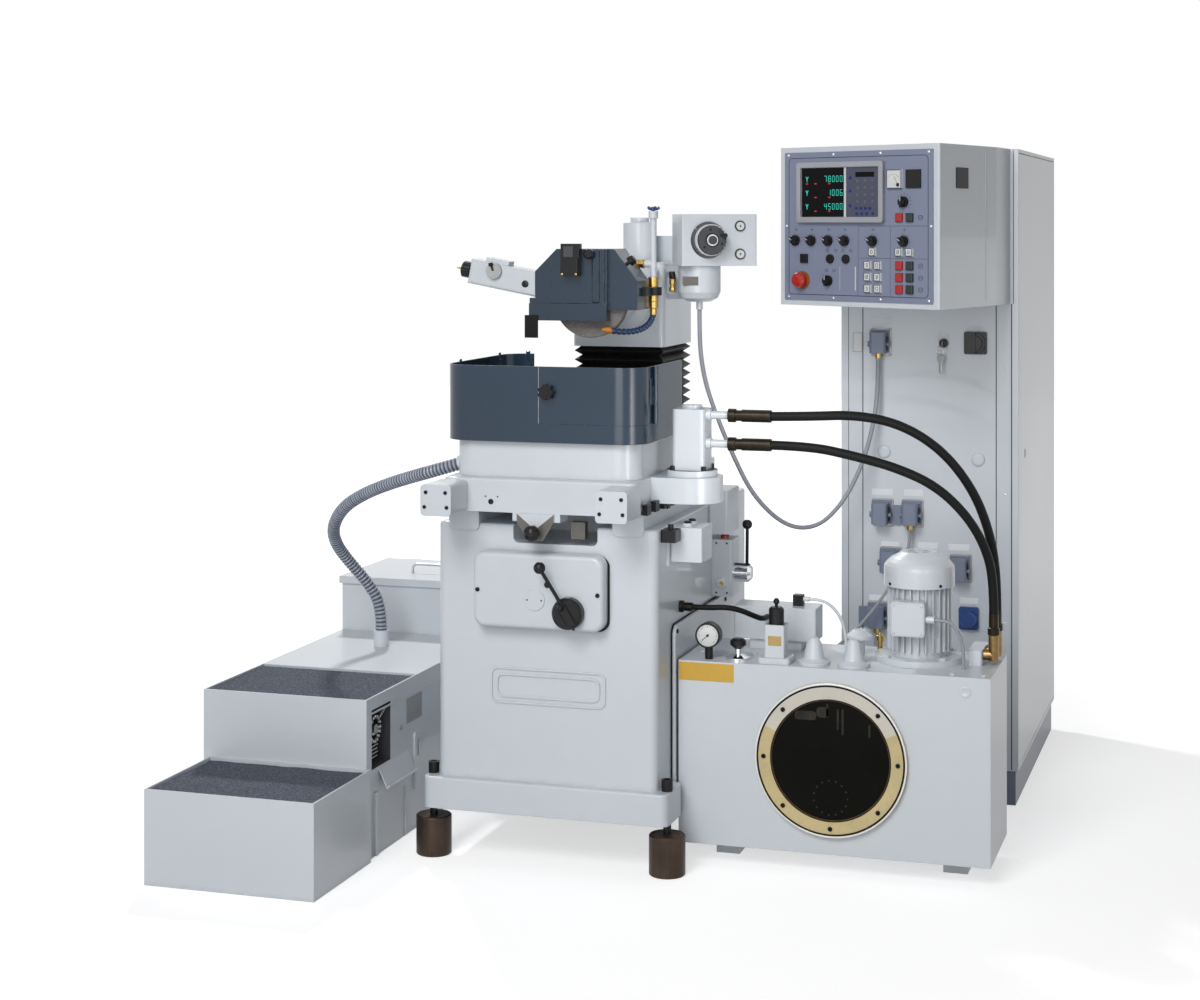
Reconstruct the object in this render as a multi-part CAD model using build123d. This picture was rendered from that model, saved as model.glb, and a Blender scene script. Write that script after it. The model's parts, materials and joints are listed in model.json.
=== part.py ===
"""Rotary surface grinder with its coolant filter, hydraulic unit and control cabinet.

Millimetres, +Z up, +X to the operator's right, +Y away from the operator.
Pieces are modelled from the machine's centre line (X = 0) and its front feet
(Y = 0), then moved so that the origin is the bottom centre of the whole set.
"""
import math
import os
from build123d import *

# Clearances
SEAT = 0.3
RUN = 0.05

# Levelling feet and base casting
PAD_D = 90.0
PAD_H = 100.0
FOOT_GAP = 27.0
FOOT_INSET = 48.0
FOOT_OUT = 19.0
SCREW_D = 20.0
SCREW_HEAD_D = 28.0
SCREW_HEAD_H = 28.0
FLANGE_SIDE = 32.0
FLANGE_D = 145.0
FLANGE_H = 78.0
FLANGE_LIP = 25.0
PED_W = 576.0
PED_FRONT = -40.0
PED_D = 920.0
PED_H = 718.0
PED_R = 22.0
BASE_WALL = 30.0
RAIL_X = 215.0
RAIL_W = 80.0
RAIL_H = 37.0
RAIL_SHORT = 5.0
RAIL_NOSE = 6.0
RAIL_NOSE_DROP = 18.0
CHANNEL_X0 = -85.0
CHANNEL_X1 = 135.0
CHANNEL_DEPTH = 45.0
CHANNEL_L = 240.0
NAME_W = 302.0
NAME_H = 90.0
NAME_X = 6.0
NAME_UP = 316.0
NAME_RIB = 5.0
NAME_PROUD = 3.0
BASE_Z0 = PAD_H + FOOT_GAP
FLANGE_TOP = BASE_Z0 + FLANGE_H
BASE_TOP = BASE_Z0 + PED_H
PED_BACK = PED_FRONT + PED_D
PED_X = PED_W / 2
FLANGE_W = PED_W + 2 * FLANGE_SIDE
FOOT_X = PED_X + FOOT_OUT
NAME_Z = BASE_Z0 + NAME_UP
FOOT_YS = (PED_FRONT - FLANGE_LIP + FOOT_INSET, PED_BACK + FLANGE_LIP - FOOT_INSET)

# Front gear cover, its reversing lever and the side cover
COVER_W = 339.0
COVER_H = 187.0
COVER_X = -6.5
COVER_DROP = 157.5
COVER_R = 28.0
COVER_PROUD = 39.0
SEAL_T = 6.0
SEAL_LIP = 4.0
CAP_D = 53.0
CAP_LEFT = 7.5
CAP_DROP = 20.5
LEVER_RIGHT = 83.5
LEVER_DROP = 46.5
LEVER_HUB_D = 78.0
LEVER_HUB_L = 26.0
LEVER_SHAFT_D = 16.0
LEVER_REACH = (-61.0, -22.0, 114.0)
LEVER_ROD_D = 9.0
BALL_D = 30.0
SIDE_COVER_L = 520.0
SIDE_COVER_H = 410.0
SIDE_COVER_IN = 385.0
SIDE_COVER_UP = 258.0
SIDE_COVER_T = 8.0
SIDE_SEAL_T = 4.0
SIDE_COVER_R = 25.0
COVER_FACE = PED_FRONT - SEAL_T - COVER_PROUD
COVER_Z = BASE_TOP - COVER_DROP
CAP_X = COVER_X - CAP_LEFT
CAP_Z = COVER_Z - CAP_DROP
LEVER_X = COVER_X + LEVER_RIGHT
LEVER_Z = COVER_Z - LEVER_DROP
SIDE_COVER_Y = PED_FRONT + SIDE_COVER_IN
SIDE_COVER_Z = BASE_Z0 + SIDE_COVER_UP

# Valve chest, lever box and limit switch on the right of the base
CHEST_IN = 90.0
CHEST_L = 105.0
CHEST_W = 89.0
CHEST_DROP = 88.0
CHEST_H = 85.0
CHEST_PLATE_T = 8.0
CHEST_PLATE_LIP = 10.0
TANKLET_W = 52.0
TANKLET_IN = 495.0
TANKLET_L = 130.0
TANKLET_DROP = 75.0
TANKLET_H = 116.0
LEVER_BOX_W = 57.0
LEVER_BOX_IN = 525.0
LEVER_BOX_L = 85.0
LEVER_BOX_DROP = 245.0
LEVER_BOX_H = 152.0
SELECT_UP = 61.0
SELECT_HUB_D = 50.0
SELECT_HUB_L = 46.0
SELECT_SHAFT_D = 14.0
SELECT_REACH = (4.0, -12.0, 131.0)
SELECT_BALL_D = 27.0
RESET_D = 24.0
RESET_PROUD = 9.0
RESET_TRAVEL = 4.0
SWITCH_IN = 30.0
SWITCH_L = 52.0
SWITCH_W = 38.0
SWITCH_H = 30.0
CHEST_Y = PED_FRONT + CHEST_IN
CHEST_Z0 = BASE_TOP - CHEST_DROP
TANKLET_Y = PED_FRONT + TANKLET_IN
TANKLET_Z0 = BASE_TOP - TANKLET_DROP
LEVER_BOX_Y = PED_FRONT + LEVER_BOX_IN
LEVER_BOX_Z0 = BASE_TOP - LEVER_BOX_DROP
SELECT_Z = LEVER_BOX_Z0 + SELECT_UP
SWITCH_Y = PED_FRONT + SWITCH_IN

# Cross slide, way covers and the plunger below it
SLIDE_W = 500.0
SLIDE_LEAD = 60.0
SLIDE_D = 500.0
SLIDE_H = 83.0
SLIDE_R = 18.0
SLIDE_TRAVEL = 150.0
WAY_COVER_X = 224.0
WAY_COVER_W = 80.0
WAY_COVER_L = 115.0
WAY_COVER_H = 77.0
WAY_COVER_R = 10.0
LIP_X0 = -66.0
LIP_X1 = 58.0
LIP_L = 60.0
LIP_DROP = 20.0
BRACKET_TOP_W = 96.0
BRACKET_LOW_W = 40.0
BRACKET_DROP = 46.0
BRACKET_T = 6.0
PLUNGER_X = -5.0
PLUNGER_BALL_D = 41.0
PLUNGER_NECK = 8.0
PLUNGER_SHAFT_D = 10.0
PLUNGER_SHAFT_L = 34.0
PLUNGER_DROP = 24.0
BOSS_D = 180.0
BOSS_H = 97.0
ARM_OUT = 85.0
ARM_IN = 215.0
ARM_D = 156.0
ARM_H = 64.0
ARM_ROOT_W = 170.0
DOG_RAIL_L = 250.0
DOG_RAIL_IN = 130.0
DOG_RAIL_T = 9.0
DOG_RAIL_H = 18.0
DOG_W = 13.0
DOG_L = 34.0
DOG_H = 26.0
SLIDE_Z0 = BASE_TOP + RAIL_H + SEAT
SLIDE_TOP = SLIDE_Z0 + SLIDE_H
SLIDE_FRONT = PED_FRONT - SLIDE_LEAD
SLIDE_BACK = SLIDE_FRONT + SLIDE_D
SLIDE_X = SLIDE_W / 2
RAIL_L = SLIDE_BACK + SLIDE_TRAVEL - RAIL_SHORT - PED_FRONT
ARM_X = SLIDE_X + ARM_OUT
ARM_Y = SLIDE_FRONT + ARM_IN
DOG_RAIL_Y = SLIDE_FRONT + DOG_RAIL_IN

# Hydraulic table motor on the arm of the cross slide
MOTOR_FLANGE_D = 128.0
MOTOR_FLANGE_H = 16.0
MOTOR_W = 84.0
MOTOR_H = 152.0
MOTOR_R = 12.0
MOTOR_CAP_D = 52.0
MOTOR_CAP_H = 9.0
PORT_HIGH = 138.0
PORT_LOW = 67.0
PORT_D = 20.0
PORT_L = 56.0
PORT_NUT_D = 34.0
PORT_BACK = 15.0
FERRULE_D = 31.0
FERRULE_L = 108.0

# Coolant pan, splash guard with its door, rotary table
PAN_W = 480.0
PAN_IN = 40.0
PAN_D = 470.0
PAN_H = 90.0
PAN_WALL = 8.0
PAN_R = 58.0
SPIGOT_IN = 100.0
SPIGOT_UP = 24.0
SPIGOT_D = 40.0
SPIGOT_FALL = 0.3
SPIGOT_L = 20.0
RIM_SIDE = 22.0
RIM_LEAD = 20.0
RIM_TAIL = 10.0
RIM_R = 72.0
RIM_T = 4.0
RIM_LIP = 30.0
BAND_H = 46.0
RIM_H = 142.0
RIM_SPLIT_X = -5.0
RIM_SPLIT_GAP = 1.0
HINGE_IN = 95.0
HINGE_D = 13.0
HINGE_PIN_D = 7.0
HINGE_OUT = 7.0
KNUCKLE_GAP = 0.3
RIM_RIGHT_CUT = 135.0
RIM_STUB_L = 72.0
STAR_X = 19.0
STAR_DROP = 62.0
STAR_D = 40.0
STAR_L = 22.0
STAR_LOBES = 7
STAR_STUD_D = 10.0
TABLE_IN = 225.0
CHUCK_D = 320.0
CHUCK_H = 53.0
CHUCK_RINGS = 5
CHUCK_GROOVE = 2.0
TURN_D = 240.0
TURN_H = 20.0
TURN_SHAFT_D = 90.0
TURN_SHAFT_L = 150.0
TURN_GAP = 2.0
PAN_FRONT = SLIDE_FRONT + PAN_IN
TABLE_Y = PAN_FRONT + TABLE_IN
SPIGOT_Y = PAN_FRONT + SPIGOT_IN
PAN_Z0 = SLIDE_TOP
PAN_TOP = PAN_Z0 + PAN_H
RIM_Z0 = PAN_TOP
BAND_TOP = RIM_Z0 + BAND_H
RIM_TOP = BAND_TOP + RIM_H
RIM_W = PAN_W + 2 * RIM_SIDE
RIM_X = RIM_W / 2
RIM_FRONT = PAN_FRONT - RIM_LEAD
RIM_BACK = PAN_FRONT + PAN_D + RIM_TAIL
HINGE_Y = RIM_FRONT + HINGE_IN
RIM_RIGHT_END = RIM_BACK - RIM_RIGHT_CUT
RIM_BACK_STUB = RIM_STUB_L - RIM_X
BOSS_TOP = SLIDE_TOP + BOSS_H
CHUCK_Z0 = BOSS_TOP + TURN_GAP + TURN_H
CHUCK_TOP = CHUCK_Z0 + CHUCK_H

# Rear block, ram, bellows and head carriage
HEAD_W = 262.0
HEAD_INSET = 305.0
HEAD_D = 295.0
HEAD_Z0 = 1257.0
HEAD_H = 233.0
HEAD_R = 14.0
HEAD_TRAVEL = 150.0
REAR_BLOCK_W = 400.0
REAR_BLOCK_LEAD = 5.0
REAR_BLOCK_H = 85.0
RAM_W = 170.0
RAM_L = 557.0
RAM_HOLE_D = 44.0
NUT_H = 60.0
NUT_CLEAR = 0.3
FEED_SCREW_D = 32.0
FEED_SCREW_L = 680.0
RAM_FLOOR_GAP = 50.0
BELLOWS_INSET = 3.0
BELLOWS_FOLD = 17.0
BELLOWS_WALL = 2.0
BELLOWS_PLEATS = 13
TOWER_X = 40.0
TOWER_IN = 75.0
TOWER_D = 92.0
TOWER_H = 110.0
TOWER_CAP_D = 52.0
TOWER_CAP_H = 12.0
HEAD_X = HEAD_W / 2
HEAD_FRONT = PED_BACK - HEAD_INSET
REAR_BLOCK_FRONT = HEAD_FRONT - REAR_BLOCK_LEAD
TOWER_Y = HEAD_FRONT + TOWER_IN
HEAD_BACK = HEAD_FRONT + HEAD_D
HEAD_TOP = HEAD_Z0 + HEAD_H
HEAD_Y = HEAD_FRONT + HEAD_D / 2
REAR_TOP = BASE_TOP + REAR_BLOCK_H
RAM_Z0 = HEAD_Z0 - RAM_L
BORE_FLOOR = RAM_Z0 - HEAD_TRAVEL - RAM_FLOOR_GAP

# Grinding spindle, wheel and guard
AXIS_UP = 137.0
SPINDLE_D = 44.0
SPINDLE_SEAT = 120.0
HOUSING_D = 160.0
HOUSING_FLANGE_D = 196.0
HOUSING_FLANGE_T = 22.0
NOSE_D = 120.0
NOSE_L = 24.0
WHEEL_D = 200.0
WHEEL_W = 32.0
WHEEL_IN = 36.0
WHEEL_BORE = 76.0
CLAMP_D = 104.0
CLAMP_T = 9.0
SPINDLE_NUT_D = 46.0
SPINDLE_NUT_T = 9.0
GUARD_FRONT = 284.0
GUARD_D = 121.0
GUARD_WALL = 10.0
GUARD_TOP = 135.0
GUARD_LOW = 54.0
GUARD_LEFT = -156.0
GUARD_STEP = 16.0
GUARD_STEP_Z = 5.0
GUARD_RIGHT = 137.0
GUARD_RIGHT_LOW = 25.0
GUARD_RIGHT_UP = 51.0
GUARD_TOP_X0 = -81.0
GUARD_TOP_X1 = 73.0
GUARD_LEFT_UP = 76.0
GUARD_FRONT_X = 58.0
GUARD_SETBACK = 16.0
GUARD_RIB_X = 40.0
GUARD_RIB_W = 12.0
GUARD_RIB_T = 6.0
AXIS_Z = HEAD_Z0 + AXIS_UP
GUARD_BACK = GUARD_FRONT + GUARD_D
WHEEL_FRONT = GUARD_FRONT + WHEEL_IN
WHEEL_BACK = WHEEL_FRONT + WHEEL_W

# Fittings on the guard, dresser and coolant pipe
SWITCH_BOX_W = 52.0
SWITCH_BOX_X = -36.0
SWITCH_BOX_T = 26.0
SWITCH_BOX_H = 85.0
SWITCH_BOX_UP = 149.0
GUARD_KNOB_X = 14.0
GUARD_KNOB_UP = 122.0
GUARD_KNOB_D = 27.0
SIDE_KNOB_UP = 96.0
FLAP_W = 36.0
FLAP_H = 60.0
FLAP_T = 5.0
FLAP_TOP = 40.0
DRESSER_L = 190.0
DRESSER_H = 66.0
DRESSER_W = 62.0
DRESSER_TILT = 10.5
DRESSER_IN = 28.0
DRESSER_UP = 41.0
DRESSER_DIAL_D = 42.0
DRESSER_DIAL_T = 10.0
DRESSER_DIAL_X = 118.0
DRESSER_KNOB_D = 44.0
DRESSER_KNOB_L = 30.0
DRESSER_STEM_D = 14.0
PIPE_OUT = 5.0
PIPE_IN = 27.0
PIPE_D = 18.0
PIPE_UP = 59.0
PIPE_H = 176.0
PIPE_CAP_D = 26.0
VALVE_D = 28.0
VALVE_H = 100.0
CLIP_UP = 10.0
CLIP_H = 22.0
CLIP_T = 10.0
UNION_UP = 94.0
UNION_L = 54.0
STAY_UP = 72.0
TIP_LEFT = 78.0
TIP_IN = 15.0
TIP_DROP = 79.0
BEND_LEFT = 2.0
BEND_IN = 108.0
BEND_DROP = 98.0
JET_SEGMENTS = 13
JET_D = 17.0
NOZZLE_L = 26.0
TAP_H = 12.0
TAP_STEM_D = 8.0
TAP_L = 34.0
TAP_T = 7.0
DRESSER_Y = GUARD_FRONT + DRESSER_IN
PIPE_X = GUARD_RIGHT + PIPE_OUT
PIPE_Y = GUARD_BACK + PIPE_IN
PIPE_Z0 = AXIS_Z + PIPE_UP
CLIP_Z = AXIS_Z + CLIP_UP
UNION_Z = AXIS_Z + UNION_UP
UNION_X = PIPE_X - UNION_L
STAY_Z = AXIS_Z + STAY_UP
JET_TIP = (PIPE_X - TIP_LEFT, GUARD_FRONT + TIP_IN, AXIS_Z - TIP_DROP)
JET_BEND = (PIPE_X - BEND_LEFT, GUARD_FRONT + BEND_IN, AXIS_Z - BEND_DROP)

# Infeed box with its handwheel, buttons and motor
INFEED_OUT = 161.0
INFEED_LEAD = 15.0
INFEED_UP = 61.0
INFEED_TURN = 30.0
INFEED_W = 210.0
INFEED_H = 140.0
INFEED_D = 110.0
DIAL_U = -31.0
DIAL_D = 100.0
DIAL_T = 14.0
HANDWHEEL_D = 80.0
HANDWHEEL_T = 24.0
HANDWHEEL_FLUTES = 24
HANDWHEEL_SHAFT_D = 16.0
HANDWHEEL_SHAFT_L = 30.0
CRANK_R = 30.0
CRANK_ANGLE = 25.0
CRANK_D = 13.0
CRANK_L = 34.0
JOG_U = 57.0
JOG_V = 38.0
JOG_D = 22.0
JOG_PROUD = 6.0
JOG_TRAVEL = 3.0
JOG_DEPTH = 12.0
FEED_MOTOR_OUT = 94.0
FEED_MOTOR_IN = 25.0
FEED_MOTOR_D = 116.0
FEED_MOTOR_H = 98.0
GLAND_D = 18.0
GLAND_L = 22.0
FEED_BOSS_D = 76.0
FEED_BOSS_UP = 168.0
FEED_LINK_W = 76.0
INFEED_AT = (HEAD_X + INFEED_OUT, HEAD_FRONT - INFEED_LEAD, HEAD_TOP + INFEED_UP)
FEED_MOTOR_AT = (HEAD_X + FEED_MOTOR_OUT, HEAD_FRONT + FEED_MOTOR_IN)
FEED_BOSS_Z = HEAD_Z0 + FEED_BOSS_UP

# Coolant filter: used-fleece bin, filter housing and pump box
COOLANT_X1 = -437.0
COOLANT_W = 453.0
BIN_W = 448.0
BIN_RIGHT = 12.0
BIN_FRONT = -480.0
BIN_D = 335.0
BIN_H = 232.0
BIN_WALL = 5.0
BIN_FILL = 228.0
FILTER_D = 860.0
FILTER_H = 404.0
FILTER_DECK = 14.0
FILTER_SKIN = 4.0
FLEECE_L = 335.0
FLEECE_T = 10.0
WINDOW_L = 120.0
WINDOW_H = 150.0
WINDOW_Z0 = 222.0
WINDOW_INSET = 32.0
WINDOW_DEPTH = 110.0
FLEECE_ROLL_D = 24.0
SPROCKET_D = 60.0
SPROCKET_T = 8.0
CHUTE_L = 190.0
CHUTE_OUT = 24.0
CHUTE_Z = 165.0
CHUTE_T = 3.0
CHUTE_IN = 75.0
HOOK_IN = 305.0
HOOK_W = 46.0
HOOK_H = 150.0
HOOK_T = 6.0
HOOK_Z = 105.0
STUB_SIDE = 209.0
STUB_INSET = 199.0
STUB_D = 42.0
STUB_BORE = 26.0
STUB_H = 46.0
PUMP_D = 353.0
PUMP_H = 558.0
PUMP_WALL = 5.0
PUMP_FLOOR = 8.0
LID_H = 21.0
LID_LIP = 7.0
LID_T = 3.0
LID_HANDLE_W = 100.0
LID_HANDLE_UP = 26.0
LID_HANDLE_D = 8.0
LID_HANDLE_IN = 120.0
LID_HINGE_SHARE = 0.3
LID_HINGE_D = 10.0
LID_HINGE_PIN_D = 5.0
LID_HINGE_L = 30.0
LID_HINGE_LEAF = 28.0
LID_HINGE_GAP = 0.5
COOLANT_X0 = COOLANT_X1 - COOLANT_W
BIN_X1 = COOLANT_X1 + BIN_RIGHT
BIN_X0 = BIN_X1 - BIN_W
FILTER_FRONT = BIN_FRONT + BIN_D
FILTER_BACK = FILTER_FRONT + FILTER_D
PUMP_BACK = FILTER_BACK + PUMP_D
LID_TOP = PUMP_H + SEAT + LID_T
LID_HINGE_Y = PUMP_BACK + LID_HINGE_D / 2 + LID_HINGE_GAP
LID_HINGE_Z = LID_TOP - LID_HINGE_D / 2 - LID_HINGE_GAP
CHUTE_Y = FILTER_FRONT + CHUTE_IN
HOOK_Y = FILTER_FRONT + HOOK_IN
STUB_X = COOLANT_X0 + STUB_SIDE
STUB_Y = FILTER_BACK - STUB_INSET

# Hydraulic tank with its sight glass
TANK_GAP = 17.0
TANK_W = 775.0
TANK_FRONT = 95.0
TANK_D = 315.0
TANK_FOOT_H = 50.0
TANK_FOOT_W = 60.0
TANK_FOOT_IN = 70.0
TANK_FOOT_BACK = 110.0
TANK_H = 455.0
TANK_WALL = 6.0
SIGHT_UP = 234.0
RING_D = 378.0
SIGHT_D = 296.0
RING_T = 14.0
GLASS_D = 322.0
GLASS_T = 6.0
GLASS_BACK = 3.0
TANK_X0 = PED_X + TANK_GAP
TANK_X1 = TANK_X0 + TANK_W
TANK_BACK = TANK_FRONT + TANK_D
TANK_TOP = TANK_FOOT_H + TANK_H
SIGHT_X = TANK_X0 + TANK_W / 2
SIGHT_Z = TANK_FOOT_H + SIGHT_UP

# Pump motor on the tank
PUMP_MOTOR_SIDE = 200.0
PUMP_MOTOR_IN = 178.0
PUMP_FLANGE_D = 220.0
PUMP_FLANGE_T = 16.0
STATOR_D = 136.0
STATOR_BORE = 104.0
STATOR_H = 185.0
STATOR_CAP_T = 10.0
FIN_COUNT = 26
FIN_OUT = 11.0
FIN_T = 4.0
COWL_D = 176.0
COWL_H = 71.0
COWL_T = 4.0
COWL_DOME = 42.0
COWL_VENT_D = 60.0
TERMINAL_W = 84.0
TERMINAL_H = 84.0
TERMINAL_D = 34.0
TERMINAL_LEFT = 11.0
TERMINAL_UP = 77.0
ROTOR_D = 98.0
ROTOR_H = 116.0
ROTOR_SHAFT_D = 24.0
FAN_D = 140.0
FAN_T = 5.0
FAN_BLADES = 8
FAN_BLADE_H = 24.0
PUMP_MOTOR_X = TANK_X1 - PUMP_MOTOR_SIDE
PUMP_MOTOR_Y = TANK_FRONT + PUMP_MOTOR_IN
TERMINAL_X = PUMP_MOTOR_X - TERMINAL_LEFT

# Gauge, valves and breathers on the tank top
GAUGE_X = TANK_X0 + 69.0
GAUGE_Y = TANK_FRONT + 37.0
GAUGE_D = 63.0
GAUGE_T = 28.0
GAUGE_UP = 60.0
GAUGE_STEM_D = 20.0
FILLER_X = TANK_X0 + 140.0
FILLER_Y = TANK_FRONT + 54.0
FILLER_D = 64.0
FILLER_T = 6.0
FILLER_KNOB_D = 40.0
FILLER_KNOB_UP = 52.0
RELIEF_X = TANK_X0 + 239.0
RELIEF_Y = TANK_FRONT + 50.0
RELIEF_W = 50.0
RELIEF_H = 95.0
RELIEF_FOOT = 82.0
RELIEF_FOOT_T = 14.0
RELIEF_KNOB_D = 38.0
RELIEF_KNOB_H = 42.0
CONE_XS = (TANK_X0 + 334.0, TANK_X0 + 433.0)
CONE_Y = TANK_FRONT + 51.0
CONE_FLANGE_D = 68.0
CONE_D = 52.0
CONE_TIP_D = 34.0
CONE_H = 66.0
BREATHER_X = TANK_X0 + 421.0
BREATHER_Y = TANK_FRONT + 195.0
BREATHER_D = 66.0
BREATHER_H = 64.0
MANIFOLD_X0 = TANK_X0 + 95.0
MANIFOLD_W = 214.0
MANIFOLD_Y = TANK_FRONT + 190.0
MANIFOLD_D = 92.0
MANIFOLD_UP = 26.0
MANIFOLD_H = 84.0
PLUG_X = MANIFOLD_X0 + 160.0
PLUG_W = 26.0
PLUG_H = 28.0
PLUG_GLAND_L = 16.0
ELBOW_IN = 15.0
ELBOW_YS = (TANK_FRONT + 173.0, TANK_FRONT + 235.0)
ELBOW_UP = 24.0
ELBOW_D = 26.0
ELBOW_H = 114.0
ELBOW_BLOCK_W = 34.0

# Control cabinet and its side door
CAB_X0 = 565.0
CAB_W = 490.0
CAB_FRONT = 870.0
CAB_D = 960.0
CAB_H = 1705.0
CAB_WALL = 4.0
PLATE_MARGIN = 60.0
PLINTH_H = 95.0
PLINTH_IN = 8.0
DOOR_T = 22.0
DOOR_EDGE = 10.0
DOOR_FRAME = 30.0
DOOR_SKIN = 3.0
DOOR_GAP = 2.0
LOCK_D = 26.0
LOCK_T = 2.0
LOCK_Y = 1031.0
LOCK_Z = 951.0
BACKPLATE_T = 6.0
HOOD_W = 44.0
HOOD_H = 58.0
HOOD_D = 52.0
HOOD_BASE_T = 10.0
HOOD_GLAND_D = 18.0
HOOD_GLAND_L = 14.0
SWITCH_PLATE = 62.0
SWITCH_PLATE_T = 8.0
SWITCH_KNOB_D = 56.0
SWITCH_KNOB_T = 18.0
SWITCH_SHAFT_D = 8.0
SWITCH_SHAFT_L = 12.0
KEY_D = 26.0
KEY_T = 9.0
CAB_X1 = CAB_X0 + CAB_W
CAB_BACK = CAB_FRONT + CAB_D
CAB_TOP = PLINTH_H + CAB_H
MAIN_AT = (CAB_X0 + 374.0, 1267.0)
KEY_AT = (CAB_X0 + 287.0, 1265.0)
PLUGS_AT = ((CAB_X0 + 109.0, 1265.0), (CAB_X0 + 198.0, 792.0), (CAB_X0 + 103.0, 503.0))
COVERS_AT = ((CAB_X0 + 114.0, 791.0), (CAB_X0 + 331.0, 645.0), (CAB_X0 + 137.0, 658.0))
SOCKET_AT = (CAB_X0 + 356.0, 509.0)
CAPS_AT = ((CAB_X0 + 381.0, 945.0), (CAB_X0 + 120.0, 959.0))
FLAPS_AT = ((CAB_X0 + 47.0, 1264.0), (CAB_X0 + 157.0, 785.0), (CAB_X0 + 63.0, 500.0))
FLAP_PLATE_W = 26.0
FLAP_PLATE_H = 54.0
FLAP_PLATE_T = 8.0
BLANK_D = 38.0

# Control box: plan of the housing, panel and controls in the panel's own plane
DESK_LEFT = (447.0, 617.0)
DESK_RIGHT = (919.0, 352.0)
DESK_SIDE = (1016.0, 713.0)
DESK_Z0 = 1377.0
DESK_WALL = 12.0
DESK_PORT_IN = 60.0
PANEL_W = 503.0
PANEL_H = 395.0
PANEL_T = 3.0
SCREEN_U = -50.0
SCREEN_V = 90.0
BEZEL_W = 296.0
BEZEL_H = 160.0
BEZEL_T = 14.0
BEZEL_RIM = 14.0
METER_W = 48.0
METER_U = 131.0
METER_V = 122.0
BLANK_U = 190.0
KNOB_D = 28.0
KNOB_T = 18.0
KNOB_POINTER = 6.0
KNOB_SHAFT_D = 6.0
KNOB_SHAFT_L = 10.0
KNOB_ROW_V = -38.0
KNOB_US = (-211.0, -155.0, -96.0, -39.0, 55.5, 159.0)
SPEED_AT = (159.0, 63.0)
MODE_AT = (-96.0, -144.0)
ESTOP_AT = (-186.0, -144.0)
ESTOP_D = 42.0
ESTOP_STEM_D = 22.0
ESTOP_PROUD = 30.0
ESTOP_TRAVEL = 6.0
ESTOP_COLLAR_D = 48.0
ESTOP_COLLAR_T = 4.0
KEYCAP = 22.0
KEYCAP_PROUD = 7.0
KEYCAP_DEPTH = 8.0
KEYCAP_TRAVEL = 3.0
KEY_ROW_VS = (-101.0, -131.5, -162.0)
STOP_U = 143.5
START_U = 178.0
WHEEL_ROW_V = 22.5
FUNCTION_US = (40.5, 74.0)
TOP_ROW_V = -66.0
TOP_ROW_US = (56.0, STOP_U, START_U)
LAMP_ROW_V = -86.0
LAMP_US = (-89.0, -35.0)
LAMP_D = 24.0
LAMP_SQUARE_U = -180.0

# Cords: diameters and hand-chosen routes
DRAIN_D = 35.0
DRAIN_RIB = 2.5
DRAIN_BORE = 26.0
DRAIN_RIBS = 64
DRAIN_END_RUN = 70.0
DRAIN_ROUTE = (
    (-400.0, 82.0, 942.0),
    (-490.0, 131.0, 914.0),
    (-586.0, 190.0, 878.0),
    (-683.0, 260.0, 828.0),
    (-750.0, 338.0, 762.0),
    (-773.0, 408.0, 705.0),
    (-758.0, 464.0, 648.0),
    (-718.0, 504.0, 584.0),
)
PRESSURE_D = 23.0
HOSE_END_RUN = 88.0
HOSE_START_RUN = 98.0
UPPER_ROUTE = (
    (745.0, 122.0, -1.0),
    (850.0, 160.0, -25.0),
    (945.0, 200.0, -87.0),
    (1015.0, 242.0, -178.0),
    (1052.0, 286.0, -284.0),
)
LOWER_ROUTE = (
    (740.0, 114.0, -16.0),
    (845.0, 138.0, -42.0),
    (935.0, 168.0, -84.0),
    (1005.0, 204.0, -158.0),
    (1047.0, 242.0, -246.0),
)
PILOT_D = 14.0
PILOT_Y = PED_FRONT + 211.0
PILOT_Z = BASE_TOP - 220.0
PILOT_FITTING_D = 22.0
PILOT_FITTING_L = 34.0
PILOT_END_RUN = 40.0
PILOT_ROUTE = (
    (404.0, 178.0, 628.0),
    (440.0, 192.0, 620.0),
    (470.0, 214.0, 603.0),
)
PILOT_END = (488.0, 590.0)
FEED_CABLE_D = 12.0
FEED_END_RUN = 60.0
FEED_ROUTE = (
    (228.0, 603.0, 1230.0),
    (243.0, 605.0, 1150.0),
    (274.0, 606.0, 1065.0),
    (314.0, 612.0, 968.0),
    (366.0, 640.0, 850.0),
    (446.0, 688.0, 764.0),
    (522.0, 732.0, 758.0),
    (586.0, 763.0, 820.0),
    (636.0, 786.0, 920.0),
    (664.0, 814.0, 1030.0),
)
LEAD_D = 8.0
LEAD_END_RUN = 30.0
SOLENOID_ROUTE = (
    (646.0, 333.0, 618.0),
    (670.0, 338.0, 586.0),
)
SOLENOID_END = (682.0, 341.0)
MOTOR_LEAD_ROUTE = (
    (984.0, 180.0, 609.0),
    (999.0, 186.0, 575.0),
)
MOTOR_LEAD_END = (1002.0, 190.0)
SENSOR_ROUTE = (
    (753.0, 828.0, 676.0),
    (726.0, 802.0, 616.0),
    (688.0, 782.0, 556.0),
    (646.0, 764.0, 500.0),
    (604.0, 740.0, 456.0),
    (566.0, 690.0, 428.0),
    (536.0, 630.0, 416.0),
    (516.0, 560.0, 412.0),
)
SENSOR_END = (508.0, 410.0)
TANK_LEAD_RUN = 72.0
SUPPLY_ROUTE = (
    (660.0, 827.0, 385.0),
    (650.0, 790.0, 340.0),
    (640.0, 730.0, 310.0),
    (632.0, 650.0, 300.0),
    (628.0, 570.0, 297.0),
)
SUPPLY_END = (626.0, 298.0)


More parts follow.
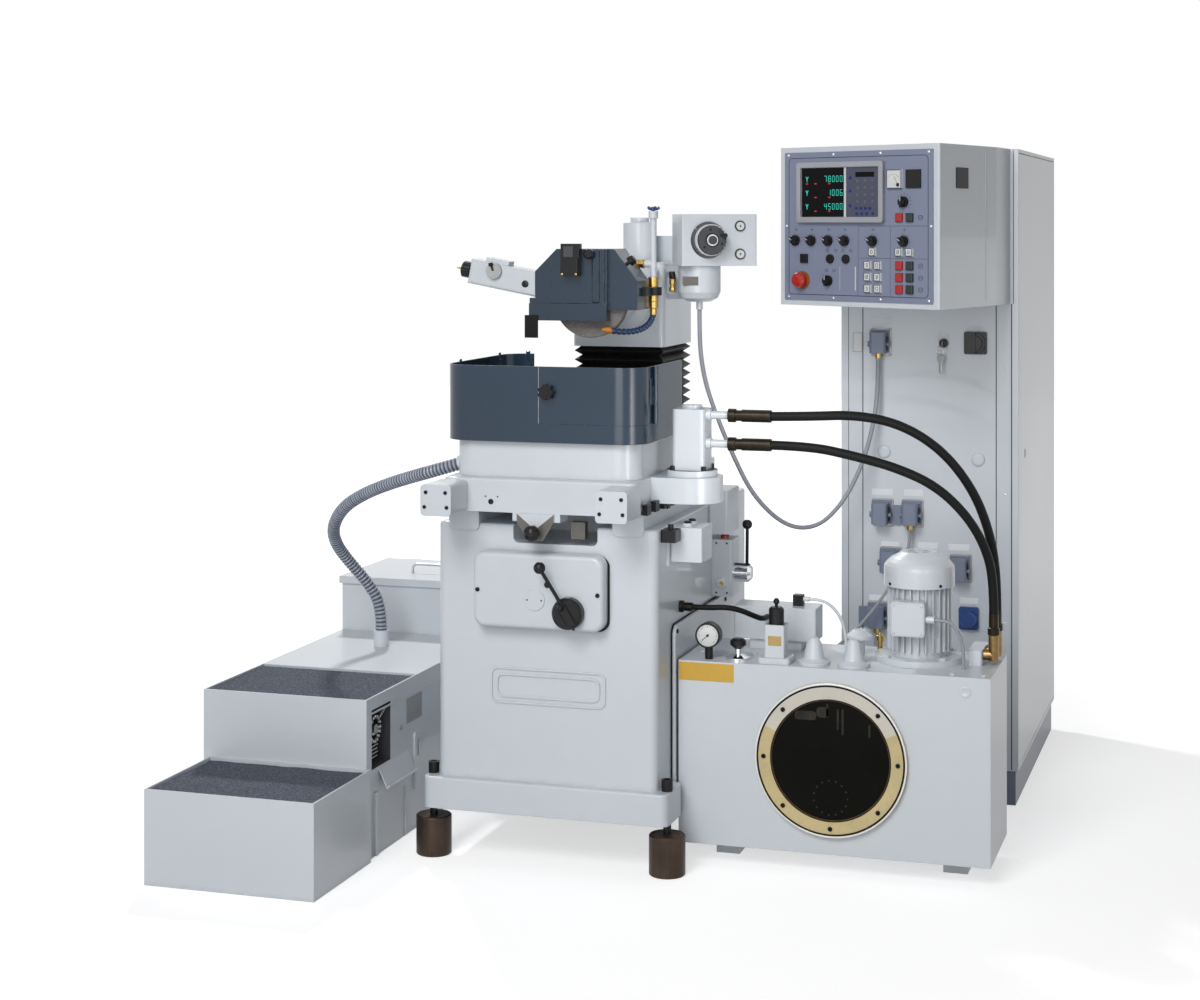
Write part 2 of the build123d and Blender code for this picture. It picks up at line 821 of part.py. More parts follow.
def at_origin(shape):
    """Move a piece from the machine's centre line to the origin of the whole set."""
    middle_x = (COOLANT_X0 - LID_LIP + TANK_X1) / 2
    middle_y = (BIN_FRONT + CAB_BACK) / 2
    return Pos(-middle_x, -middle_y, 0) * shape


def block(x0, x1, y0, y1, z0, z1, r=0.0, along=Axis.Z):
    """Box between two corners, with the edges along one axis rounded."""
    corner = (Align.MIN, Align.MIN, Align.MIN)
    body = Pos(x0, y0, z0) * Box(x1 - x0, y1 - y0, z1 - z0, align=corner)
    if r > 0:
        body = fillet(body.edges().filter_by(along), r)
    return body


def rod(start, direction, diameter, length):
    """Cylinder that starts at a point and runs along a direction."""
    seat = (Align.CENTER, Align.CENTER, Align.MIN)
    return Plane(origin=start, z_dir=direction) * Cylinder(diameter / 2, length, align=seat)


def bar(start, end, diameter):
    """Round bar between two points."""
    run = Vector(*end) - Vector(*start)
    return rod(start, run, diameter, run.length)


def turned(start, direction, profile):
    """Turned piece: the profile holds (diameter, height) pairs from its foot up."""
    outline = [(0, profile[0][1])]
    outline += [(d / 2, h) for d, h in profile if d > 0]
    outline.append((0, profile[-1][1]))
    face = Plane.XZ * make_face(Polyline(*outline, close=True))
    return Plane(origin=start, z_dir=direction) * revolve(face, Axis.Z)


def ball(centre, diameter):
    """Ball knob turned with two flats, where its stem enters and at its crown."""
    steps = 7
    profile = []
    for step in range(1, steps):
        angle = math.pi * step / steps
        profile.append((diameter * math.sin(angle), -diameter / 2 * math.cos(angle)))
    return turned(centre, (0, 0, 1), profile)


def front_plate(x, z, y, width, height, thickness, radius):
    """Rounded plate that stands proud of a face looking at the operator."""
    face = Plane(origin=(x, y, z), x_dir=(1, 0, 0), z_dir=(0, -1, 0))
    return extrude(face * RectangleRounded(width, height, radius), thickness)


def right_plate(y, z, x, length, height, thickness, radius):
    """Rounded plate that stands proud of a face looking to the right."""
    face = Plane(origin=(x, y, z), x_dir=(0, 1, 0), z_dir=(1, 0, 0))
    return extrude(face * RectangleRounded(length, height, radius), thickness)


def desk_plane():
    """Plane of the control panel: x along the panel, y up, z out of it."""
    left = Vector(*DESK_LEFT)
    right = Vector(*DESK_RIGHT)
    along = (right - left).normalized()
    middle = (left + right) * 0.5
    height = (DESK_Z0 + CAB_TOP) / 2
    origin = (middle.X, middle.Y, height)
    return Plane(origin=origin, x_dir=along, z_dir=(along.Y, -along.X, 0))


def infeed_plane():
    """Plane of the infeed box's face, turned towards the operator's right."""
    turn = math.radians(INFEED_TURN)
    across = (math.cos(turn), math.sin(turn), 0)
    return Plane(origin=INFEED_AT, x_dir=across, z_dir=(math.sin(turn), -math.cos(turn), 0))


def machine_base():
    """Base casting with foot flanges, slideways, feed channel and ram guide."""
    body = block(-PED_X, PED_X, PED_FRONT, PED_BACK, BASE_Z0, BASE_TOP, PED_R)
    body = fillet(body.faces().sort_by(Axis.Z)[-1].edges(), 8)
    lip_x = FLANGE_W / 2
    front = PED_FRONT - FLANGE_LIP
    back = PED_BACK + FLANGE_LIP
    for y0, y1 in ((front, front + FLANGE_D), (back - FLANGE_D, back)):
        flange = block(-lip_x, lip_x, y0, y1, BASE_Z0, FLANGE_TOP, PED_R)
        body += fillet(flange.faces().sort_by(Axis.Z)[-1].edges(), 5)
    for side in (-1, 1):
        x0 = side * RAIL_X - RAIL_W / 2
        x1 = side * RAIL_X + RAIL_W / 2
        rail_end = PED_FRONT + RAIL_L
        body += block(x0, x1, PED_FRONT + PED_R, rail_end, BASE_TOP - PED_R, BASE_TOP + RAIL_H)
        nose = block(x0, x1, PED_FRONT - RAIL_NOSE, PED_FRONT + 2 * PED_R,
                     BASE_TOP - RAIL_NOSE_DROP, BASE_TOP + RAIL_H)
        nose = fillet(nose.edges().filter_by(Axis.Y).sort_by(Axis.Z)[:2], 12)
        body += nose
    rear_x = REAR_BLOCK_W / 2
    body += block(-rear_x, rear_x, REAR_BLOCK_FRONT, PED_BACK, BASE_TOP - PED_R, REAR_TOP, PED_R)
    guide = RAM_W / 2 + SEAT
    body -= block(-guide, guide, HEAD_Y - guide, HEAD_Y + guide, BORE_FLOOR, REAR_TOP + 1)
    channel = block(CHANNEL_X0, CHANNEL_X1, PED_FRONT - RAIL_NOSE, PED_FRONT + CHANNEL_L,
                    BASE_TOP - CHANNEL_DEPTH, BASE_TOP + 1)
    body -= fillet(channel.edges().filter_by(Axis.Y).sort_by(Axis.Z)[:2], 14)
    for x in (-FOOT_X, FOOT_X):
        for y in FOOT_YS:
            body -= rod((x, y, BASE_Z0), (0, 0, 1), SCREW_D + 2 * SEAT, FLANGE_H)
    inside_x = PED_X - BASE_WALL
    body -= block(-inside_x, inside_x, PED_FRONT + BASE_WALL, HEAD_Y - guide - BASE_WALL,
                  BASE_Z0, BASE_TOP - CHANNEL_DEPTH - BASE_WALL)
    for inset in (0, 3 * NAME_RIB):
        outer = front_plate(NAME_X, NAME_Z, PED_FRONT, NAME_W - 2 * inset, NAME_H - 2 * inset,
                            NAME_PROUD, 20)
        inner = front_plate(NAME_X, NAME_Z, PED_FRONT, NAME_W - 2 * inset - 2 * NAME_RIB,
                            NAME_H - 2 * inset - 2 * NAME_RIB, NAME_PROUD, 20 - NAME_RIB)
        body += outer - inner
    return body


def levelling_feet():
    """Steel pads under the flanges, each with its jacking screw."""
    pieces = []
    bevel = 3.0
    for x in (-FOOT_X, FOOT_X):
        for y in FOOT_YS:
            pad = [(PAD_D - 2 * bevel, 0), (PAD_D, bevel), (PAD_D, PAD_H - bevel),
                   (PAD_D - 2 * bevel, PAD_H)]
            pieces.append(turned((x, y, 0), (0, 0, 1), pad))
            screw = rod((x, y, PAD_H), (0, 0, 1), SCREW_D, FOOT_GAP + FLANGE_H)
            head = rod((x, y, FLANGE_TOP), (0, 0, 1), SCREW_HEAD_D, SCREW_HEAD_H)
            socket = extrude(Plane.XY.offset(FLANGE_TOP + SCREW_HEAD_H / 2)
                             * Pos(x, y) * RegularPolygon(9, 6), SCREW_HEAD_H)
            pieces.append(screw + (head - socket))
    return pieces


def access_covers():
    """Front gear cover with its round cap, and the long cover on the right side."""
    back = PED_FRONT - SEAL_T
    gear = front_plate(COVER_X, COVER_Z, back, COVER_W, COVER_H, COVER_PROUD, COVER_R)
    gear = fillet(gear.faces().sort_by(Axis.Y)[0].edges(), 12)
    gear += rod((CAP_X, COVER_FACE, CAP_Z), (0, -1, 0), CAP_D, 2)
    gear -= rod((LEVER_X, back, LEVER_Z), (0, -1, 0), LEVER_SHAFT_D + 2 * RUN, COVER_PROUD)
    side_x = PED_X + SIDE_SEAL_T
    side = right_plate(SIDE_COVER_Y, SIDE_COVER_Z, side_x, SIDE_COVER_L, SIDE_COVER_H,
                       SIDE_COVER_T, SIDE_COVER_R)
    side = fillet(side.faces().sort_by(Axis.X)[-1].edges(), 3)
    return [gear, side]


def cover_seals():
    """Rubber seals behind the two covers, a little larger than they are."""
    front = front_plate(COVER_X + SEAL_LIP, COVER_Z - SEAL_LIP, PED_FRONT, COVER_W, COVER_H,
                        SEAL_T, COVER_R)
    front -= rod((LEVER_X, PED_FRONT, LEVER_Z), (0, -1, 0), LEVER_SHAFT_D + 2 * SEAT, SEAL_T)
    side = right_plate(SIDE_COVER_Y, SIDE_COVER_Z, PED_X, SIDE_COVER_L + SEAL_LIP,
                       SIDE_COVER_H + SEAL_LIP, SIDE_SEAL_T, SIDE_COVER_R)
    return [front, side]


def reversing_lever():
    """Hub, rod and ball of the lever that reverses the cross feed."""
    face = COVER_FACE - SEAT
    hub = turned((LEVER_X, face, LEVER_Z), (0, -1, 0),
                 [(LEVER_HUB_D, 0), (LEVER_HUB_D, LEVER_HUB_L - 6), (LEVER_HUB_D - 14, LEVER_HUB_L)])
    hub += rod((LEVER_X, PED_FRONT - SEAL_T, LEVER_Z), (0, -1, 0), LEVER_SHAFT_D, COVER_PROUD + 2)
    dx, dy, dz = LEVER_REACH
    foot = (LEVER_X, face - LEVER_HUB_L + 6, LEVER_Z)
    tip = (LEVER_X + dx, face - LEVER_HUB_L + dy, LEVER_Z + dz)
    tail = (LEVER_X - dx / 3, face - LEVER_HUB_L, LEVER_Z - dz / 3)
    return hub + bar(foot, tip, LEVER_ROD_D) + bar(foot, tail, LEVER_ROD_D * 0.8) + ball(tip, BALL_D)


def chest_solid():
    """Valve chest with two round covers, on a flange plate."""
    x0 = PED_X + CHEST_PLATE_T
    x1 = PED_X + CHEST_W
    y1 = CHEST_Y + CHEST_L
    body = block(x0, x1, CHEST_Y, y1, CHEST_Z0, CHEST_Z0 + CHEST_H, 5)
    body += block(PED_X, x0, CHEST_Y - CHEST_PLATE_LIP, y1 + CHEST_PLATE_LIP,
                  CHEST_Z0 - CHEST_PLATE_LIP, CHEST_Z0 + CHEST_H)
    for step in (0.3, 0.72):
        body += rod((PED_X + CHEST_W / 2, CHEST_Y + step * CHEST_L, CHEST_Z0 + CHEST_H),
                    (0, 0, 1), 26, 8)
    return body


def valve_boxes():
    """Valve chest, oil reservoir, lever box and limit switch on the right of the base."""
    reservoir = block(PED_X, PED_X + TANKLET_W, TANKLET_Y, TANKLET_Y + TANKLET_L,
                      TANKLET_Z0, TANKLET_Z0 + TANKLET_H, 6)
    x1 = PED_X + LEVER_BOX_W
    top = LEVER_BOX_Z0 + LEVER_BOX_H
    lever_y = LEVER_BOX_Y + LEVER_BOX_L * 0.42
    box = block(PED_X, x1, LEVER_BOX_Y, LEVER_BOX_Y + LEVER_BOX_L, LEVER_BOX_Z0, top)
    box = fillet(box.edges().filter_by(Axis.Z).sort_by(Axis.X)[2:], 6)
    box += rod((PED_X + LEVER_BOX_W / 2, LEVER_BOX_Y, SELECT_Z - 26), (0, -1, 0), 30, 4)
    box -= rod((x1 - 30, lever_y, SELECT_Z), (1, 0, 0), SELECT_SHAFT_D + 2 * RUN, 31)
    box -= rod((PED_X + LEVER_BOX_W / 2, lever_y, top - 14), (0, 0, 1), RESET_D + 2 * SEAT, 15)
    top_of_chest = CHEST_Z0 + CHEST_H
    switch = block(PED_X, PED_X + SWITCH_W, SWITCH_Y, SWITCH_Y + SWITCH_L,
                   top_of_chest - SWITCH_H, top_of_chest, 3)
    switch += rod((PED_X + SWITCH_W / 2, SWITCH_Y + SWITCH_L / 2, top_of_chest), (0, 0, 1), 14, 12)
    fitting = turned((PED_X, PILOT_Y, PILOT_Z), (1, 0, 0),
                     [(PILOT_FITTING_D + 8, 0), (PILOT_FITTING_D + 8, 10), (PILOT_FITTING_D, 11),
                      (PILOT_FITTING_D, PILOT_FITTING_L)])
    return [chest_solid(), reservoir, box, switch, fitting]


def selector_lever():
    """Chromed hub with its lever and ball on the lever box."""
    x0 = PED_X + LEVER_BOX_W + SEAT
    y = LEVER_BOX_Y + LEVER_BOX_L * 0.42
    hub = turned((x0, y, SELECT_Z), (1, 0, 0),
                 [(SELECT_HUB_D, 0), (SELECT_HUB_D, SELECT_HUB_L - 8), (SELECT_HUB_D - 16, SELECT_HUB_L)])
    hub += rod((x0 - 28, y, SELECT_Z), (1, 0, 0), SELECT_SHAFT_D, 30)
    dx, dy, dz = SELECT_REACH
    foot = (x0 + SELECT_HUB_L - 14, y, SELECT_Z)
    tip = (foot[0] + dx, y + dy, SELECT_Z + dz)
    return hub + bar(foot, tip, LEVER_ROD_D) + ball(tip, SELECT_BALL_D)


def reset_button():
    """Push button on top of the lever box."""
    top = LEVER_BOX_Z0 + LEVER_BOX_H
    y = LEVER_BOX_Y + LEVER_BOX_L * 0.42
    return turned((PED_X + LEVER_BOX_W / 2, y, top), (0, 0, 1),
                  [(RESET_D, RESET_TRAVEL - 13), (RESET_D, RESET_PROUD - 2), (RESET_D - 5, RESET_PROUD)])


def cross_slide():
    """Cross slide casting, its way covers, motor arm, stop bracket and trip dogs."""
    body = block(-SLIDE_X, SLIDE_X, SLIDE_FRONT, SLIDE_BACK, SLIDE_Z0, SLIDE_TOP, SLIDE_R)
    body = fillet(body.faces().sort_by(Axis.Z)[-1].edges(), 6)
    body += block(LIP_X0, LIP_X1, SLIDE_FRONT, SLIDE_FRONT + LIP_L, SLIDE_Z0 - LIP_DROP, SLIDE_Z0)
    arm_z0 = SLIDE_TOP - ARM_H
    body += rod((ARM_X, ARM_Y, arm_z0), (0, 0, 1), ARM_D, ARM_H)
    body += block(SLIDE_X - SLIDE_R, ARM_X, ARM_Y - ARM_D / 2, ARM_Y + ARM_ROOT_W / 2, arm_z0, SLIDE_TOP)
    body += rod((0, TABLE_Y, SLIDE_TOP), (0, 0, 1), BOSS_D, BOSS_H)
    shaft_z = BOSS_TOP + TURN_GAP - TURN_SHAFT_L - SEAT
    body -= rod((0, TABLE_Y, shaft_z), (0, 0, 1), TURN_SHAFT_D + 2 * RUN, BOSS_TOP - shaft_z)
    plate_z = SLIDE_Z0 - LIP_DROP
    half = BRACKET_TOP_W / 2
    low = BRACKET_LOW_W / 2
    v_plate = make_face(Polyline((-half, 0), (half, 0), (low, -BRACKET_DROP), (-low, -BRACKET_DROP),
                                 close=True))
    stand = Plane(origin=(PLUNGER_X, SLIDE_FRONT, plate_z), x_dir=(1, 0, 0), z_dir=(0, -1, 0))
    bracket = extrude(stand * v_plate, BRACKET_T)
    bracket += block(PLUNGER_X - half, PLUNGER_X + half, SLIDE_FRONT - BRACKET_T, SLIDE_FRONT,
                     plate_z, plate_z + LIP_DROP)
    bracket -= rod((PLUNGER_X, SLIDE_FRONT, plate_z - PLUNGER_DROP), (0, -1, 0),
                   PLUNGER_SHAFT_D + 2 * RUN, BRACKET_T)
    pieces = [body, bracket]
    for side in (-1, 1):
        x = side * WAY_COVER_X
        cover = block(x - WAY_COVER_W / 2, x + WAY_COVER_W / 2, SLIDE_FRONT - WAY_COVER_L, SLIDE_FRONT,
                      SLIDE_Z0, SLIDE_Z0 + WAY_COVER_H, WAY_COVER_R, Axis.Y)
        pieces.append(cover)
    rail_z = SLIDE_Z0 + 4
    rail_y1 = DOG_RAIL_Y + DOG_RAIL_L
    rail = block(SLIDE_X, SLIDE_X + DOG_RAIL_T, SLIDE_FRONT + SLIDE_R, rail_y1,
                 rail_z, rail_z + DOG_RAIL_H - 8)
    pieces.append(rail)
    for share in (0.12, 0.42):
        y = SLIDE_FRONT + share * DOG_RAIL_L
        pieces.append(block(SLIDE_X + DOG_RAIL_T, SLIDE_X + DOG_RAIL_T + DOG_W, y, y + DOG_L,
                            rail_z - 2, rail_z - 2 + DOG_H))
    return pieces


def saddle_plunger():
    """Ball-ended plunger in the stop bracket below the cross slide."""
    z = SLIDE_Z0 - LIP_DROP - PLUNGER_DROP
    face = SLIDE_FRONT - BRACKET_T - SEAT
    neck = turned((PLUNGER_X, face, z), (0, -1, 0), [(22, 0), (16, PLUNGER_NECK)])
    shaft = rod((PLUNGER_X, face + PLUNGER_SHAFT_L, z), (0, -1, 0), PLUNGER_SHAFT_D, PLUNGER_SHAFT_L + 2)
    centre = (PLUNGER_X, face - PLUNGER_NECK - PLUNGER_BALL_D * 0.42, z)
    return neck + shaft + ball(centre, PLUNGER_BALL_D)


def table_motor():
    """Hydraulic motor that turns the table, with its two hose ports."""
    z0 = SLIDE_TOP
    half = MOTOR_W / 2
    body = rod((ARM_X, ARM_Y, z0), (0, 0, 1), MOTOR_FLANGE_D, MOTOR_FLANGE_H)
    body += block(ARM_X - half, ARM_X + half, ARM_Y - half, ARM_Y + half, z0 + MOTOR_FLANGE_H,
                  z0 + MOTOR_FLANGE_H + MOTOR_H, MOTOR_R)
    body += rod((ARM_X, ARM_Y, z0 + MOTOR_FLANGE_H + MOTOR_H), (0, 0, 1), MOTOR_CAP_D, MOTOR_CAP_H)
    pieces = [body]
    for turn in range(4):
        angle = math.radians(45 + 90 * turn)
        x = ARM_X + 0.44 * MOTOR_FLANGE_D * math.cos(angle)
        y = ARM_Y + 0.44 * MOTOR_FLANGE_D * math.sin(angle)
        pieces.append(rod((x, y, z0 + MOTOR_FLANGE_H), (0, 0, 1), 13, 11))
    for up in (PORT_HIGH, PORT_LOW):
        start = (ARM_X + half, ARM_Y - PORT_BACK, z0 + MOTOR_FLANGE_H + up)
        tail = PORT_L + FERRULE_L
        port = [(PORT_D + 8, 0), (PORT_D + 8, 12), (PORT_D, 12), (PORT_D, PORT_L)]
        pieces.append(turned(start, (1, 0, 0), port))
        ferrule = [(PORT_NUT_D, PORT_L), (PORT_NUT_D, PORT_L + 18), (FERRULE_D - 4, PORT_L + 18),
                   (FERRULE_D - 4, PORT_L + 34), (FERRULE_D, PORT_L + 34), (FERRULE_D, tail)]
        pieces.append(turned(start, (1, 0, 0), ferrule))
    return pieces


def spigot_slope():
    """Direction of the drain spigot: to the left and a little down."""
    return Vector(-1, 0, -SPIGOT_FALL).normalized()


def coolant_pan():
    """Pan round the table bearing, with the drain spigot on its left."""
    x = PAN_W / 2
    body = block(-x, x, PAN_FRONT, PAN_FRONT + PAN_D, PAN_Z0, PAN_TOP, PAN_R)
    inner = x - PAN_WALL
    body -= block(-inner, inner, PAN_FRONT + PAN_WALL, PAN_FRONT + PAN_D - PAN_WALL,
                  PAN_Z0 + PAN_WALL, PAN_TOP, PAN_R - PAN_WALL)
    body -= rod((0, TABLE_Y, PAN_Z0), (0, 0, 1), BOSS_D + 2 * SEAT, PAN_WALL)
    slope = spigot_slope()
    root = Vector(-x, SPIGOT_Y, PAN_Z0 + SPIGOT_UP)
    spigot = rod(root - slope * 12, slope, SPIGOT_D, SPIGOT_L + 12)
    body += spigot - block(-inner, inner, PAN_FRONT, PAN_FRONT + PAN_D, PAN_Z0, PAN_TOP)
    return body - rod(root - slope * 24, slope, DRAIN_BORE, SPIGOT_L + 25)


def rim_wall(z0, z1):
    """Closed rounded wall of the splash guard between two heights."""
    outer = block(-RIM_X, RIM_X, RIM_FRONT, RIM_BACK, z0, z1, RIM_R)
    x = RIM_X - RIM_T
    inner = block(-x, x, RIM_FRONT + RIM_T, RIM_BACK - RIM_T, z0, z1, RIM_R - RIM_T)
    return outer - inner


def hinge_knuckles(fixed):
    """Knuckles of the door hinge: the outer two are fixed, the middle one swings."""
    length = RIM_H / 3
    pieces = None
    for share in ((0, 2) if fixed else (1,)):
        z0 = BAND_TOP + share * length
        z1 = z0 + length
        if not fixed:
            z0 += KNUCKLE_GAP
            z1 -= KNUCKLE_GAP
        knuckle = rod((RIM_X + HINGE_OUT, HINGE_Y, z0), (0, 0, 1), HINGE_D, z1 - z0)
        side = 1 if fixed else -1
        y0 = min(HINGE_Y, HINGE_Y + side * 26)
        leaf = block(RIM_X, RIM_X + 3, y0, y0 + 26, z0, z1)
        knuckle += leaf
        pieces = knuckle if pieces is None else pieces + knuckle
    return pieces


def splash_guard():
    """Fixed part of the splash guard: lower band, left and rear walls, right rear wall."""
    band = rim_wall(RIM_Z0, BAND_TOP)
    lip_in = RIM_X - RIM_LIP
    lip = block(-RIM_X + 1, RIM_X - 1, RIM_FRONT + 1, RIM_BACK - 1, RIM_Z0, RIM_Z0 + RIM_T, RIM_R - 1)
    lip -= block(-lip_in, lip_in, RIM_FRONT + RIM_LIP, RIM_BACK - RIM_LIP, RIM_Z0, RIM_Z0 + RIM_T,
                 RIM_R - RIM_LIP)
    wall = rim_wall(BAND_TOP, RIM_TOP)
    big = RIM_W
    wall -= block(RIM_SPLIT_X, big, RIM_FRONT - 1, HINGE_Y, BAND_TOP, RIM_TOP)
    wall -= block(RIM_BACK_STUB, big, RIM_RIGHT_END, RIM_BACK + 1, BAND_TOP, RIM_TOP)
    pin = rod((RIM_X + HINGE_OUT, HINGE_Y, BAND_TOP), (0, 0, 1), HINGE_PIN_D, RIM_H)
    return band + lip + wall + hinge_knuckles(True) + pin


def splash_door():
    """Front right part of the splash guard, which swings open on its hinge."""
    wall = rim_wall(BAND_TOP + SEAT, RIM_TOP)
    big = RIM_W
    wall -= block(-big, RIM_SPLIT_X + RIM_SPLIT_GAP, RIM_FRONT - 1, RIM_BACK + 1, BAND_TOP, RIM_TOP)
    wall -= block(-big, big, HINGE_Y - SEAT, RIM_BACK + 1, BAND_TOP, RIM_TOP)
    door = wall + hinge_knuckles(False)
    pin_hole = rod((RIM_X + HINGE_OUT, HINGE_Y, BAND_TOP), (0, 0, 1), HINGE_PIN_D + 2 * RUN, RIM_H)
    stud_hole = rod((STAR_X, RIM_FRONT + RIM_T + 1, RIM_TOP - STAR_DROP), (0, -1, 0),
                    STAR_STUD_D + 2 * RUN, RIM_T + 2)
    return door - pin_hole - stud_hole


def splash_knob():
    """Star knob that clamps the splash door shut."""
    centre = (STAR_X, RIM_FRONT - SEAT, RIM_TOP - STAR_DROP)
    star = rod(centre, (0, -1, 0), STAR_D * 0.8, STAR_L)
    star = star + rod(centre, (0, -1, 0), STAR_D * 0.5, STAR_L + 2)
    for lobe in range(STAR_LOBES):
        angle = 2 * math.pi * lobe / STAR_LOBES
        x = centre[0] + 0.38 * STAR_D * math.cos(angle)
        z = centre[2] + 0.38 * STAR_D * math.sin(angle)
        star += rod((x, centre[1] - 6, z), (0, -1, 0), STAR_D * 0.24, STAR_L - 6)
    stud_start = (STAR_X, RIM_FRONT + RIM_T + 6, RIM_TOP - STAR_DROP)
    return star + rod(stud_start, (0, -1, 0), STAR_STUD_D, RIM_T + 6 + SEAT + 2)


def magnetic_chuck():
    """Round magnetic chuck with the ring grooves of its pole plate."""
    chuck = turned((0, TABLE_Y, CHUCK_Z0), (0, 0, 1),
                   [(CHUCK_D, 0), (CHUCK_D, CHUCK_H - 3), (CHUCK_D - 6, CHUCK_H)])
    pitch = CHUCK_D / 2 / (CHUCK_RINGS + 1)
    for ring in range(1, CHUCK_RINGS + 1):
        outer = 2 * ring * pitch
        groove = rod((0, TABLE_Y, CHUCK_TOP - CHUCK_GROOVE), (0, 0, 1), outer + CHUCK_GROOVE, CHUCK_GROOVE)
        groove -= rod((0, TABLE_Y, CHUCK_TOP - CHUCK_GROOVE), (0, 0, 1), outer - CHUCK_GROOVE, CHUCK_GROOVE)
        chuck -= groove
    return chuck


def table_spindle():
    """Turntable and shaft that carry the chuck in the cross slide's bearing."""
    z0 = BOSS_TOP + TURN_GAP
    table = rod((0, TABLE_Y, z0), (0, 0, 1), TURN_D, TURN_H)
    return table + rod((0, TABLE_Y, z0 - TURN_SHAFT_L), (0, 0, 1), TURN_SHAFT_D, TURN_SHAFT_L)


def head_carriage():
    """Head casting with its screw tower and infeed boss, and the ram below it."""
    body = block(-HEAD_X, HEAD_X, HEAD_FRONT, HEAD_BACK, HEAD_Z0, HEAD_TOP, HEAD_R)
    body = fillet(body.faces().sort_by(Axis.Z)[-1].edges(), 12)
    tower = [(TOWER_D, -20), (TOWER_D, TOWER_H - 4), (TOWER_D - 8, TOWER_H), (TOWER_CAP_D, TOWER_H),
             (TOWER_CAP_D, TOWER_H + TOWER_CAP_H)]
    body += turned((TOWER_X, TOWER_Y, HEAD_TOP), (0, 0, 1), tower)
    body += bar((HEAD_X - HEAD_R, FEED_MOTOR_AT[1] + 40, FEED_BOSS_Z),
                (FEED_MOTOR_AT[0] - FEED_MOTOR_D * 0.42, FEED_MOTOR_AT[1] + 30, FEED_BOSS_Z), FEED_BOSS_D)
    body -= rod((FEED_MOTOR_AT[0], FEED_MOTOR_AT[1], HEAD_Z0), (0, 0, 1), FEED_MOTOR_D,
                INFEED_AT[2] - HEAD_Z0)
    body -= rod((0, HEAD_FRONT, AXIS_Z), (0, 1, 0), SPINDLE_D + 2 * RUN, SPINDLE_SEAT)
    screw_top = BORE_FLOOR + FEED_SCREW_L + HEAD_TRAVEL + 2
    body -= rod((0, HEAD_Y, HEAD_Z0), (0, 0, 1), RAM_HOLE_D, screw_top - HEAD_Z0)
    half = RAM_W / 2
    ram = block(-half, half, HEAD_Y - half, HEAD_Y + half, RAM_Z0, HEAD_Z0)
    ram -= rod((0, HEAD_Y, RAM_Z0 + NUT_H), (0, 0, 1), RAM_HOLE_D, RAM_L)
    ram -= rod((0, HEAD_Y, RAM_Z0), (0, 0, 1), FEED_SCREW_D + 2 * NUT_CLEAR, NUT_H)
    return [body, ram]


def feed_screw():
    """Vertical feed screw that stands in the base, inside the ram."""
    return rod((0, HEAD_Y, BORE_FLOOR), (0, 0, 1), FEED_SCREW_D, FEED_SCREW_L)


def bellows():
    """Pleated square bellows between the rear block and the head."""
    outer = []
    inner = []
    steps = 2 * BELLOWS_PLEATS
    for step in range(steps + 1):
        fold = BELLOWS_FOLD if step % 2 == 0 else 0.0
        width = HEAD_W - 2 * (BELLOWS_INSET + fold)
        depth = HEAD_D - 2 * (BELLOWS_INSET + fold)
        z = REAR_TOP + (HEAD_Z0 - REAR_TOP) * step / steps
        level = Plane(origin=(0, HEAD_Y, z))
        outer.append(level * Rectangle(width, depth))
        inner.append(level * Rectangle(width - 2 * BELLOWS_WALL, depth - 2 * BELLOWS_WALL))
    return loft(outer, ruled=True) - loft(inner, ruled=True)


def spindle_housing():
    """Round housing of the grinding spindle between the head and the guard."""
    length = HEAD_FRONT - GUARD_BACK
    flange = HOUSING_FLANGE_T
    profile = [(NOSE_D, -NOSE_L), (NOSE_D, 0), (HOUSING_D, 0), (HOUSING_D, length - 3 * flange),
               (HOUSING_FLANGE_D, length - flange), (HOUSING_FLANGE_D, length)]
    body = turned((0, GUARD_BACK, AXIS_Z), (0, 1, 0), profile)
    return body - rod((0, GUARD_BACK - NOSE_L, AXIS_Z), (0, 1, 0), SPINDLE_D + 2 * RUN, length + NOSE_L)


def grinding_wheel():
    """Straight grinding wheel."""
    bevel = 2.0
    wheel = turned((0, WHEEL_FRONT, AXIS_Z), (0, 1, 0),
                   [(WHEEL_D - 2 * bevel, 0), (WHEEL_D, bevel), (WHEEL_D, WHEEL_W - bevel),
                    (WHEEL_D - 2 * bevel, WHEEL_W)])
    return wheel - rod((0, WHEEL_FRONT, AXIS_Z), (0, 1, 0), WHEEL_BORE, WHEEL_W)


def wheel_spindle():
    """Spindle shaft with the clamp flanges and nut that hold the wheel."""
    rear = rod((0, WHEEL_BACK, AXIS_Z), (0, 1, 0), CLAMP_D, CLAMP_T)
    hub = rod((0, WHEEL_FRONT, AXIS_Z), (0, 1, 0), WHEEL_BORE - 2 * RUN, WHEEL_W)
    front = turned((0, WHEEL_FRONT - CLAMP_T, AXIS_Z), (0, 1, 0),
                   [(CLAMP_D - 8, 0), (CLAMP_D, 4), (CLAMP_D, CLAMP_T)])
    nut_plane = Plane(origin=(0, WHEEL_FRONT - CLAMP_T - SPINDLE_NUT_T, AXIS_Z), z_dir=(0, 1, 0))
    nut = extrude(nut_plane * RegularPolygon(SPINDLE_NUT_D / 2, 6), SPINDLE_NUT_T)
    shaft_end = HEAD_FRONT + SPINDLE_SEAT - SEAT
    shaft = rod((0, WHEEL_BACK, AXIS_Z), (0, 1, 0), SPINDLE_D, shaft_end - WHEEL_BACK)
    return rear + hub + front + nut + shaft


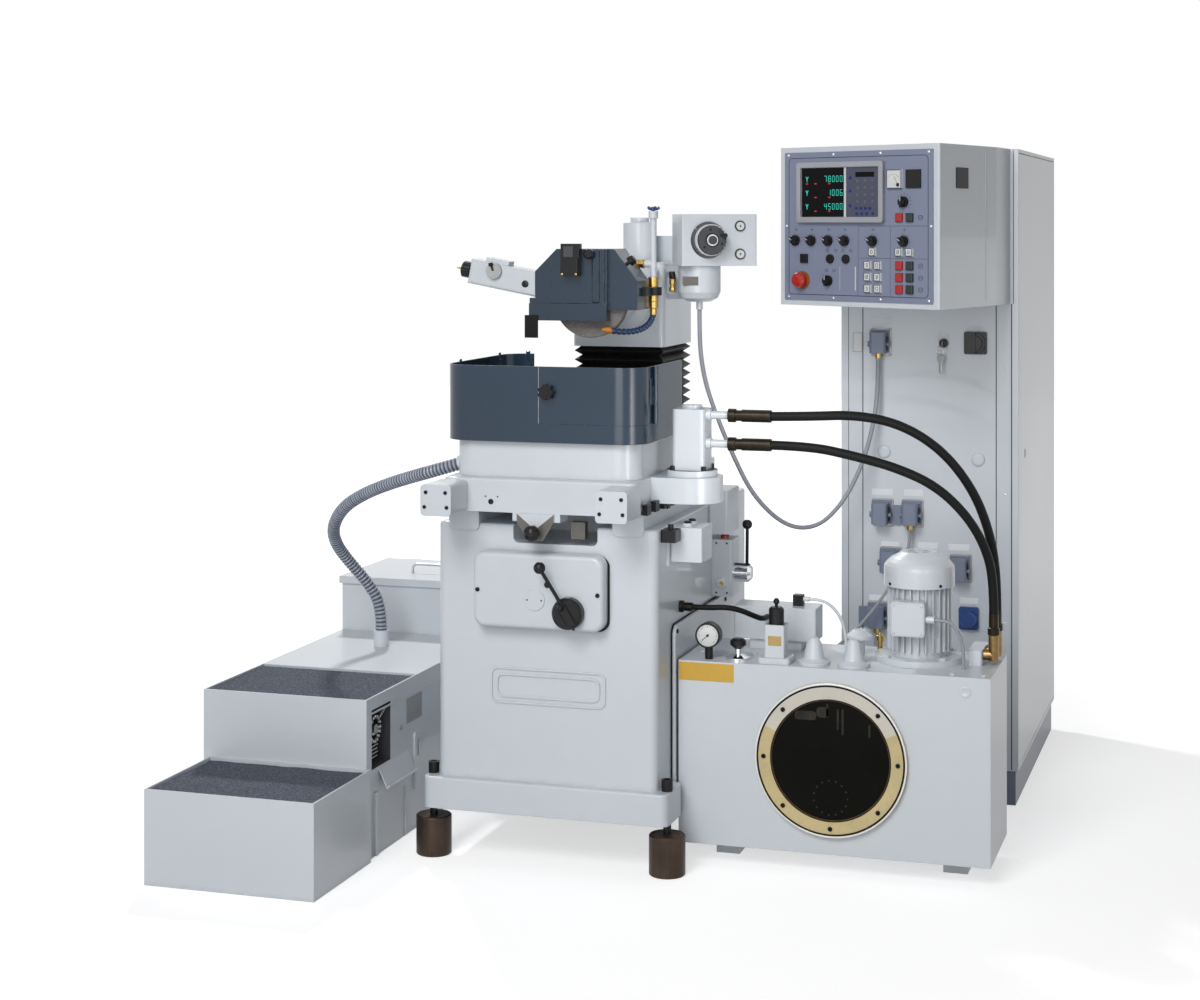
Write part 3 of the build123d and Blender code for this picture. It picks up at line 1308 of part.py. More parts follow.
def guard_outline():
    """Outline of the wheel guard as the operator sees it, from the spindle axis."""
    left_in = GUARD_LEFT + GUARD_STEP
    points = (
        (GUARD_LEFT, -GUARD_LOW),
        (GUARD_FRONT_X, -GUARD_LOW),
        (GUARD_FRONT_X, -GUARD_RIGHT_LOW),
        (GUARD_RIGHT, -GUARD_RIGHT_LOW),
        (GUARD_RIGHT, GUARD_RIGHT_UP),
        (GUARD_TOP_X1, GUARD_TOP),
        (GUARD_TOP_X0, GUARD_TOP),
        (left_in, GUARD_LEFT_UP),
        (left_in, GUARD_STEP_Z),
        (GUARD_LEFT, GUARD_STEP_Z),
    )
    return make_face(Polyline(*points, close=True))


def wheel_guard():
    """Hood round the wheel, open below, with a set-back right side and a front rib."""
    face = Plane(origin=(0, GUARD_BACK, AXIS_Z), x_dir=(1, 0, 0), z_dir=(0, -1, 0))
    outline = guard_outline()
    body = extrude(face * outline, GUARD_D)
    body -= block(GUARD_FRONT_X, GUARD_RIGHT + 1, GUARD_FRONT - 1, GUARD_FRONT + GUARD_SETBACK,
                  AXIS_Z - GUARD_LOW - 1, AXIS_Z + GUARD_TOP + 1)
    inside = offset(outline, -GUARD_WALL, kind=Kind.INTERSECTION)
    hollow_depth = GUARD_D - GUARD_SETBACK - 2 * GUARD_WALL
    hollow_face = face.offset(GUARD_WALL)
    body -= extrude(hollow_face * inside, hollow_depth)
    body -= rod((0, GUARD_BACK - GUARD_WALL, AXIS_Z), (0, -1, 0), CLAMP_D + 8, GUARD_D - 2 * GUARD_WALL)
    mouth_x0 = GUARD_LEFT + GUARD_WALL
    mouth_x1 = GUARD_RIGHT - GUARD_WALL
    mouth_y0 = GUARD_BACK - GUARD_WALL - hollow_depth
    body -= block(mouth_x0, mouth_x1, mouth_y0, GUARD_BACK - GUARD_WALL,
                  AXIS_Z - GUARD_LOW - 1, AXIS_Z - GUARD_RIGHT_LOW + GUARD_WALL + 1)
    body -= rod((0, GUARD_BACK + 1, AXIS_Z), (0, -1, 0), NOSE_D + 2 * SEAT, GUARD_WALL + 2)
    body += block(GUARD_RIB_X, GUARD_RIB_X + GUARD_RIB_W, GUARD_FRONT - GUARD_RIB_T, GUARD_FRONT,
                  AXIS_Z - GUARD_LOW, AXIS_Z + GUARD_TOP)
    body += block(GUARD_LEFT, GUARD_FRONT_X, GUARD_FRONT - GUARD_RIB_T, GUARD_FRONT,
                  AXIS_Z - GUARD_LOW, AXIS_Z + GUARD_STEP_Z - 14)
    return body


def guard_fittings():
    """Limit switch, clamp knobs, rubber flap and pipe clip on the guard."""
    x0 = SWITCH_BOX_X - SWITCH_BOX_W / 2
    top = AXIS_Z + SWITCH_BOX_UP
    low_w = SWITCH_BOX_W - 4
    switch = block(x0, x0 + SWITCH_BOX_W, GUARD_FRONT - SWITCH_BOX_T, GUARD_FRONT,
                   top - SWITCH_BOX_H * 0.5, top, 3)
    switch += block(x0 + 2, x0 + 2 + low_w, GUARD_FRONT - SWITCH_BOX_T - 6, GUARD_FRONT,
                    top - SWITCH_BOX_H, top - SWITCH_BOX_H * 0.46, 3)
    knob = turned((GUARD_KNOB_X, GUARD_FRONT, AXIS_Z + GUARD_KNOB_UP), (0, -1, 0),
                  [(12, 0), (12, 8), (GUARD_KNOB_D, 10), (GUARD_KNOB_D, 22), (GUARD_KNOB_D - 8, 26)])
    slope_share = (GUARD_TOP - SIDE_KNOB_UP) / (GUARD_TOP - GUARD_RIGHT_UP)
    slope_x = GUARD_TOP_X1 + slope_share * (GUARD_RIGHT - GUARD_TOP_X1)
    side_y = GUARD_FRONT + GUARD_SETBACK + 22
    slope_out = (GUARD_TOP - GUARD_RIGHT_UP, 0, GUARD_RIGHT - GUARD_TOP_X1)
    side = turned((slope_x, side_y, AXIS_Z + SIDE_KNOB_UP), slope_out,
                  [(10, 0), (10, 6), (GUARD_KNOB_D, 8), (GUARD_KNOB_D, 20), (GUARD_KNOB_D - 8, 24)])
    flap_top = AXIS_Z - FLAP_TOP
    flap_y = GUARD_FRONT - GUARD_RIB_T
    flap_x = GUARD_LEFT - 10
    flap = block(flap_x, flap_x + FLAP_W, flap_y - FLAP_T, flap_y, flap_top - FLAP_H, flap_top)
    clip_y0 = GUARD_BACK - 60
    clip = block(GUARD_RIGHT, GUARD_RIGHT + CLIP_T, clip_y0, PIPE_Y, CLIP_Z, CLIP_Z + CLIP_H)
    clip += rod((PIPE_X, PIPE_Y, CLIP_Z), (0, 0, 1), VALVE_D + 18, CLIP_H)
    clip -= rod((PIPE_X, PIPE_Y, CLIP_Z), (0, 0, 1), VALVE_D, CLIP_H)
    return [switch, knob, side, flap, clip]


def dresser_plane():
    """Plane at the root of the dresser arm: x runs out along the arm, to the left."""
    tilt = math.radians(DRESSER_TILT)
    out = (-math.cos(tilt), 0, math.sin(tilt))
    root = (GUARD_LEFT + GUARD_STEP, DRESSER_Y, AXIS_Z + DRESSER_UP)
    return Plane(origin=root, x_dir=out, z_dir=(0, -1, 0))


def dresser_arm():
    """Sloping arm of the wheel dresser with its dial and plug."""
    plane = dresser_plane()
    body = plane * (Pos(DRESSER_L / 2 - 15, 0, 0) * Box(DRESSER_L + 30, DRESSER_H, DRESSER_W))
    body = fillet(body.edges().filter_by(lambda e: abs((e % 0.5).Y) < 0.01).sort_by(Axis.X)[:4], 8)
    body -= block(GUARD_LEFT + GUARD_STEP, 0, DRESSER_Y - DRESSER_W, DRESSER_Y + DRESSER_W,
                  AXIS_Z - GUARD_LOW, AXIS_Z + GUARD_TOP)
    front = plane.offset(DRESSER_W / 2)
    body += front * (Pos(DRESSER_DIAL_X, -DRESSER_H * 0.2, 0)
                     * Cylinder(DRESSER_DIAL_D / 2, DRESSER_DIAL_T * 2))
    body += plane * (Pos(DRESSER_DIAL_X, -DRESSER_H / 2, 0) * Box(64, 22, DRESSER_W * 0.7))
    stem = plane * (Pos(DRESSER_L, 0, 0) * Rot(0, 90, 0) * Cylinder(DRESSER_STEM_D / 2 + RUN, 40))
    return body - stem


def dresser_knob():
    """Fluted feed knob at the end of the dresser arm."""
    plane = dresser_plane()
    end = plane.origin + plane.x_dir * (DRESSER_L + SEAT)
    profile = [(DRESSER_STEM_D + 8, 0), (DRESSER_KNOB_D, 4), (DRESSER_KNOB_D, DRESSER_KNOB_L - 4),
               (DRESSER_KNOB_D - 14, DRESSER_KNOB_L)]
    knob = turned(end, plane.x_dir, profile)
    across = Plane(origin=end, z_dir=plane.x_dir)
    for flute in range(8):
        angle = 45 * flute
        knob -= across * (Rot(0, 0, angle) * Pos(DRESSER_KNOB_D / 2 + 2, 0, 4)
                          * Cylinder(5, DRESSER_KNOB_L, align=(Align.CENTER, Align.CENTER, Align.MIN)))
    stem_start = end - plane.x_dir * 19
    return knob + rod(stem_start, plane.x_dir, DRESSER_STEM_D, 21)


def curve_point(a, b, c, t):
    """Point on the bend of the jointed hose, from its valve a past b to its tip c."""
    return tuple((1 - t) ** 2 * p + 2 * t * (1 - t) * q + t * t * r for p, q, r in zip(a, b, c))


def coolant_pipe():
    """Coolant pipe with its valve, stays and jointed hose to the wheel."""
    top = PIPE_Z0 + PIPE_H
    pipe = rod((PIPE_X, PIPE_Y, PIPE_Z0), (0, 0, 1), PIPE_D, PIPE_H)
    pipe += rod((PIPE_X, PIPE_Y, top - 20), (0, 0, 1), PIPE_CAP_D, 20)
    pipe += bar((PIPE_X, PIPE_Y, UNION_Z), (UNION_X, PIPE_Y, UNION_Z), PIPE_D)
    pipe += bar((UNION_X, PIPE_Y, UNION_Z), (UNION_X, GUARD_BACK, UNION_Z), PIPE_D)
    pipe += bar((PIPE_X, PIPE_Y, STAY_Z), (HEAD_X - HEAD_R - 8, HEAD_FRONT, STAY_Z), 12)
    pipe -= rod((PIPE_X, PIPE_Y, top - 16), (0, 0, 1), TAP_STEM_D + 2 * RUN, 17)
    pipe -= block(0, PIPE_X, HEAD_FRONT, HEAD_FRONT + 30, STAY_Z - 10, STAY_Z + 10)
    low = PIPE_Z0 - VALVE_H
    valve = turned((PIPE_X, PIPE_Y, low), (0, 0, 1),
                   [(20, 0), (20, 16), (26, 18), (26, 34), (VALVE_D, 36), (VALVE_D, VALVE_H)])
    pieces = [pipe, valve]
    start = (PIPE_X, PIPE_Y, low)
    jets = []
    for segment in range(JET_SEGMENTS):
        a = curve_point(start, JET_BEND, JET_TIP, segment / JET_SEGMENTS)
        b = curve_point(start, JET_BEND, JET_TIP, (segment + 1) / JET_SEGMENTS)
        run = Vector(*b) - Vector(*a)
        overlap = 1.6
        jets.append(turned(a, run, [(JET_D * 0.62, -overlap), (JET_D, run.length * 0.35),
                                    (JET_D, run.length * 0.6), (JET_D * 0.62, run.length + overlap)]))
    hose = jets[0].fuse(*jets[1:])
    hose -= block(PIPE_X - 30, PIPE_X + 30, PIPE_Y - 30, PIPE_Y + 30, low, low + 20)
    pieces.append(hose)
    last = curve_point(start, JET_BEND, JET_TIP, 0.97)
    aim = Vector(*JET_TIP) - Vector(*last)
    pieces.append(turned(JET_TIP, aim, [(JET_D, 1.7), (JET_D, 8), (8, NOZZLE_L)]))
    return pieces


def coolant_tap():
    """Tap handle on top of the coolant pipe."""
    top = PIPE_Z0 + PIPE_H
    stem = rod((PIPE_X, PIPE_Y, top - 15), (0, 0, 1), TAP_STEM_D, 15 + TAP_H)
    handle = block(PIPE_X - TAP_L / 2, PIPE_X + TAP_L / 2, PIPE_Y - TAP_T / 2, PIPE_Y + TAP_T / 2,
                   top + SEAT + 2, top + TAP_H, 2, Axis.Z)
    return stem + handle


def infeed_box():
    """Infeed gearbox with its dial ring, button bezels, link to the head and feed motor."""
    face = infeed_plane()
    back = (Align.CENTER, Align.CENTER, Align.MAX)
    box = face * Box(INFEED_W, INFEED_H, INFEED_D, align=back)
    box = fillet(box.edges().filter_by(Axis.Z), 4)
    foot = (Align.CENTER, Align.CENTER, Align.MIN)
    box += face * (Pos(DIAL_U, 0, 0) * Cone(DIAL_D / 2, DIAL_D / 2 - 5, DIAL_T, align=foot))
    for v in (-JOG_V, JOG_V):
        box += face * (Pos(JOG_U, v, 0) * Cylinder(JOG_D / 2 + 4, 3, align=foot))
        box -= face * (Pos(JOG_U, v, -JOG_DEPTH) * Cylinder(JOG_D / 2 + SEAT, JOG_DEPTH + 4, align=foot))
    box -= face * (Pos(DIAL_U, 0, -HANDWHEEL_SHAFT_L)
                   * Cylinder(HANDWHEEL_SHAFT_D / 2 + RUN, HANDWHEEL_SHAFT_L + DIAL_T + 1, align=foot))
    x, y = FEED_MOTOR_AT
    under = INFEED_AT[2] - INFEED_H / 2
    dome = 26.0
    profile = [(FEED_MOTOR_D * 0.55, -FEED_MOTOR_H), (FEED_MOTOR_D * 0.86, -FEED_MOTOR_H + dome * 0.35),
               (FEED_MOTOR_D, -FEED_MOTOR_H + dome), (FEED_MOTOR_D, 0)]
    motor = turned((x, y, under), (0, 0, 1), profile)
    motor += rod((x, y, under - FEED_MOTOR_H), (0, 0, -1), GLAND_D, GLAND_L)
    link = block(HEAD_X - FEED_LINK_W, HEAD_X + FEED_LINK_W, TOWER_Y + TOWER_D / 2 + 4, HEAD_BACK - 60,
                 HEAD_TOP, INFEED_AT[2] + 10, 8)
    return [box, motor, link - box]


def infeed_handwheel():
    """Fluted handwheel with its crank handle."""
    face = infeed_plane()
    foot = (Align.CENTER, Align.CENTER, Align.MIN)
    seat = face.offset(DIAL_T + SEAT)
    wheel = seat * (Pos(DIAL_U, 0, 0) * Cylinder(HANDWHEEL_D / 2, HANDWHEEL_T, align=foot))
    for flute in range(HANDWHEEL_FLUTES):
        turn = Rot(0, 0, 360 / HANDWHEEL_FLUTES * flute)
        wheel -= seat * (Pos(DIAL_U, 0, 6) * turn * Pos(HANDWHEEL_D / 2 + 1, 0, 0)
                         * Box(6, 4, HANDWHEEL_T, align=foot))
    wheel -= seat * (Pos(DIAL_U, 0, HANDWHEEL_T - 6) * Cylinder(HANDWHEEL_D * 0.24, 7, align=foot))
    wheel += seat * (Pos(DIAL_U, 0, HANDWHEEL_T - 7) * Cylinder(HANDWHEEL_D * 0.15, 14, align=foot))
    wheel += seat * (Pos(DIAL_U, 0, -HANDWHEEL_SHAFT_L - DIAL_T + SEAT)
                     * Cylinder(HANDWHEEL_SHAFT_D / 2, HANDWHEEL_SHAFT_L + DIAL_T + 2, align=foot))
    angle = math.radians(CRANK_ANGLE)
    at = Pos(DIAL_U + CRANK_R * math.cos(angle), CRANK_R * math.sin(angle), HANDWHEEL_T - 1)
    wheel += seat * (at * Cone(CRANK_D / 2 - 2, CRANK_D / 2, CRANK_L, align=foot))
    return wheel


def jog_button(side):
    """Push button on the infeed box: side 1 raises the head, side -1 lowers it."""
    face = infeed_plane()
    foot = (Align.CENTER, Align.CENTER, Align.MIN)
    depth = JOG_DEPTH - JOG_TRAVEL - SEAT
    return face * (Pos(JOG_U, side * JOG_V, -depth) * Cylinder(JOG_D / 2, depth + JOG_PROUD, align=foot))


def fleece_bin():
    """Open bin that takes the used filter fleece."""
    body = block(BIN_X0, BIN_X1, BIN_FRONT, FILTER_FRONT, 0, BIN_H)
    return body - block(BIN_X0 + BIN_WALL, BIN_X1 - BIN_WALL, BIN_FRONT + BIN_WALL, FILTER_FRONT - BIN_WALL,
                        BIN_WALL, BIN_H)


def filter_fleece():
    """Used fleece in the bin and the fresh bed on the filter housing."""
    x0 = BIN_X0 + BIN_WALL + SEAT
    x1 = BIN_X1 - BIN_WALL - SEAT
    used = block(x0, x1, BIN_FRONT + BIN_WALL + SEAT, FILTER_FRONT - BIN_WALL - SEAT, BIN_WALL, BIN_FILL)
    bed_x0 = COOLANT_X0 + BIN_WALL + SEAT
    bed_y0 = FILTER_FRONT + BIN_WALL + SEAT
    deck = FILTER_H - FILTER_DECK
    bed = block(bed_x0, COOLANT_X1 - BIN_WALL - SEAT, bed_y0, FILTER_FRONT + FLEECE_L - SEAT,
                deck, deck + FLEECE_T)
    return [used, bed]


def filter_housing():
    """Filter housing with its fleece bed, drive window, chute, hook and drain stub."""
    body = block(COOLANT_X0, COOLANT_X1, FILTER_FRONT, FILTER_BACK, 0, FILTER_H)
    body -= block(COOLANT_X0 + BIN_WALL, COOLANT_X1 - BIN_WALL, FILTER_FRONT + BIN_WALL,
                  FILTER_FRONT + FLEECE_L, FILTER_H - FILTER_DECK, FILTER_H)
    y0 = FILTER_FRONT + WINDOW_INSET
    y1 = y0 + WINDOW_L
    z1 = WINDOW_Z0 + WINDOW_H
    skin = FILTER_SKIN
    inside = block(COOLANT_X0 + skin, COOLANT_X1 - skin, FILTER_FRONT + skin, FILTER_BACK - skin,
                   skin, FILTER_H - FILTER_DECK - skin)
    inside -= block(COOLANT_X1 - WINDOW_DEPTH - skin, COOLANT_X1, y0 - skin, y1 + skin,
                    WINDOW_Z0 - skin, z1 + skin)
    body -= inside
    body -= block(COOLANT_X1 - WINDOW_DEPTH, COOLANT_X1, y0, y1, WINDOW_Z0, z1)
    body += rod((STUB_X, STUB_Y, FILTER_H), (0, 0, 1), STUB_D, STUB_H)
    body -= rod((STUB_X, STUB_Y, FILTER_H - 20), (0, 0, 1), STUB_BORE, STUB_H + 20)
    body += rod((COOLANT_X1, STUB_Y - 100, FILTER_H * 0.62), (1, 0, 0), 12, 3)
    y_mid = (y0 + y1) / 2
    z_mid = WINDOW_Z0 + WINDOW_H * 0.6
    roll = rod((COOLANT_X1 - WINDOW_DEPTH, y_mid, z_mid), (1, 0, 0), FLEECE_ROLL_D, WINDOW_DEPTH - 14)
    sprocket_x = COOLANT_X1 - 40
    wheel = Plane(origin=(sprocket_x, y_mid, z_mid), z_dir=(1, 0, 0))
    roll += extrude(wheel * RegularPolygon(SPROCKET_D / 2, 14), SPROCKET_T)
    profile = Polyline((COOLANT_X1, CHUTE_Z + 50), (COOLANT_X1 + CHUTE_OUT, CHUTE_Z),
                       (COOLANT_X1 + CHUTE_OUT + 8, CHUTE_Z + 10), (COOLANT_X1 + CHUTE_OUT + 6, CHUTE_Z + 11),
                       (COOLANT_X1 + CHUTE_OUT, CHUTE_Z + CHUTE_T + 2), (COOLANT_X1, CHUTE_Z + 55),
                       close=True)
    chute = extrude(Plane(origin=(0, CHUTE_Y + CHUTE_L, 0), x_dir=(1, 0, 0), z_dir=(0, -1, 0))
                    * make_face(profile), CHUTE_L)
    hook = right_plate(HOOK_Y + HOOK_W / 2, HOOK_Z + HOOK_H / 2, COOLANT_X1, HOOK_W, HOOK_H, HOOK_T, 10)
    hook -= right_plate(HOOK_Y + HOOK_W / 2, HOOK_Z + HOOK_H * 0.72, COOLANT_X1, HOOK_W * 0.4, HOOK_H * 0.3,
                        HOOK_T, 6)
    return [body, roll, chute, hook]


def lid_hinge(x, fixed):
    """Lid hinge about x: outer knuckles, leaves and pin on the box, the middle one on the lid."""
    half = LID_HINGE_L / 2
    along = (1, 0, 0)
    if fixed:
        pin = rod((x - 3 * half, LID_HINGE_Y, LID_HINGE_Z), along, LID_HINGE_PIN_D, 6 * half)
        for x0 in (x - 3 * half, x + half):
            pin += rod((x0, LID_HINGE_Y, LID_HINGE_Z), along, LID_HINGE_D, 2 * half)
            pin += block(x0, x0 + 2 * half, PUMP_BACK, LID_HINGE_Y - LID_HINGE_PIN_D / 2,
                         LID_HINGE_Z - LID_HINGE_LEAF, LID_HINGE_Z)
        return pin
    x0 = x - half + KNUCKLE_GAP
    x1 = x + half - KNUCKLE_GAP
    knuckle = rod((x0, LID_HINGE_Y, LID_HINGE_Z), along, LID_HINGE_D, x1 - x0)
    knuckle += block(x0, x1, PUMP_BACK - LID_LIP, LID_HINGE_Y, LID_TOP - LID_T, LID_TOP)
    return knuckle - rod((x0, LID_HINGE_Y, LID_HINGE_Z), along, LID_HINGE_PIN_D + 2 * RUN, x1 - x0)


def lid_hinge_places():
    middle = (COOLANT_X0 + COOLANT_X1) / 2
    return (middle - LID_HINGE_SHARE * COOLANT_W, middle + LID_HINGE_SHARE * COOLANT_W)


def pump_box():
    """Clean-coolant box behind the filter, open under its lid, with the pump inside."""
    body = block(COOLANT_X0, COOLANT_X1, FILTER_BACK, PUMP_BACK, 0, PUMP_H)
    body -= block(COOLANT_X0 + PUMP_WALL, COOLANT_X1 - PUMP_WALL, FILTER_BACK + PUMP_WALL,
                  PUMP_BACK - PUMP_WALL, PUMP_FLOOR, PUMP_H)
    for x in lid_hinge_places():
        body += lid_hinge(x, True)
    y = (FILTER_BACK + PUMP_BACK) / 2
    x = COOLANT_X0 + COOLANT_W * 0.3
    pump = turned((x, y, PUMP_FLOOR), (0, 0, 1),
                  [(120, 0), (120, 30), (60, 40), (60, 220), (130, 225), (130, 380), (100, 400)])
    return [body, pump]


def pump_box_lid():
    """Folded sheet lid of the pump box with its wire handle."""
    z0 = LID_TOP - LID_H
    x0 = COOLANT_X0 - LID_LIP
    x1 = COOLANT_X1 + LID_LIP
    y0 = FILTER_BACK - LID_LIP
    lid = block(x0, x1, y0, PUMP_BACK, z0, LID_TOP)
    lid -= block(x0 + LID_T, x1 - LID_T, y0 + LID_T, PUMP_BACK, z0, LID_TOP - LID_T)
    for x in lid_hinge_places():
        lid += lid_hinge(x, False)
    middle = (x0 + x1) / 2
    half = LID_HANDLE_W / 2
    y = y0 + LID_HANDLE_IN
    up = LID_TOP + LID_HANDLE_UP
    path = FilletPolyline((middle - half, y, LID_TOP), (middle - half, y, up), (middle + half, y, up),
                          (middle + half, y, LID_TOP), radius=14)
    wire = sweep(Plane(origin=path @ 0, z_dir=path % 0) * Circle(LID_HANDLE_D / 2), path=path)
    return lid + wire


def hydraulic_tank():
    """Oil tank on set-back feet, hollow behind its round sight glass."""
    body = block(TANK_X0, TANK_X1, TANK_FRONT, TANK_BACK, TANK_FOOT_H, TANK_TOP)
    w = TANK_WALL
    body -= block(TANK_X0 + w, TANK_X1 - w, TANK_FRONT + w, TANK_BACK - w, TANK_FOOT_H + w, TANK_TOP - w)
    body -= rod((SIGHT_X, TANK_FRONT, SIGHT_Z), (0, 1, 0), SIGHT_D, w)
    for x in (TANK_X0 + TANK_FOOT_IN, TANK_X1 - TANK_FOOT_IN - TANK_FOOT_W):
        for y in (TANK_FRONT + TANK_FOOT_BACK, TANK_BACK - TANK_FOOT_W):
            body += block(x, x + TANK_FOOT_W, y, y + TANK_FOOT_W, 0, TANK_FOOT_H)
    return body


def sight_ring():
    """Clamp ring of the sight glass, rebated for the pane."""
    ring = turned((SIGHT_X, TANK_FRONT, SIGHT_Z), (0, -1, 0),
                  [(RING_D, 0), (RING_D, RING_T - 3), (RING_D - 8, RING_T)])
    ring -= rod((SIGHT_X, TANK_FRONT, SIGHT_Z), (0, -1, 0), SIGHT_D, RING_T)
    return ring - rod((SIGHT_X, TANK_FRONT, SIGHT_Z), (0, -1, 0), GLASS_D + 2 * SEAT, GLASS_T + GLASS_BACK)


def sight_window():
    """Round pane of the sight glass."""
    return rod((SIGHT_X, TANK_FRONT - GLASS_BACK, SIGHT_Z), (0, -1, 0), GLASS_D, GLASS_T)


def pump_motor():
    """Finned motor on its flange, with terminal box and fan cowl."""
    at = (PUMP_MOTOR_X, PUMP_MOTOR_Y, TANK_TOP)
    z0 = TANK_TOP + PUMP_FLANGE_T
    flange = rod(at, (0, 0, 1), PUMP_FLANGE_D, PUMP_FLANGE_T)
    stator = rod((at[0], at[1], z0), (0, 0, 1), STATOR_D, STATOR_H)
    for fin in range(FIN_COUNT):
        blade = block(STATOR_D / 2 - 2, STATOR_D / 2 + FIN_OUT, -FIN_T / 2, FIN_T / 2, 14, STATOR_H - 8)
        stator += Pos(at[0], at[1], z0) * Rot(0, 0, 360 / FIN_COUNT * fin) * blade
    front = PUMP_MOTOR_Y - STATOR_D / 2 - FIN_OUT
    stator += block(TERMINAL_X - TERMINAL_W / 2, TERMINAL_X + TERMINAL_W / 2,
                    front - TERMINAL_D, PUMP_MOTOR_Y - STATOR_D / 2,
                    TANK_TOP + TERMINAL_UP, TANK_TOP + TERMINAL_UP + TERMINAL_H, 8, Axis.Y)
    gland = (TERMINAL_X + TERMINAL_W / 2, front - TERMINAL_D / 2, TANK_TOP + TERMINAL_UP + TERMINAL_H * 0.5)
    stator += rod(gland, (1, 0, 0), GLAND_D, GLAND_L)
    bored = z0 + STATOR_CAP_T
    stator -= rod((at[0], at[1], bored), (0, 0, 1), STATOR_BORE, STATOR_H - 2 * STATOR_CAP_T)
    stator -= rod((at[0], at[1], z0), (0, 0, 1), ROTOR_SHAFT_D + 2 * RUN, STATOR_H)
    cowl_z = z0 + STATOR_H
    r = COWL_D
    t = 2 * COWL_T
    dome = ((0.985, 0.78), (0.91, 0.57), (0.78, 0.32), (0.61, 0.13))
    shape = [(r, -12), (r, COWL_H - COWL_DOME)]
    shape += [(r * share, COWL_H - COWL_DOME * drop) for share, drop in dome]
    shape += [(r * 0.5, COWL_H)]
    cowl = turned((at[0], at[1], cowl_z), (0, 0, 1), shape)
    hollow = [(r - t, -12), (r - t, COWL_H - COWL_DOME)]
    hollow += [(r * share - t, COWL_H - COWL_DOME * drop - COWL_T * (1 - drop)) for share, drop in dome]
    hollow += [(r * 0.5 - t, COWL_H - COWL_T)]
    cowl -= turned((at[0], at[1], cowl_z), (0, 0, 1), hollow)
    cowl -= rod((at[0], at[1], cowl_z), (0, 0, 1), COWL_VENT_D, COWL_H)
    rim = STATOR_D + 2 * FIN_OUT
    collar = rod((at[0], at[1], cowl_z - 8), (0, 0, 1), r - t, 8)
    collar -= rod((at[0], at[1], cowl_z - 8), (0, 0, 1), STATOR_D, 8)
    grille = rod((at[0], at[1], cowl_z + COWL_H - COWL_T), (0, 0, 1), rim * 0.16, COWL_T)
    for spoke in range(6):
        arm = block(0, COWL_VENT_D / 2 + 3, -2, 2, 0, COWL_T)
        grille += Pos(at[0], at[1], cowl_z + COWL_H - COWL_T) * Rot(0, 0, 60 * spoke) * arm
    return [flange, stator, cowl + collar + grille]


def motor_rotor():
    """Rotor, shaft and fan of the pump motor."""
    z0 = TANK_TOP + PUMP_FLANGE_T
    x, y = PUMP_MOTOR_X, PUMP_MOTOR_Y
    core_z = z0 + STATOR_CAP_T + (STATOR_H - 2 * STATOR_CAP_T - ROTOR_H) / 2
    rotor = rod((x, y, core_z), (0, 0, 1), ROTOR_D, ROTOR_H)
    fan_z = z0 + STATOR_H + 12
    rotor += rod((x, y, z0 + SEAT), (0, 0, 1), ROTOR_SHAFT_D, fan_z + FAN_T - z0)
    rotor += rod((x, y, fan_z), (0, 0, 1), FAN_D, FAN_T)
    for blade in range(FAN_BLADES):
        vane = block(ROTOR_SHAFT_D, FAN_D / 2 - 2, -1.5, 1.5, FAN_T, FAN_T + FAN_BLADE_H)
        rotor += Pos(x, y, fan_z) * Rot(0, 0, 360 / FAN_BLADES * blade) * vane
    return rotor


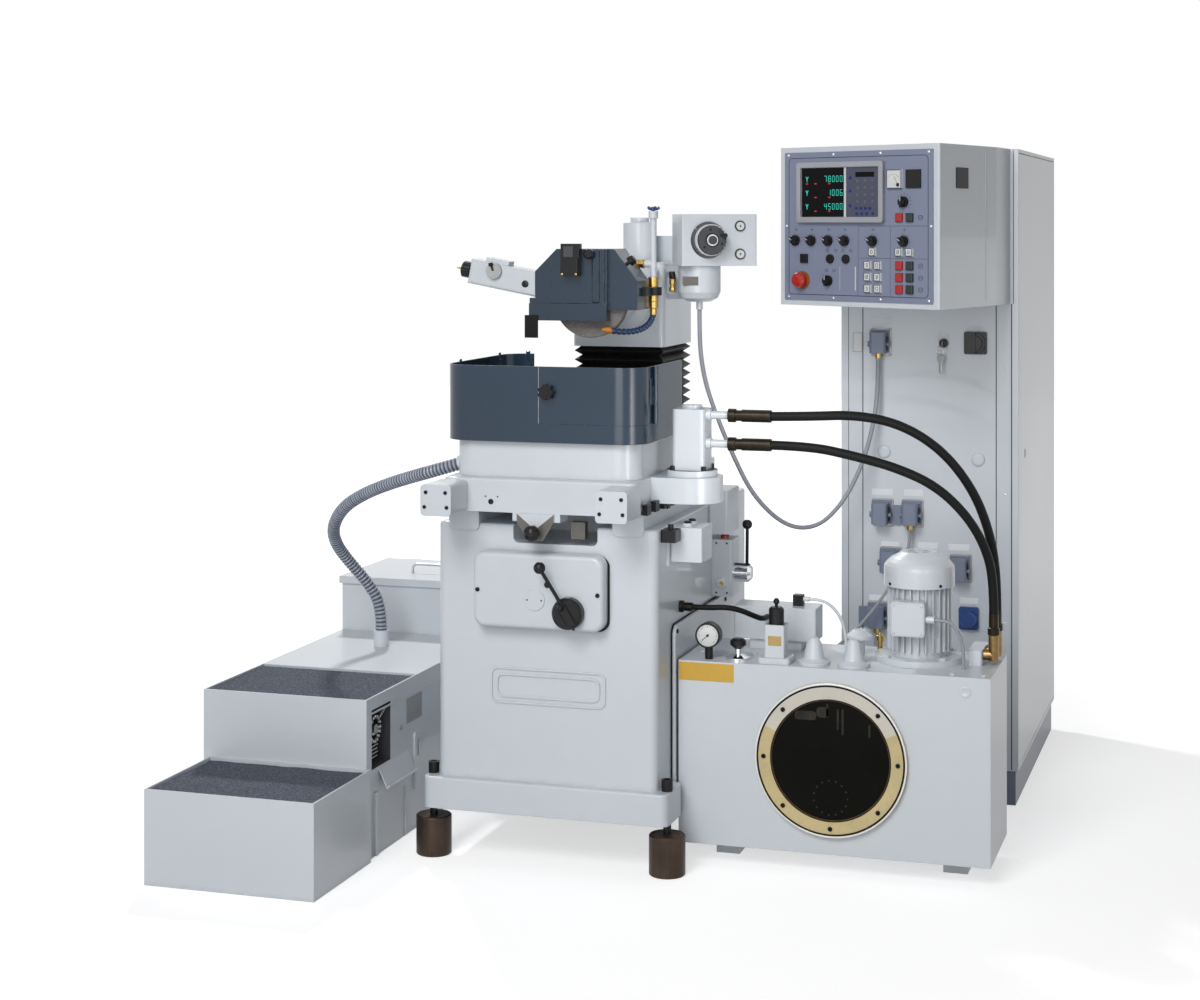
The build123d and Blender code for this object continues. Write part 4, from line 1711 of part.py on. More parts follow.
def tank_fittings():
    """Gauge, filler, relief valve, breathers, manifold and hose elbows on the tank."""
    top = TANK_TOP
    up = (0, 0, 1)
    gauge = rod((GAUGE_X, GAUGE_Y, top), up, GAUGE_STEM_D, GAUGE_UP)
    gauge += rod((GAUGE_X, GAUGE_Y + GAUGE_T / 2, top + GAUGE_UP), (0, -1, 0), GAUGE_D, GAUGE_T)
    gauge -= rod((GAUGE_X, GAUGE_Y - GAUGE_T / 2 + 2, top + GAUGE_UP), (0, -1, 0), GAUGE_D - 7, 3)
    filler = turned((FILLER_X, FILLER_Y, top), up,
                    [(FILLER_D, 0), (FILLER_D, FILLER_T), (16, FILLER_T + 8), (16, FILLER_KNOB_UP - 26),
                     (FILLER_KNOB_D, FILLER_KNOB_UP - 16), (FILLER_KNOB_D, FILLER_KNOB_UP - 6),
                     (FILLER_KNOB_D - 14, FILLER_KNOB_UP)])
    half = RELIEF_FOOT / 2
    relief = block(RELIEF_X - half, RELIEF_X + half, RELIEF_Y - half * 0.85, RELIEF_Y + half * 0.85,
                   top, top + RELIEF_FOOT_T, 10)
    half = RELIEF_W / 2
    relief += block(RELIEF_X - half, RELIEF_X + half, RELIEF_Y - half, RELIEF_Y + half,
                    top, top + RELIEF_H, 4)
    knob_z = top + RELIEF_H
    knob = turned((RELIEF_X, RELIEF_Y, knob_z), up,
                  [(RELIEF_KNOB_D, 0), (RELIEF_KNOB_D, RELIEF_KNOB_H - 6),
                   (RELIEF_KNOB_D - 10, RELIEF_KNOB_H), (8, RELIEF_KNOB_H), (8, RELIEF_KNOB_H + 6),
                   (15, RELIEF_KNOB_H + 10), (15, RELIEF_KNOB_H + 16), (8, RELIEF_KNOB_H + 21)])
    pieces = [gauge, filler, relief, knob]
    for x in CONE_XS:
        pieces.append(turned((x, CONE_Y, top), up,
                             [(CONE_FLANGE_D + 12, 0), (CONE_FLANGE_D + 12, 8), (CONE_FLANGE_D, 10),
                              (CONE_D, 16), (CONE_TIP_D + 2, CONE_H - 12), (CONE_TIP_D - 12, CONE_H)]))
    pieces.append(turned((BREATHER_X, BREATHER_Y, top), up,
                         [(26, 0), (26, BREATHER_H - 26), (BREATHER_D, BREATHER_H - 22),
                          (BREATHER_D, BREATHER_H - 14), (BREATHER_D * 0.5, BREATHER_H)]))
    m_x1 = MANIFOLD_X0 + MANIFOLD_W
    m_y1 = MANIFOLD_Y + MANIFOLD_D
    manifold_z = top + MANIFOLD_UP
    manifold = block(MANIFOLD_X0, m_x1, MANIFOLD_Y, m_y1, manifold_z, manifold_z + MANIFOLD_H, 6)
    manifold += block(MANIFOLD_X0 + 40, m_x1 - 40, MANIFOLD_Y + 10, m_y1 - 10, top, top + MANIFOLD_UP)
    pieces.append(manifold)
    plug_z = top + MANIFOLD_UP + MANIFOLD_H
    plug_y = MANIFOLD_Y + MANIFOLD_D / 2
    plug = block(PLUG_X - PLUG_W / 2, PLUG_X + PLUG_W / 2, plug_y - PLUG_W / 2, plug_y + PLUG_W / 2,
                 plug_z, plug_z + PLUG_H, 3)
    plug += rod((PLUG_X + PLUG_W / 2, plug_y, plug_z + PLUG_H * 0.62), (1, 0, 0), 13, PLUG_GLAND_L)
    pieces.append(plug)
    elbow_x = TANK_X1 - ELBOW_IN
    wall_x = elbow_x - ELBOW_D / 2 - 12
    deck = block(wall_x - ELBOW_BLOCK_W, wall_x, ELBOW_YS[0] - 30, ELBOW_YS[1] + 30,
                 top, top + ELBOW_UP + 14, 6)
    pieces.append(deck)
    for y in ELBOW_YS:
        z = top + ELBOW_UP
        elbow = bar((wall_x, y, z), (elbow_x, y, z), ELBOW_D)
        elbow += turned((elbow_x, y, z - ELBOW_D / 2), up,
                        [(ELBOW_D, 0), (ELBOW_D, 62), (ELBOW_D + 4, 64), (ELBOW_D + 4, 80), (ELBOW_D - 2, 82),
                         (ELBOW_D - 2, ELBOW_H)])
        pieces.append(elbow)
    return pieces


def cabinet_shell():
    """Cabinet on its plinth, open on the right under the side door, with its mounting plate."""
    x1 = CAB_X1 - DOOR_T
    plinth = block(CAB_X0 + PLINTH_IN, CAB_X1 - PLINTH_IN, CAB_FRONT + PLINTH_IN, CAB_BACK - PLINTH_IN,
                   0, PLINTH_H)
    w = CAB_WALL
    edge = PLINTH_IN + w
    plinth -= block(CAB_X0 + edge, CAB_X1 - edge, CAB_FRONT + edge, CAB_BACK - edge, w, PLINTH_H)
    y0 = CAB_FRONT
    y1 = CAB_BACK
    z0 = PLINTH_H
    z1 = CAB_TOP
    front = block(CAB_X0, x1, y0, y0 + w, z0, z1)
    front -= rod((MAIN_AT[0], y0 - 1, MAIN_AT[1]), (0, 1, 0), SWITCH_SHAFT_D + 2 * RUN, SWITCH_SHAFT_L)
    front -= rod((KEY_AT[0], y0 - 1, KEY_AT[1]), (0, 1, 0), SWITCH_SHAFT_D + 2 * RUN, SWITCH_SHAFT_L)
    back = block(CAB_X0, x1, y1 - w, y1, z0, z1)
    floor = block(CAB_X0, x1, y0 + w, y1 - w, z0, z0 + w)
    roof = block(CAB_X0, x1, y0 + w, y1 - w, z1 - w, z1)
    left = block(CAB_X0, CAB_X0 + w, y0 + w, y1 - w, z0 + w, z1 - w)
    walls = [front, back, floor, roof, left]
    lip = DOOR_FRAME
    flange = [
        block(x1 - w, x1, y0 + w, y0 + lip, z0 + w, z1 - w),
        block(x1 - w, x1, y1 - lip, y1 - w, z0 + w, z1 - w),
        block(x1 - w, x1, y0 + lip, y1 - lip, z0 + w, z0 + lip),
        block(x1 - w, x1, y0 + lip, y1 - lip, z1 - lip, z1 - w),
    ]
    fold = DOOR_EDGE
    rim = [
        block(x1, CAB_X1, y0, y0 + fold, z0, z1),
        block(x1, CAB_X1, y1 - fold, y1, z0, z1),
        block(x1, CAB_X1, y0 + fold, y1 - fold, z0, z0 + fold),
        block(x1, CAB_X1, y0 + fold, y1 - fold, z1 - fold, z1),
    ]
    margin = PLATE_MARGIN
    plate = block(CAB_X0 + w, CAB_X0 + w + BACKPLATE_T, y0 + margin, y1 - margin, z0 + margin, z1 - margin)
    return [plinth, *walls, *flange, *rim, plate]


def cabinet_side_door():
    """Folded steel door on the right side of the cabinet, with its lock insert."""
    x0 = CAB_X1 - DOOR_T
    edge = DOOR_EDGE + DOOR_GAP
    y0 = CAB_FRONT + edge
    y1 = CAB_BACK - edge
    z0 = PLINTH_H + edge
    z1 = CAB_TOP - edge
    door = block(x0 + SEAT, CAB_X1, y0, y1, z0, z1)
    s = DOOR_SKIN
    door -= block(x0, CAB_X1 - s, y0 + s, y1 - s, z0 + s, z1 - s)
    lock = rod((CAB_X1 - DOOR_T + SEAT, LOCK_Y, LOCK_Z), (1, 0, 0), LOCK_D, DOOR_T - SEAT - LOCK_T)
    hole = rod((CAB_X1 - LOCK_T, LOCK_Y, LOCK_Z), (1, 0, 0), LOCK_D, LOCK_T)
    return (door - hole) + lock


def hood_gland(place):
    """Lower end of the cable gland under a plug hood."""
    x, z = place
    return (x, CAB_FRONT - HOOD_D * 0.6, z - HOOD_H / 2 - HOOD_GLAND_L)


def hood(place, plugged):
    """Plug hood or spring cover on its housing; a plugged one has a cable gland below."""
    x, z = place
    wide = HOOD_W / 2
    y1 = CAB_FRONT
    y0 = y1 - HOOD_D
    body = block(x - wide, x + wide, y0, y1 - HOOD_BASE_T, z - HOOD_H / 2, z + HOOD_H / 2, 8, Axis.Z)
    body += block(x - wide - 5, x + wide + 5, y1 - HOOD_BASE_T, y1, z - HOOD_H / 2, z + HOOD_H / 2 + 6)
    for side in (-1, 1):
        lug = (x + side * wide, y1 - HOOD_D * 0.45, z - 4)
        body += rod(lug, (side, 0, 0), 16, 8)
    if plugged:
        start = hood_gland(place)
        body += rod(start, (0, 0, 1), HOOD_GLAND_D, HOOD_GLAND_L + 4)
    return body


def socket_hoods():
    """Plug hoods, mains socket, switch plate, blanking caps and flaps on the cabinet front."""
    pieces = [hood(place, True) for place in PLUGS_AT]
    pieces += [hood(place, False) for place in COVERS_AT]
    x, z = SOCKET_AT
    socket = front_plate(x, z, CAB_FRONT, 54, 62, 12, 6)
    socket += turned((x, CAB_FRONT - 12, z), (0, -1, 0), [(50, 0), (46, 18), (40, 22)])
    pieces.append(socket)
    x, z = MAIN_AT
    plate = front_plate(x, z, CAB_FRONT, SWITCH_PLATE, SWITCH_PLATE, SWITCH_PLATE_T, 5)
    pieces.append(plate - rod((x, CAB_FRONT, z), (0, -1, 0), SWITCH_SHAFT_D + 2 * RUN, SWITCH_PLATE_T))
    for x, z in CAPS_AT:
        pieces.append(turned((x, CAB_FRONT, z), (0, -1, 0),
                             [(BLANK_D, 0), (BLANK_D - 6, 3), (BLANK_D - 14, 4)]))
    for x, z in FLAPS_AT:
        pieces.append(front_plate(x, z, CAB_FRONT, FLAP_PLATE_W, FLAP_PLATE_H, FLAP_PLATE_T, 3))
    return pieces


def rotary_knob(diameter, height, shaft_d, shaft_l):
    """Pointer knob on its shaft, standing on the XY plane with its pointer towards +Y."""
    foot = (Align.CENTER, Align.CENTER, Align.MIN)
    knob = Cylinder(diameter / 2, height * 0.45, align=foot)
    knob += Pos(0, 0, height * 0.4) * Box(KNOB_POINTER, diameter, height * 0.6, align=foot)
    knob += Pos(0, 0, height * 0.4) * Cylinder(diameter * 0.36, height * 0.45, align=foot)
    return knob + Pos(0, 0, -shaft_l) * Cylinder(shaft_d / 2, shaft_l + 1, align=foot)


def main_switch():
    """Rotary main switch on the cabinet."""
    x, z = MAIN_AT
    face = Plane(origin=(x, CAB_FRONT - SWITCH_PLATE_T - SEAT, z), x_dir=(1, 0, 0), z_dir=(0, -1, 0))
    shaft_l = SWITCH_PLATE_T + SWITCH_SHAFT_L - 2
    return face * rotary_knob(SWITCH_KNOB_D, SWITCH_KNOB_T, SWITCH_SHAFT_D, shaft_l)


def key_switch():
    """Key switch on the cabinet with its key."""
    x, z = KEY_AT
    face = (x, CAB_FRONT - SEAT, z)
    barrel = turned(face, (0, -1, 0), [(KEY_D, 0), (KEY_D, KEY_T - 2), (KEY_D - 4, KEY_T)])
    barrel += rod((x, CAB_FRONT + SWITCH_SHAFT_L - 2, z), (0, -1, 0), SWITCH_SHAFT_D, SWITCH_SHAFT_L)
    bow = block(x - 1.5, x + 1.5, face[1] - KEY_T - 30, face[1] - KEY_T + 1, z - 9, z + 9)
    return barrel + fillet(bow.edges().filter_by(Axis.X), 5)


def keycap_grid(places):
    """Square push buttons at places on the panel."""
    face = desk_plane().offset(PANEL_T)
    foot = (Align.CENTER, Align.CENTER, Align.MIN)
    caps = []
    depth = PANEL_T + KEYCAP_DEPTH - KEYCAP_TRAVEL - SEAT
    for u, v in places:
        cap = Pos(u, v, -depth) * Box(KEYCAP, KEYCAP, depth + KEYCAP_PROUD, align=foot)
        caps.append(face * chamfer(cap.faces().sort_by(Axis.Z)[-1].edges(), 1.5))
    return caps


def stop_places():
    return [(STOP_U, v) for v in (WHEEL_ROW_V,) + KEY_ROW_VS]


def start_places():
    return [(START_U, v) for v in (WHEEL_ROW_V,) + KEY_ROW_VS]


def function_places():
    grid = [(u, v) for v in KEY_ROW_VS for u in FUNCTION_US]
    return grid + [(u, TOP_ROW_V) for u in TOP_ROW_US]


def panel_cuts():
    """Openings behind and through the panel for its moving controls."""
    face = desk_plane()
    foot = (Align.CENTER, Align.CENTER, Align.MIN)
    deep = KEYCAP_DEPTH
    high = deep + PANEL_T + 1
    cuts = []
    for u, v in stop_places() + start_places() + function_places():
        side = KEYCAP + 2 * SEAT
        cuts.append(face * (Pos(u, v, -deep) * Box(side, side, high, align=foot)))
    for u, v in (SPEED_AT, MODE_AT):
        hole = Cylinder(KNOB_SHAFT_D / 2 + RUN, high + 10, align=foot)
        cuts.append(face * (Pos(u, v, -KNOB_SHAFT_L) * hole))
    u, v = ESTOP_AT
    hole = Cylinder(ESTOP_STEM_D / 2 + SEAT, high + 2 * deep, align=foot)
    cuts.append(face * (Pos(u, v, -2 * deep) * hole))
    return cuts


def control_box():
    """Control box on the cabinet, its face turned towards the machine."""
    corner_x = CAB_X1 - DOOR_T
    plan = make_face(Polyline(DESK_LEFT, DESK_RIGHT, DESK_SIDE, (corner_x, CAB_FRONT), (CAB_X0, CAB_FRONT),
                              close=True))
    body = extrude(Plane.XY.offset(DESK_Z0) * plan, CAB_TOP - DESK_Z0)
    edges = body.edges().filter_by(Axis.Z).sort_by(Axis.Y)
    body = fillet(edges[0:3], 5)
    z0 = DESK_Z0 + DESK_WALL
    z1 = CAB_TOP - DESK_WALL
    body -= extrude(Plane.XY.offset(z0) * offset(plan, -DESK_WALL, kind=Kind.INTERSECTION), z1 - z0)
    port = DESK_PORT_IN
    body -= block(CAB_X0 + port, corner_x - port, CAB_FRONT - 2 * DESK_WALL, CAB_FRONT,
                  DESK_Z0 + port, CAB_TOP - port)
    for cut in panel_cuts():
        body -= cut
    return body


def control_panel():
    """Panel plate with its display, meter, fixed lamps and setting knobs."""
    face = desk_plane()
    plate = extrude(face * RectangleRounded(PANEL_W, PANEL_H, 3), PANEL_T)
    for cut in panel_cuts():
        plate -= cut
    front = face.offset(PANEL_T)
    foot = (Align.CENTER, Align.CENTER, Align.MIN)
    bezel = extrude(front * Pos(SCREEN_U, SCREEN_V) * RectangleRounded(BEZEL_W, BEZEL_H, 8), BEZEL_T)
    recess_w = BEZEL_W - 2 * BEZEL_RIM
    recess = extrude(front.offset(BEZEL_T - 6) * Pos(SCREEN_U, SCREEN_V)
                     * RectangleRounded(recess_w, BEZEL_H - 2 * BEZEL_RIM, 3), 7)
    pieces = [plate, bezel - recess]
    pieces.append(front * (Pos(METER_U, METER_V, 0) * Box(METER_W, METER_W, 8, align=foot)))
    pieces.append(front * (Pos(BLANK_U, METER_V, 0) * Box(METER_W, METER_W, 4, align=foot)))
    for u in KNOB_US:
        knob = rotary_knob(KNOB_D, KNOB_T, 0.1, 0.05)
        pieces.append(front * (Pos(u, KNOB_ROW_V, 0) * Rot(0, 0, 60) * knob))
    for u in LAMP_US:
        pieces.append(front * (Pos(u, LAMP_ROW_V, 0) * Cylinder(LAMP_D / 2, 6, align=foot)))
    pieces.append(front * (Pos(LAMP_SQUARE_U, LAMP_ROW_V, 0) * Box(LAMP_D, LAMP_D, 6, align=foot)))
    u, v = ESTOP_AT
    collar = Cylinder(ESTOP_COLLAR_D / 2, ESTOP_COLLAR_T, align=foot)
    collar -= Cylinder(ESTOP_STEM_D / 2 + SEAT, ESTOP_COLLAR_T, align=foot)
    pieces.append(front * (Pos(u, v, 0) * collar))
    return pieces


def emergency_stop():
    """Mushroom-headed emergency stop."""
    front = desk_plane().offset(PANEL_T)
    u, v = ESTOP_AT
    start = front.from_local_coords((u, v, 0))
    gap = ESTOP_COLLAR_T + ESTOP_TRAVEL + SEAT
    profile = [(ESTOP_STEM_D, -KEYCAP_DEPTH), (ESTOP_STEM_D, gap), (ESTOP_D - 4, gap), (ESTOP_D, gap + 4),
               (ESTOP_D, ESTOP_PROUD - 9), (ESTOP_D * 0.8, ESTOP_PROUD - 2), (ESTOP_D * 0.4, ESTOP_PROUD)]
    return turned(start, front.z_dir, profile)


def panel_knob(place):
    """Pointer knob that turns on the panel."""
    front = desk_plane().offset(PANEL_T + SEAT)
    u, v = place
    return front * (Pos(u, v, 0) * rotary_knob(KNOB_D, KNOB_T, KNOB_SHAFT_D, KNOB_SHAFT_L))


def corner_radii(points):
    """Largest tangent arcs that the runs of a route leave room for."""
    radii = []
    for a, b, c in zip(points, points[1:], points[2:]):
        into = Vector(*b) - Vector(*a)
        out = Vector(*c) - Vector(*b)
        turn = math.radians(into.get_angle(out))
        radii.append(0.45 * min(into.length, out.length) / math.tan(turn / 2))
    return radii


def route_path(points):
    return FilletPolyline(*points, radius=corner_radii(points))


def tube(name, points, diameter):
    """Plain round cord along a route; its volume is compared with section times length."""
    path = route_path(points)
    body = sweep(Plane(origin=path @ 0, z_dir=path % 0) * Circle(diameter / 2), path=path)
    ratio = body.volume / (math.pi * diameter ** 2 / 4 * path.length)
    radii = [round(r) for r in corner_radii(points)]
    print(name, "length", round(path.length), "volume ratio", round(ratio, 4), "radii", radii)
    return body


def drain_points():
    """Route of the drain hose, square to the pan's spigot and to the filter's stub."""
    slope = spigot_slope()
    start = Vector(-PAN_W / 2, SPIGOT_Y, PAN_Z0 + SPIGOT_UP) + slope * SPIGOT_L
    out = start + slope * DRAIN_END_RUN
    end = (STUB_X, STUB_Y, FILTER_H + STUB_H)
    over = (end[0], end[1], end[2] + DRAIN_END_RUN)
    return (tuple(start), tuple(out)) + DRAIN_ROUTE + (over, end)


def drain_hose():
    """Ribbed drain hose from the pan to the filter, with its bore."""
    points = drain_points()
    path = route_path(points)
    length = path.length
    crest = DRAIN_D / 2
    root = crest - DRAIN_RIB
    steady = Vector(0.45, 0.7, 0.55)
    pitch = (length - 2 * DRAIN_D) / DRAIN_RIBS
    stations = [(0.0, crest), (DRAIN_D, crest)]
    for rib in range(DRAIN_RIBS):
        foot = DRAIN_D + rib * pitch
        stations += [(foot + 0.15 * pitch, root), (foot + 0.4 * pitch, root)]
        stations += [(foot + 0.6 * pitch, crest), (foot + 0.9 * pitch, crest)]
    stations.append((length, crest))
    rings = []
    for along, radius in stations:
        t = along / length
        level = Plane(origin=path @ t, x_dir=steady, z_dir=path % t)
        rings.append(level * Circle(radius))
    outside = loft(rings, ruled=True)
    bore = sweep(Plane(origin=path @ 0, z_dir=path % 0) * Circle(DRAIN_BORE / 2), path=path)
    print("drain_hose length", round(length), "radii", [round(r) for r in corner_radii(points)])
    return outside - bore


def hose_points(route, port_up, elbow_y):
    """Route of a pressure hose from the motor's ferrule to an elbow on the tank."""
    z = SLIDE_TOP + MOTOR_FLANGE_H + port_up
    start = (ARM_X + MOTOR_W / 2 + PORT_L + FERRULE_L, ARM_Y - PORT_BACK, z)
    end = (TANK_X1 - ELBOW_IN, elbow_y, TANK_TOP + ELBOW_UP - ELBOW_D / 2 + ELBOW_H)
    over = (end[0], end[1], end[2] + HOSE_END_RUN)
    middle = tuple((x, y, z + dz) for x, y, dz in route)
    out = (start[0] + HOSE_START_RUN, start[1], start[2])
    return (start, out) + middle + (over, end)


def pressure_hoses():
    """Two pressure hoses from the table motor to the tank, and the pilot hose."""
    upper = hose_points(UPPER_ROUTE, PORT_HIGH, ELBOW_YS[1])
    lower = hose_points(LOWER_ROUTE, PORT_LOW, ELBOW_YS[0])
    pilot_start = (PED_X + PILOT_FITTING_L, PILOT_Y, PILOT_Z)
    pilot_end = (PILOT_END[0], MANIFOLD_Y, PILOT_END[1])
    pilot_out = (pilot_start[0] + PILOT_END_RUN, PILOT_Y, PILOT_Z)
    pilot_in = (pilot_end[0], pilot_end[1] - PILOT_END_RUN, pilot_end[2])
    pilot = (pilot_start, pilot_out) + PILOT_ROUTE + (pilot_in, pilot_end)
    return [
        tube("upper_hose", upper, PRESSURE_D),
        tube("lower_hose", lower, PRESSURE_D),
        tube("pilot_hose", pilot, PILOT_D),
    ]


def below(point, drop):
    return (point[0], point[1], point[2] - drop)


def feed_cable():
    """Cable from the feed motor's gland to the upper plug on the cabinet."""
    x, y = FEED_MOTOR_AT
    start = (x, y, INFEED_AT[2] - INFEED_H / 2 - FEED_MOTOR_H - GLAND_L)
    end = hood_gland(PLUGS_AT[0])
    points = (start, below(start, FEED_END_RUN)) + FEED_ROUTE + (below(end, 1.5 * FEED_END_RUN), end)
    return tube("feed_cable", points, FEED_CABLE_D)


def signal_leads():
    """Leads of the solenoid, the pump motor and the two lower plugs."""
    plug_z = TANK_TOP + MANIFOLD_UP + MANIFOLD_H + PLUG_H * 0.62
    solenoid = (PLUG_X + PLUG_W / 2 + PLUG_GLAND_L, MANIFOLD_Y + MANIFOLD_D / 2, plug_z)
    gland_y = PUMP_MOTOR_Y - STATOR_D / 2 - FIN_OUT - TERMINAL_D / 2
    gland_z = TANK_TOP + TERMINAL_UP + TERMINAL_H * 0.5
    motor = (TERMINAL_X + TERMINAL_W / 2 + GLAND_L, gland_y, gland_z)
    solenoid_out = (solenoid[0] + LEAD_END_RUN, solenoid[1], solenoid[2])
    motor_out = (motor[0] + LEAD_END_RUN, motor[1], motor[2])
    solenoid_end = SOLENOID_END + (TANK_TOP,)
    motor_end = MOTOR_LEAD_END + (TANK_TOP,)
    leads = [
        tube("solenoid_lead", (solenoid, solenoid_out) + SOLENOID_ROUTE
             + (below(solenoid_end, -LEAD_END_RUN), solenoid_end), LEAD_D),
        tube("motor_lead", (motor, motor_out) + MOTOR_LEAD_ROUTE
             + (below(motor_end, -LEAD_END_RUN), motor_end), LEAD_D),
    ]
    ways = (("sensor_lead", PLUGS_AT[1], SENSOR_ROUTE, SENSOR_END),
            ("supply_lead", PLUGS_AT[2], SUPPLY_ROUTE, SUPPLY_END))
    for name, place, route, end in ways:
        start = hood_gland(place)
        into = (end[0], TANK_BACK + TANK_LEAD_RUN, end[1])
        seat = (end[0], TANK_BACK, end[1])
        leads.append(tube(name, (start, below(start, LEAD_END_RUN)) + route + (into, seat), LEAD_D))
    return leads


def write(name, shape):
    """Write one sub-part, with all its solids, about the common origin."""
    pieces = shape if isinstance(shape, list) else [shape]
    solids = []
    for piece in pieces:
        solids += [at_origin(solid) for solid in piece.solids()]
    body = solids[0] if len(solids) == 1 else Compound(solids)
    export_step(body, f"parts/{name}.step")


def main():
    os.makedirs("parts", exist_ok=True)
    for make in (machine_base, levelling_feet, access_covers, cover_seals, valve_boxes, feed_screw, bellows):
        write(make.__name__, make())
    for make in (reversing_lever, selector_lever, reset_button):
        write(make.__name__, make())
    for make in (cross_slide, saddle_plunger, table_motor, coolant_pan, splash_guard, splash_door):
        write(make.__name__, make())
    for make in (splash_knob, magnetic_chuck, table_spindle, head_carriage, spindle_housing):
        write(make.__name__, make())
    for make in (grinding_wheel, wheel_spindle):
        write(make.__name__, make())
    for make in (wheel_guard, guard_fittings, dresser_arm, dresser_knob, coolant_pipe, coolant_tap):
        write(make.__name__, make())
    for make in (infeed_box, infeed_handwheel):
        write(make.__name__, make())
    write("jog_buttons", [jog_button(1), jog_button(-1)])
    for make in (fleece_bin, filter_fleece, filter_housing, pump_box, pump_box_lid):
        write(make.__name__, make())
    for make in (hydraulic_tank, sight_ring, sight_window, pump_motor, motor_rotor, tank_fittings):
        write(make.__name__, make())
    for make in (cabinet_shell, cabinet_side_door, socket_hoods, main_switch, key_switch):
        write(make.__name__, make())
    for make in (control_box, control_panel, emergency_stop):
        write(make.__name__, make())
    write("mode_selector", panel_knob(MODE_AT))
    write("speed_knob", panel_knob(SPEED_AT))
    write("stop_buttons", keycap_grid(stop_places()))
    write("start_buttons", keycap_grid(start_places()))
    write("function_buttons", keycap_grid(function_places()))
    for make in (drain_hose, pressure_hoses, feed_cable, signal_leads):
        write(make.__name__, make())


if __name__ == "__main__":
    main()
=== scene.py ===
import json
import math
from itertools import product

import bmesh
import bpy
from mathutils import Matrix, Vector, noise

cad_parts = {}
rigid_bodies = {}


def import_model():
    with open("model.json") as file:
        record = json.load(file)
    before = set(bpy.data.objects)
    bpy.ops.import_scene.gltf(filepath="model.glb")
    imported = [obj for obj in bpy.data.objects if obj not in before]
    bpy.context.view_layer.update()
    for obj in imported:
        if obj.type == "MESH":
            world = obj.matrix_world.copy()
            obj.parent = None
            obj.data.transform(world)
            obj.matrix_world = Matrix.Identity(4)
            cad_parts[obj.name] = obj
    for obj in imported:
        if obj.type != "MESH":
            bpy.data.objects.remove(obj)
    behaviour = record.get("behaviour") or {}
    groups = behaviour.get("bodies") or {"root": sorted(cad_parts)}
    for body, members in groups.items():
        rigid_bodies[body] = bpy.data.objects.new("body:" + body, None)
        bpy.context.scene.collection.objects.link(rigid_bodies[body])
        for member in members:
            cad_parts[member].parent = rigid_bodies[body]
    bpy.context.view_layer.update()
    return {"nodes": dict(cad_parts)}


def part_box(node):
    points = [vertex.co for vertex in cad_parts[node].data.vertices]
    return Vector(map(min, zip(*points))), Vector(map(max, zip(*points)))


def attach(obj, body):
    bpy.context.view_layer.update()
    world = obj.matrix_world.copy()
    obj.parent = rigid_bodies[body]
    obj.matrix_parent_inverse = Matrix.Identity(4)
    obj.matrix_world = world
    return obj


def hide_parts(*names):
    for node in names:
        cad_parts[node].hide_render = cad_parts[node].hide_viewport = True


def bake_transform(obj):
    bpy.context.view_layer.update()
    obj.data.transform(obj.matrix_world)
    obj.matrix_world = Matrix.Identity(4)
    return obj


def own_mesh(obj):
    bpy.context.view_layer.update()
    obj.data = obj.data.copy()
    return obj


for old in list(bpy.data.objects):
    bpy.data.objects.remove(old)
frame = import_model()
nodes = frame["nodes"]

bl_info = {
    "name": "Rotary surface grinder",
    "version": (1, 0, 0),
    "blender": (4, 5, 0),
    "location": "3D View > Sidebar > Grinder",
    "description": "Finishes, hoses, bellows, fleece, plates and small hardware of a rotary surface grinder",
    "category": "Object",
}

# The machine's own zero is the middle of its front feet; the frame's is the middle of the whole group.
ZERO_X = 91.5
ZERO_Y = 675.0
MM = 0.001
WHITE = (1.0, 1.0, 1.0, 1.0)


def at(x, y, z):
    """A point given in millimetres from the machine's zero, in the frame's metres."""
    return Vector((x - ZERO_X, y - ZERO_Y, z)) * MM


def polar(radius, angle, u=0.0, v=0.0):
    """The point of a face at a distance and an angle from (u, v)."""
    return u + radius * math.cos(angle), v + radius * math.sin(angle)


def circle(count, radius, u=0.0, v=0.0, start=0.0):
    """Points set evenly round (u, v), the first one so many steps past the right."""
    return [polar(radius, math.tau * (k + start) / count, u, v) for k in range(count)]


class Face:
    """A flat face of the machine, with a right, an up and an outward direction, measured in millimetres."""

    def __init__(self, origin, right=(1, 0, 0), up=(0, 0, 1)):
        self.origin = at(*origin)
        self.right = Vector(right).normalized()
        self.up = Vector(up).normalized()
        self.out = self.right.cross(self.up)

    def at(self, u, v, h=0.0):
        return self.origin + (self.right * u + self.up * v + self.out * h) * MM

    def local(self, point):
        away = (point - self.origin) / MM
        return away.dot(self.right), away.dot(self.up), away.dot(self.out)


BACK = (0, 1, 0)
BASE_FRONT = Face((0, -40, 0))
COVER_FRONT = Face((0, -85, 0))
SLIDE_FRONT = Face((0, -100, 0))
WAY_FRONT = Face((0, -215, 0))
SIDE_COVER = Face((300, 0, 0), BACK)
LEVER_HUB = Face((77, -111.4, 640))
LEVER_BOX = Face((316.5, 481, 635))
CHEST_TOP = Face((332.5, 0, 850), up=BACK)
RAIL_SIDE = Face((259, 0, 0), BACK)
RIM_FRONT = Face((0, -80, 0))
RIM_SIDE = Face((262, 0, 0), BACK)
RIM_LEFT = Face((-258, 0, 0), BACK)
RIM_BACK = Face((0, 416, 0))
FILTER_SIDE = Face((-437, 0, 0), BACK)
FILTER_INSIDE = Face((-470, 0, 0), BACK)
TANK_FRONT = Face((0, 95, 0))
TANK_TOP = Face((0, 0, 505), up=BACK)
GAUGE = Face((374, 118, 565))
RELIEF = Face((544, 120, 560))
SIGHT = Face((692.5, 95, 284))
TERMINAL = Face((869, 160, 624))
CABINET_FRONT = Face((0, 870, 0))
MAIN_SWITCH = Face((939, 862, 1267))
KEY_FRONT = Face((852, 860.7, 1265))
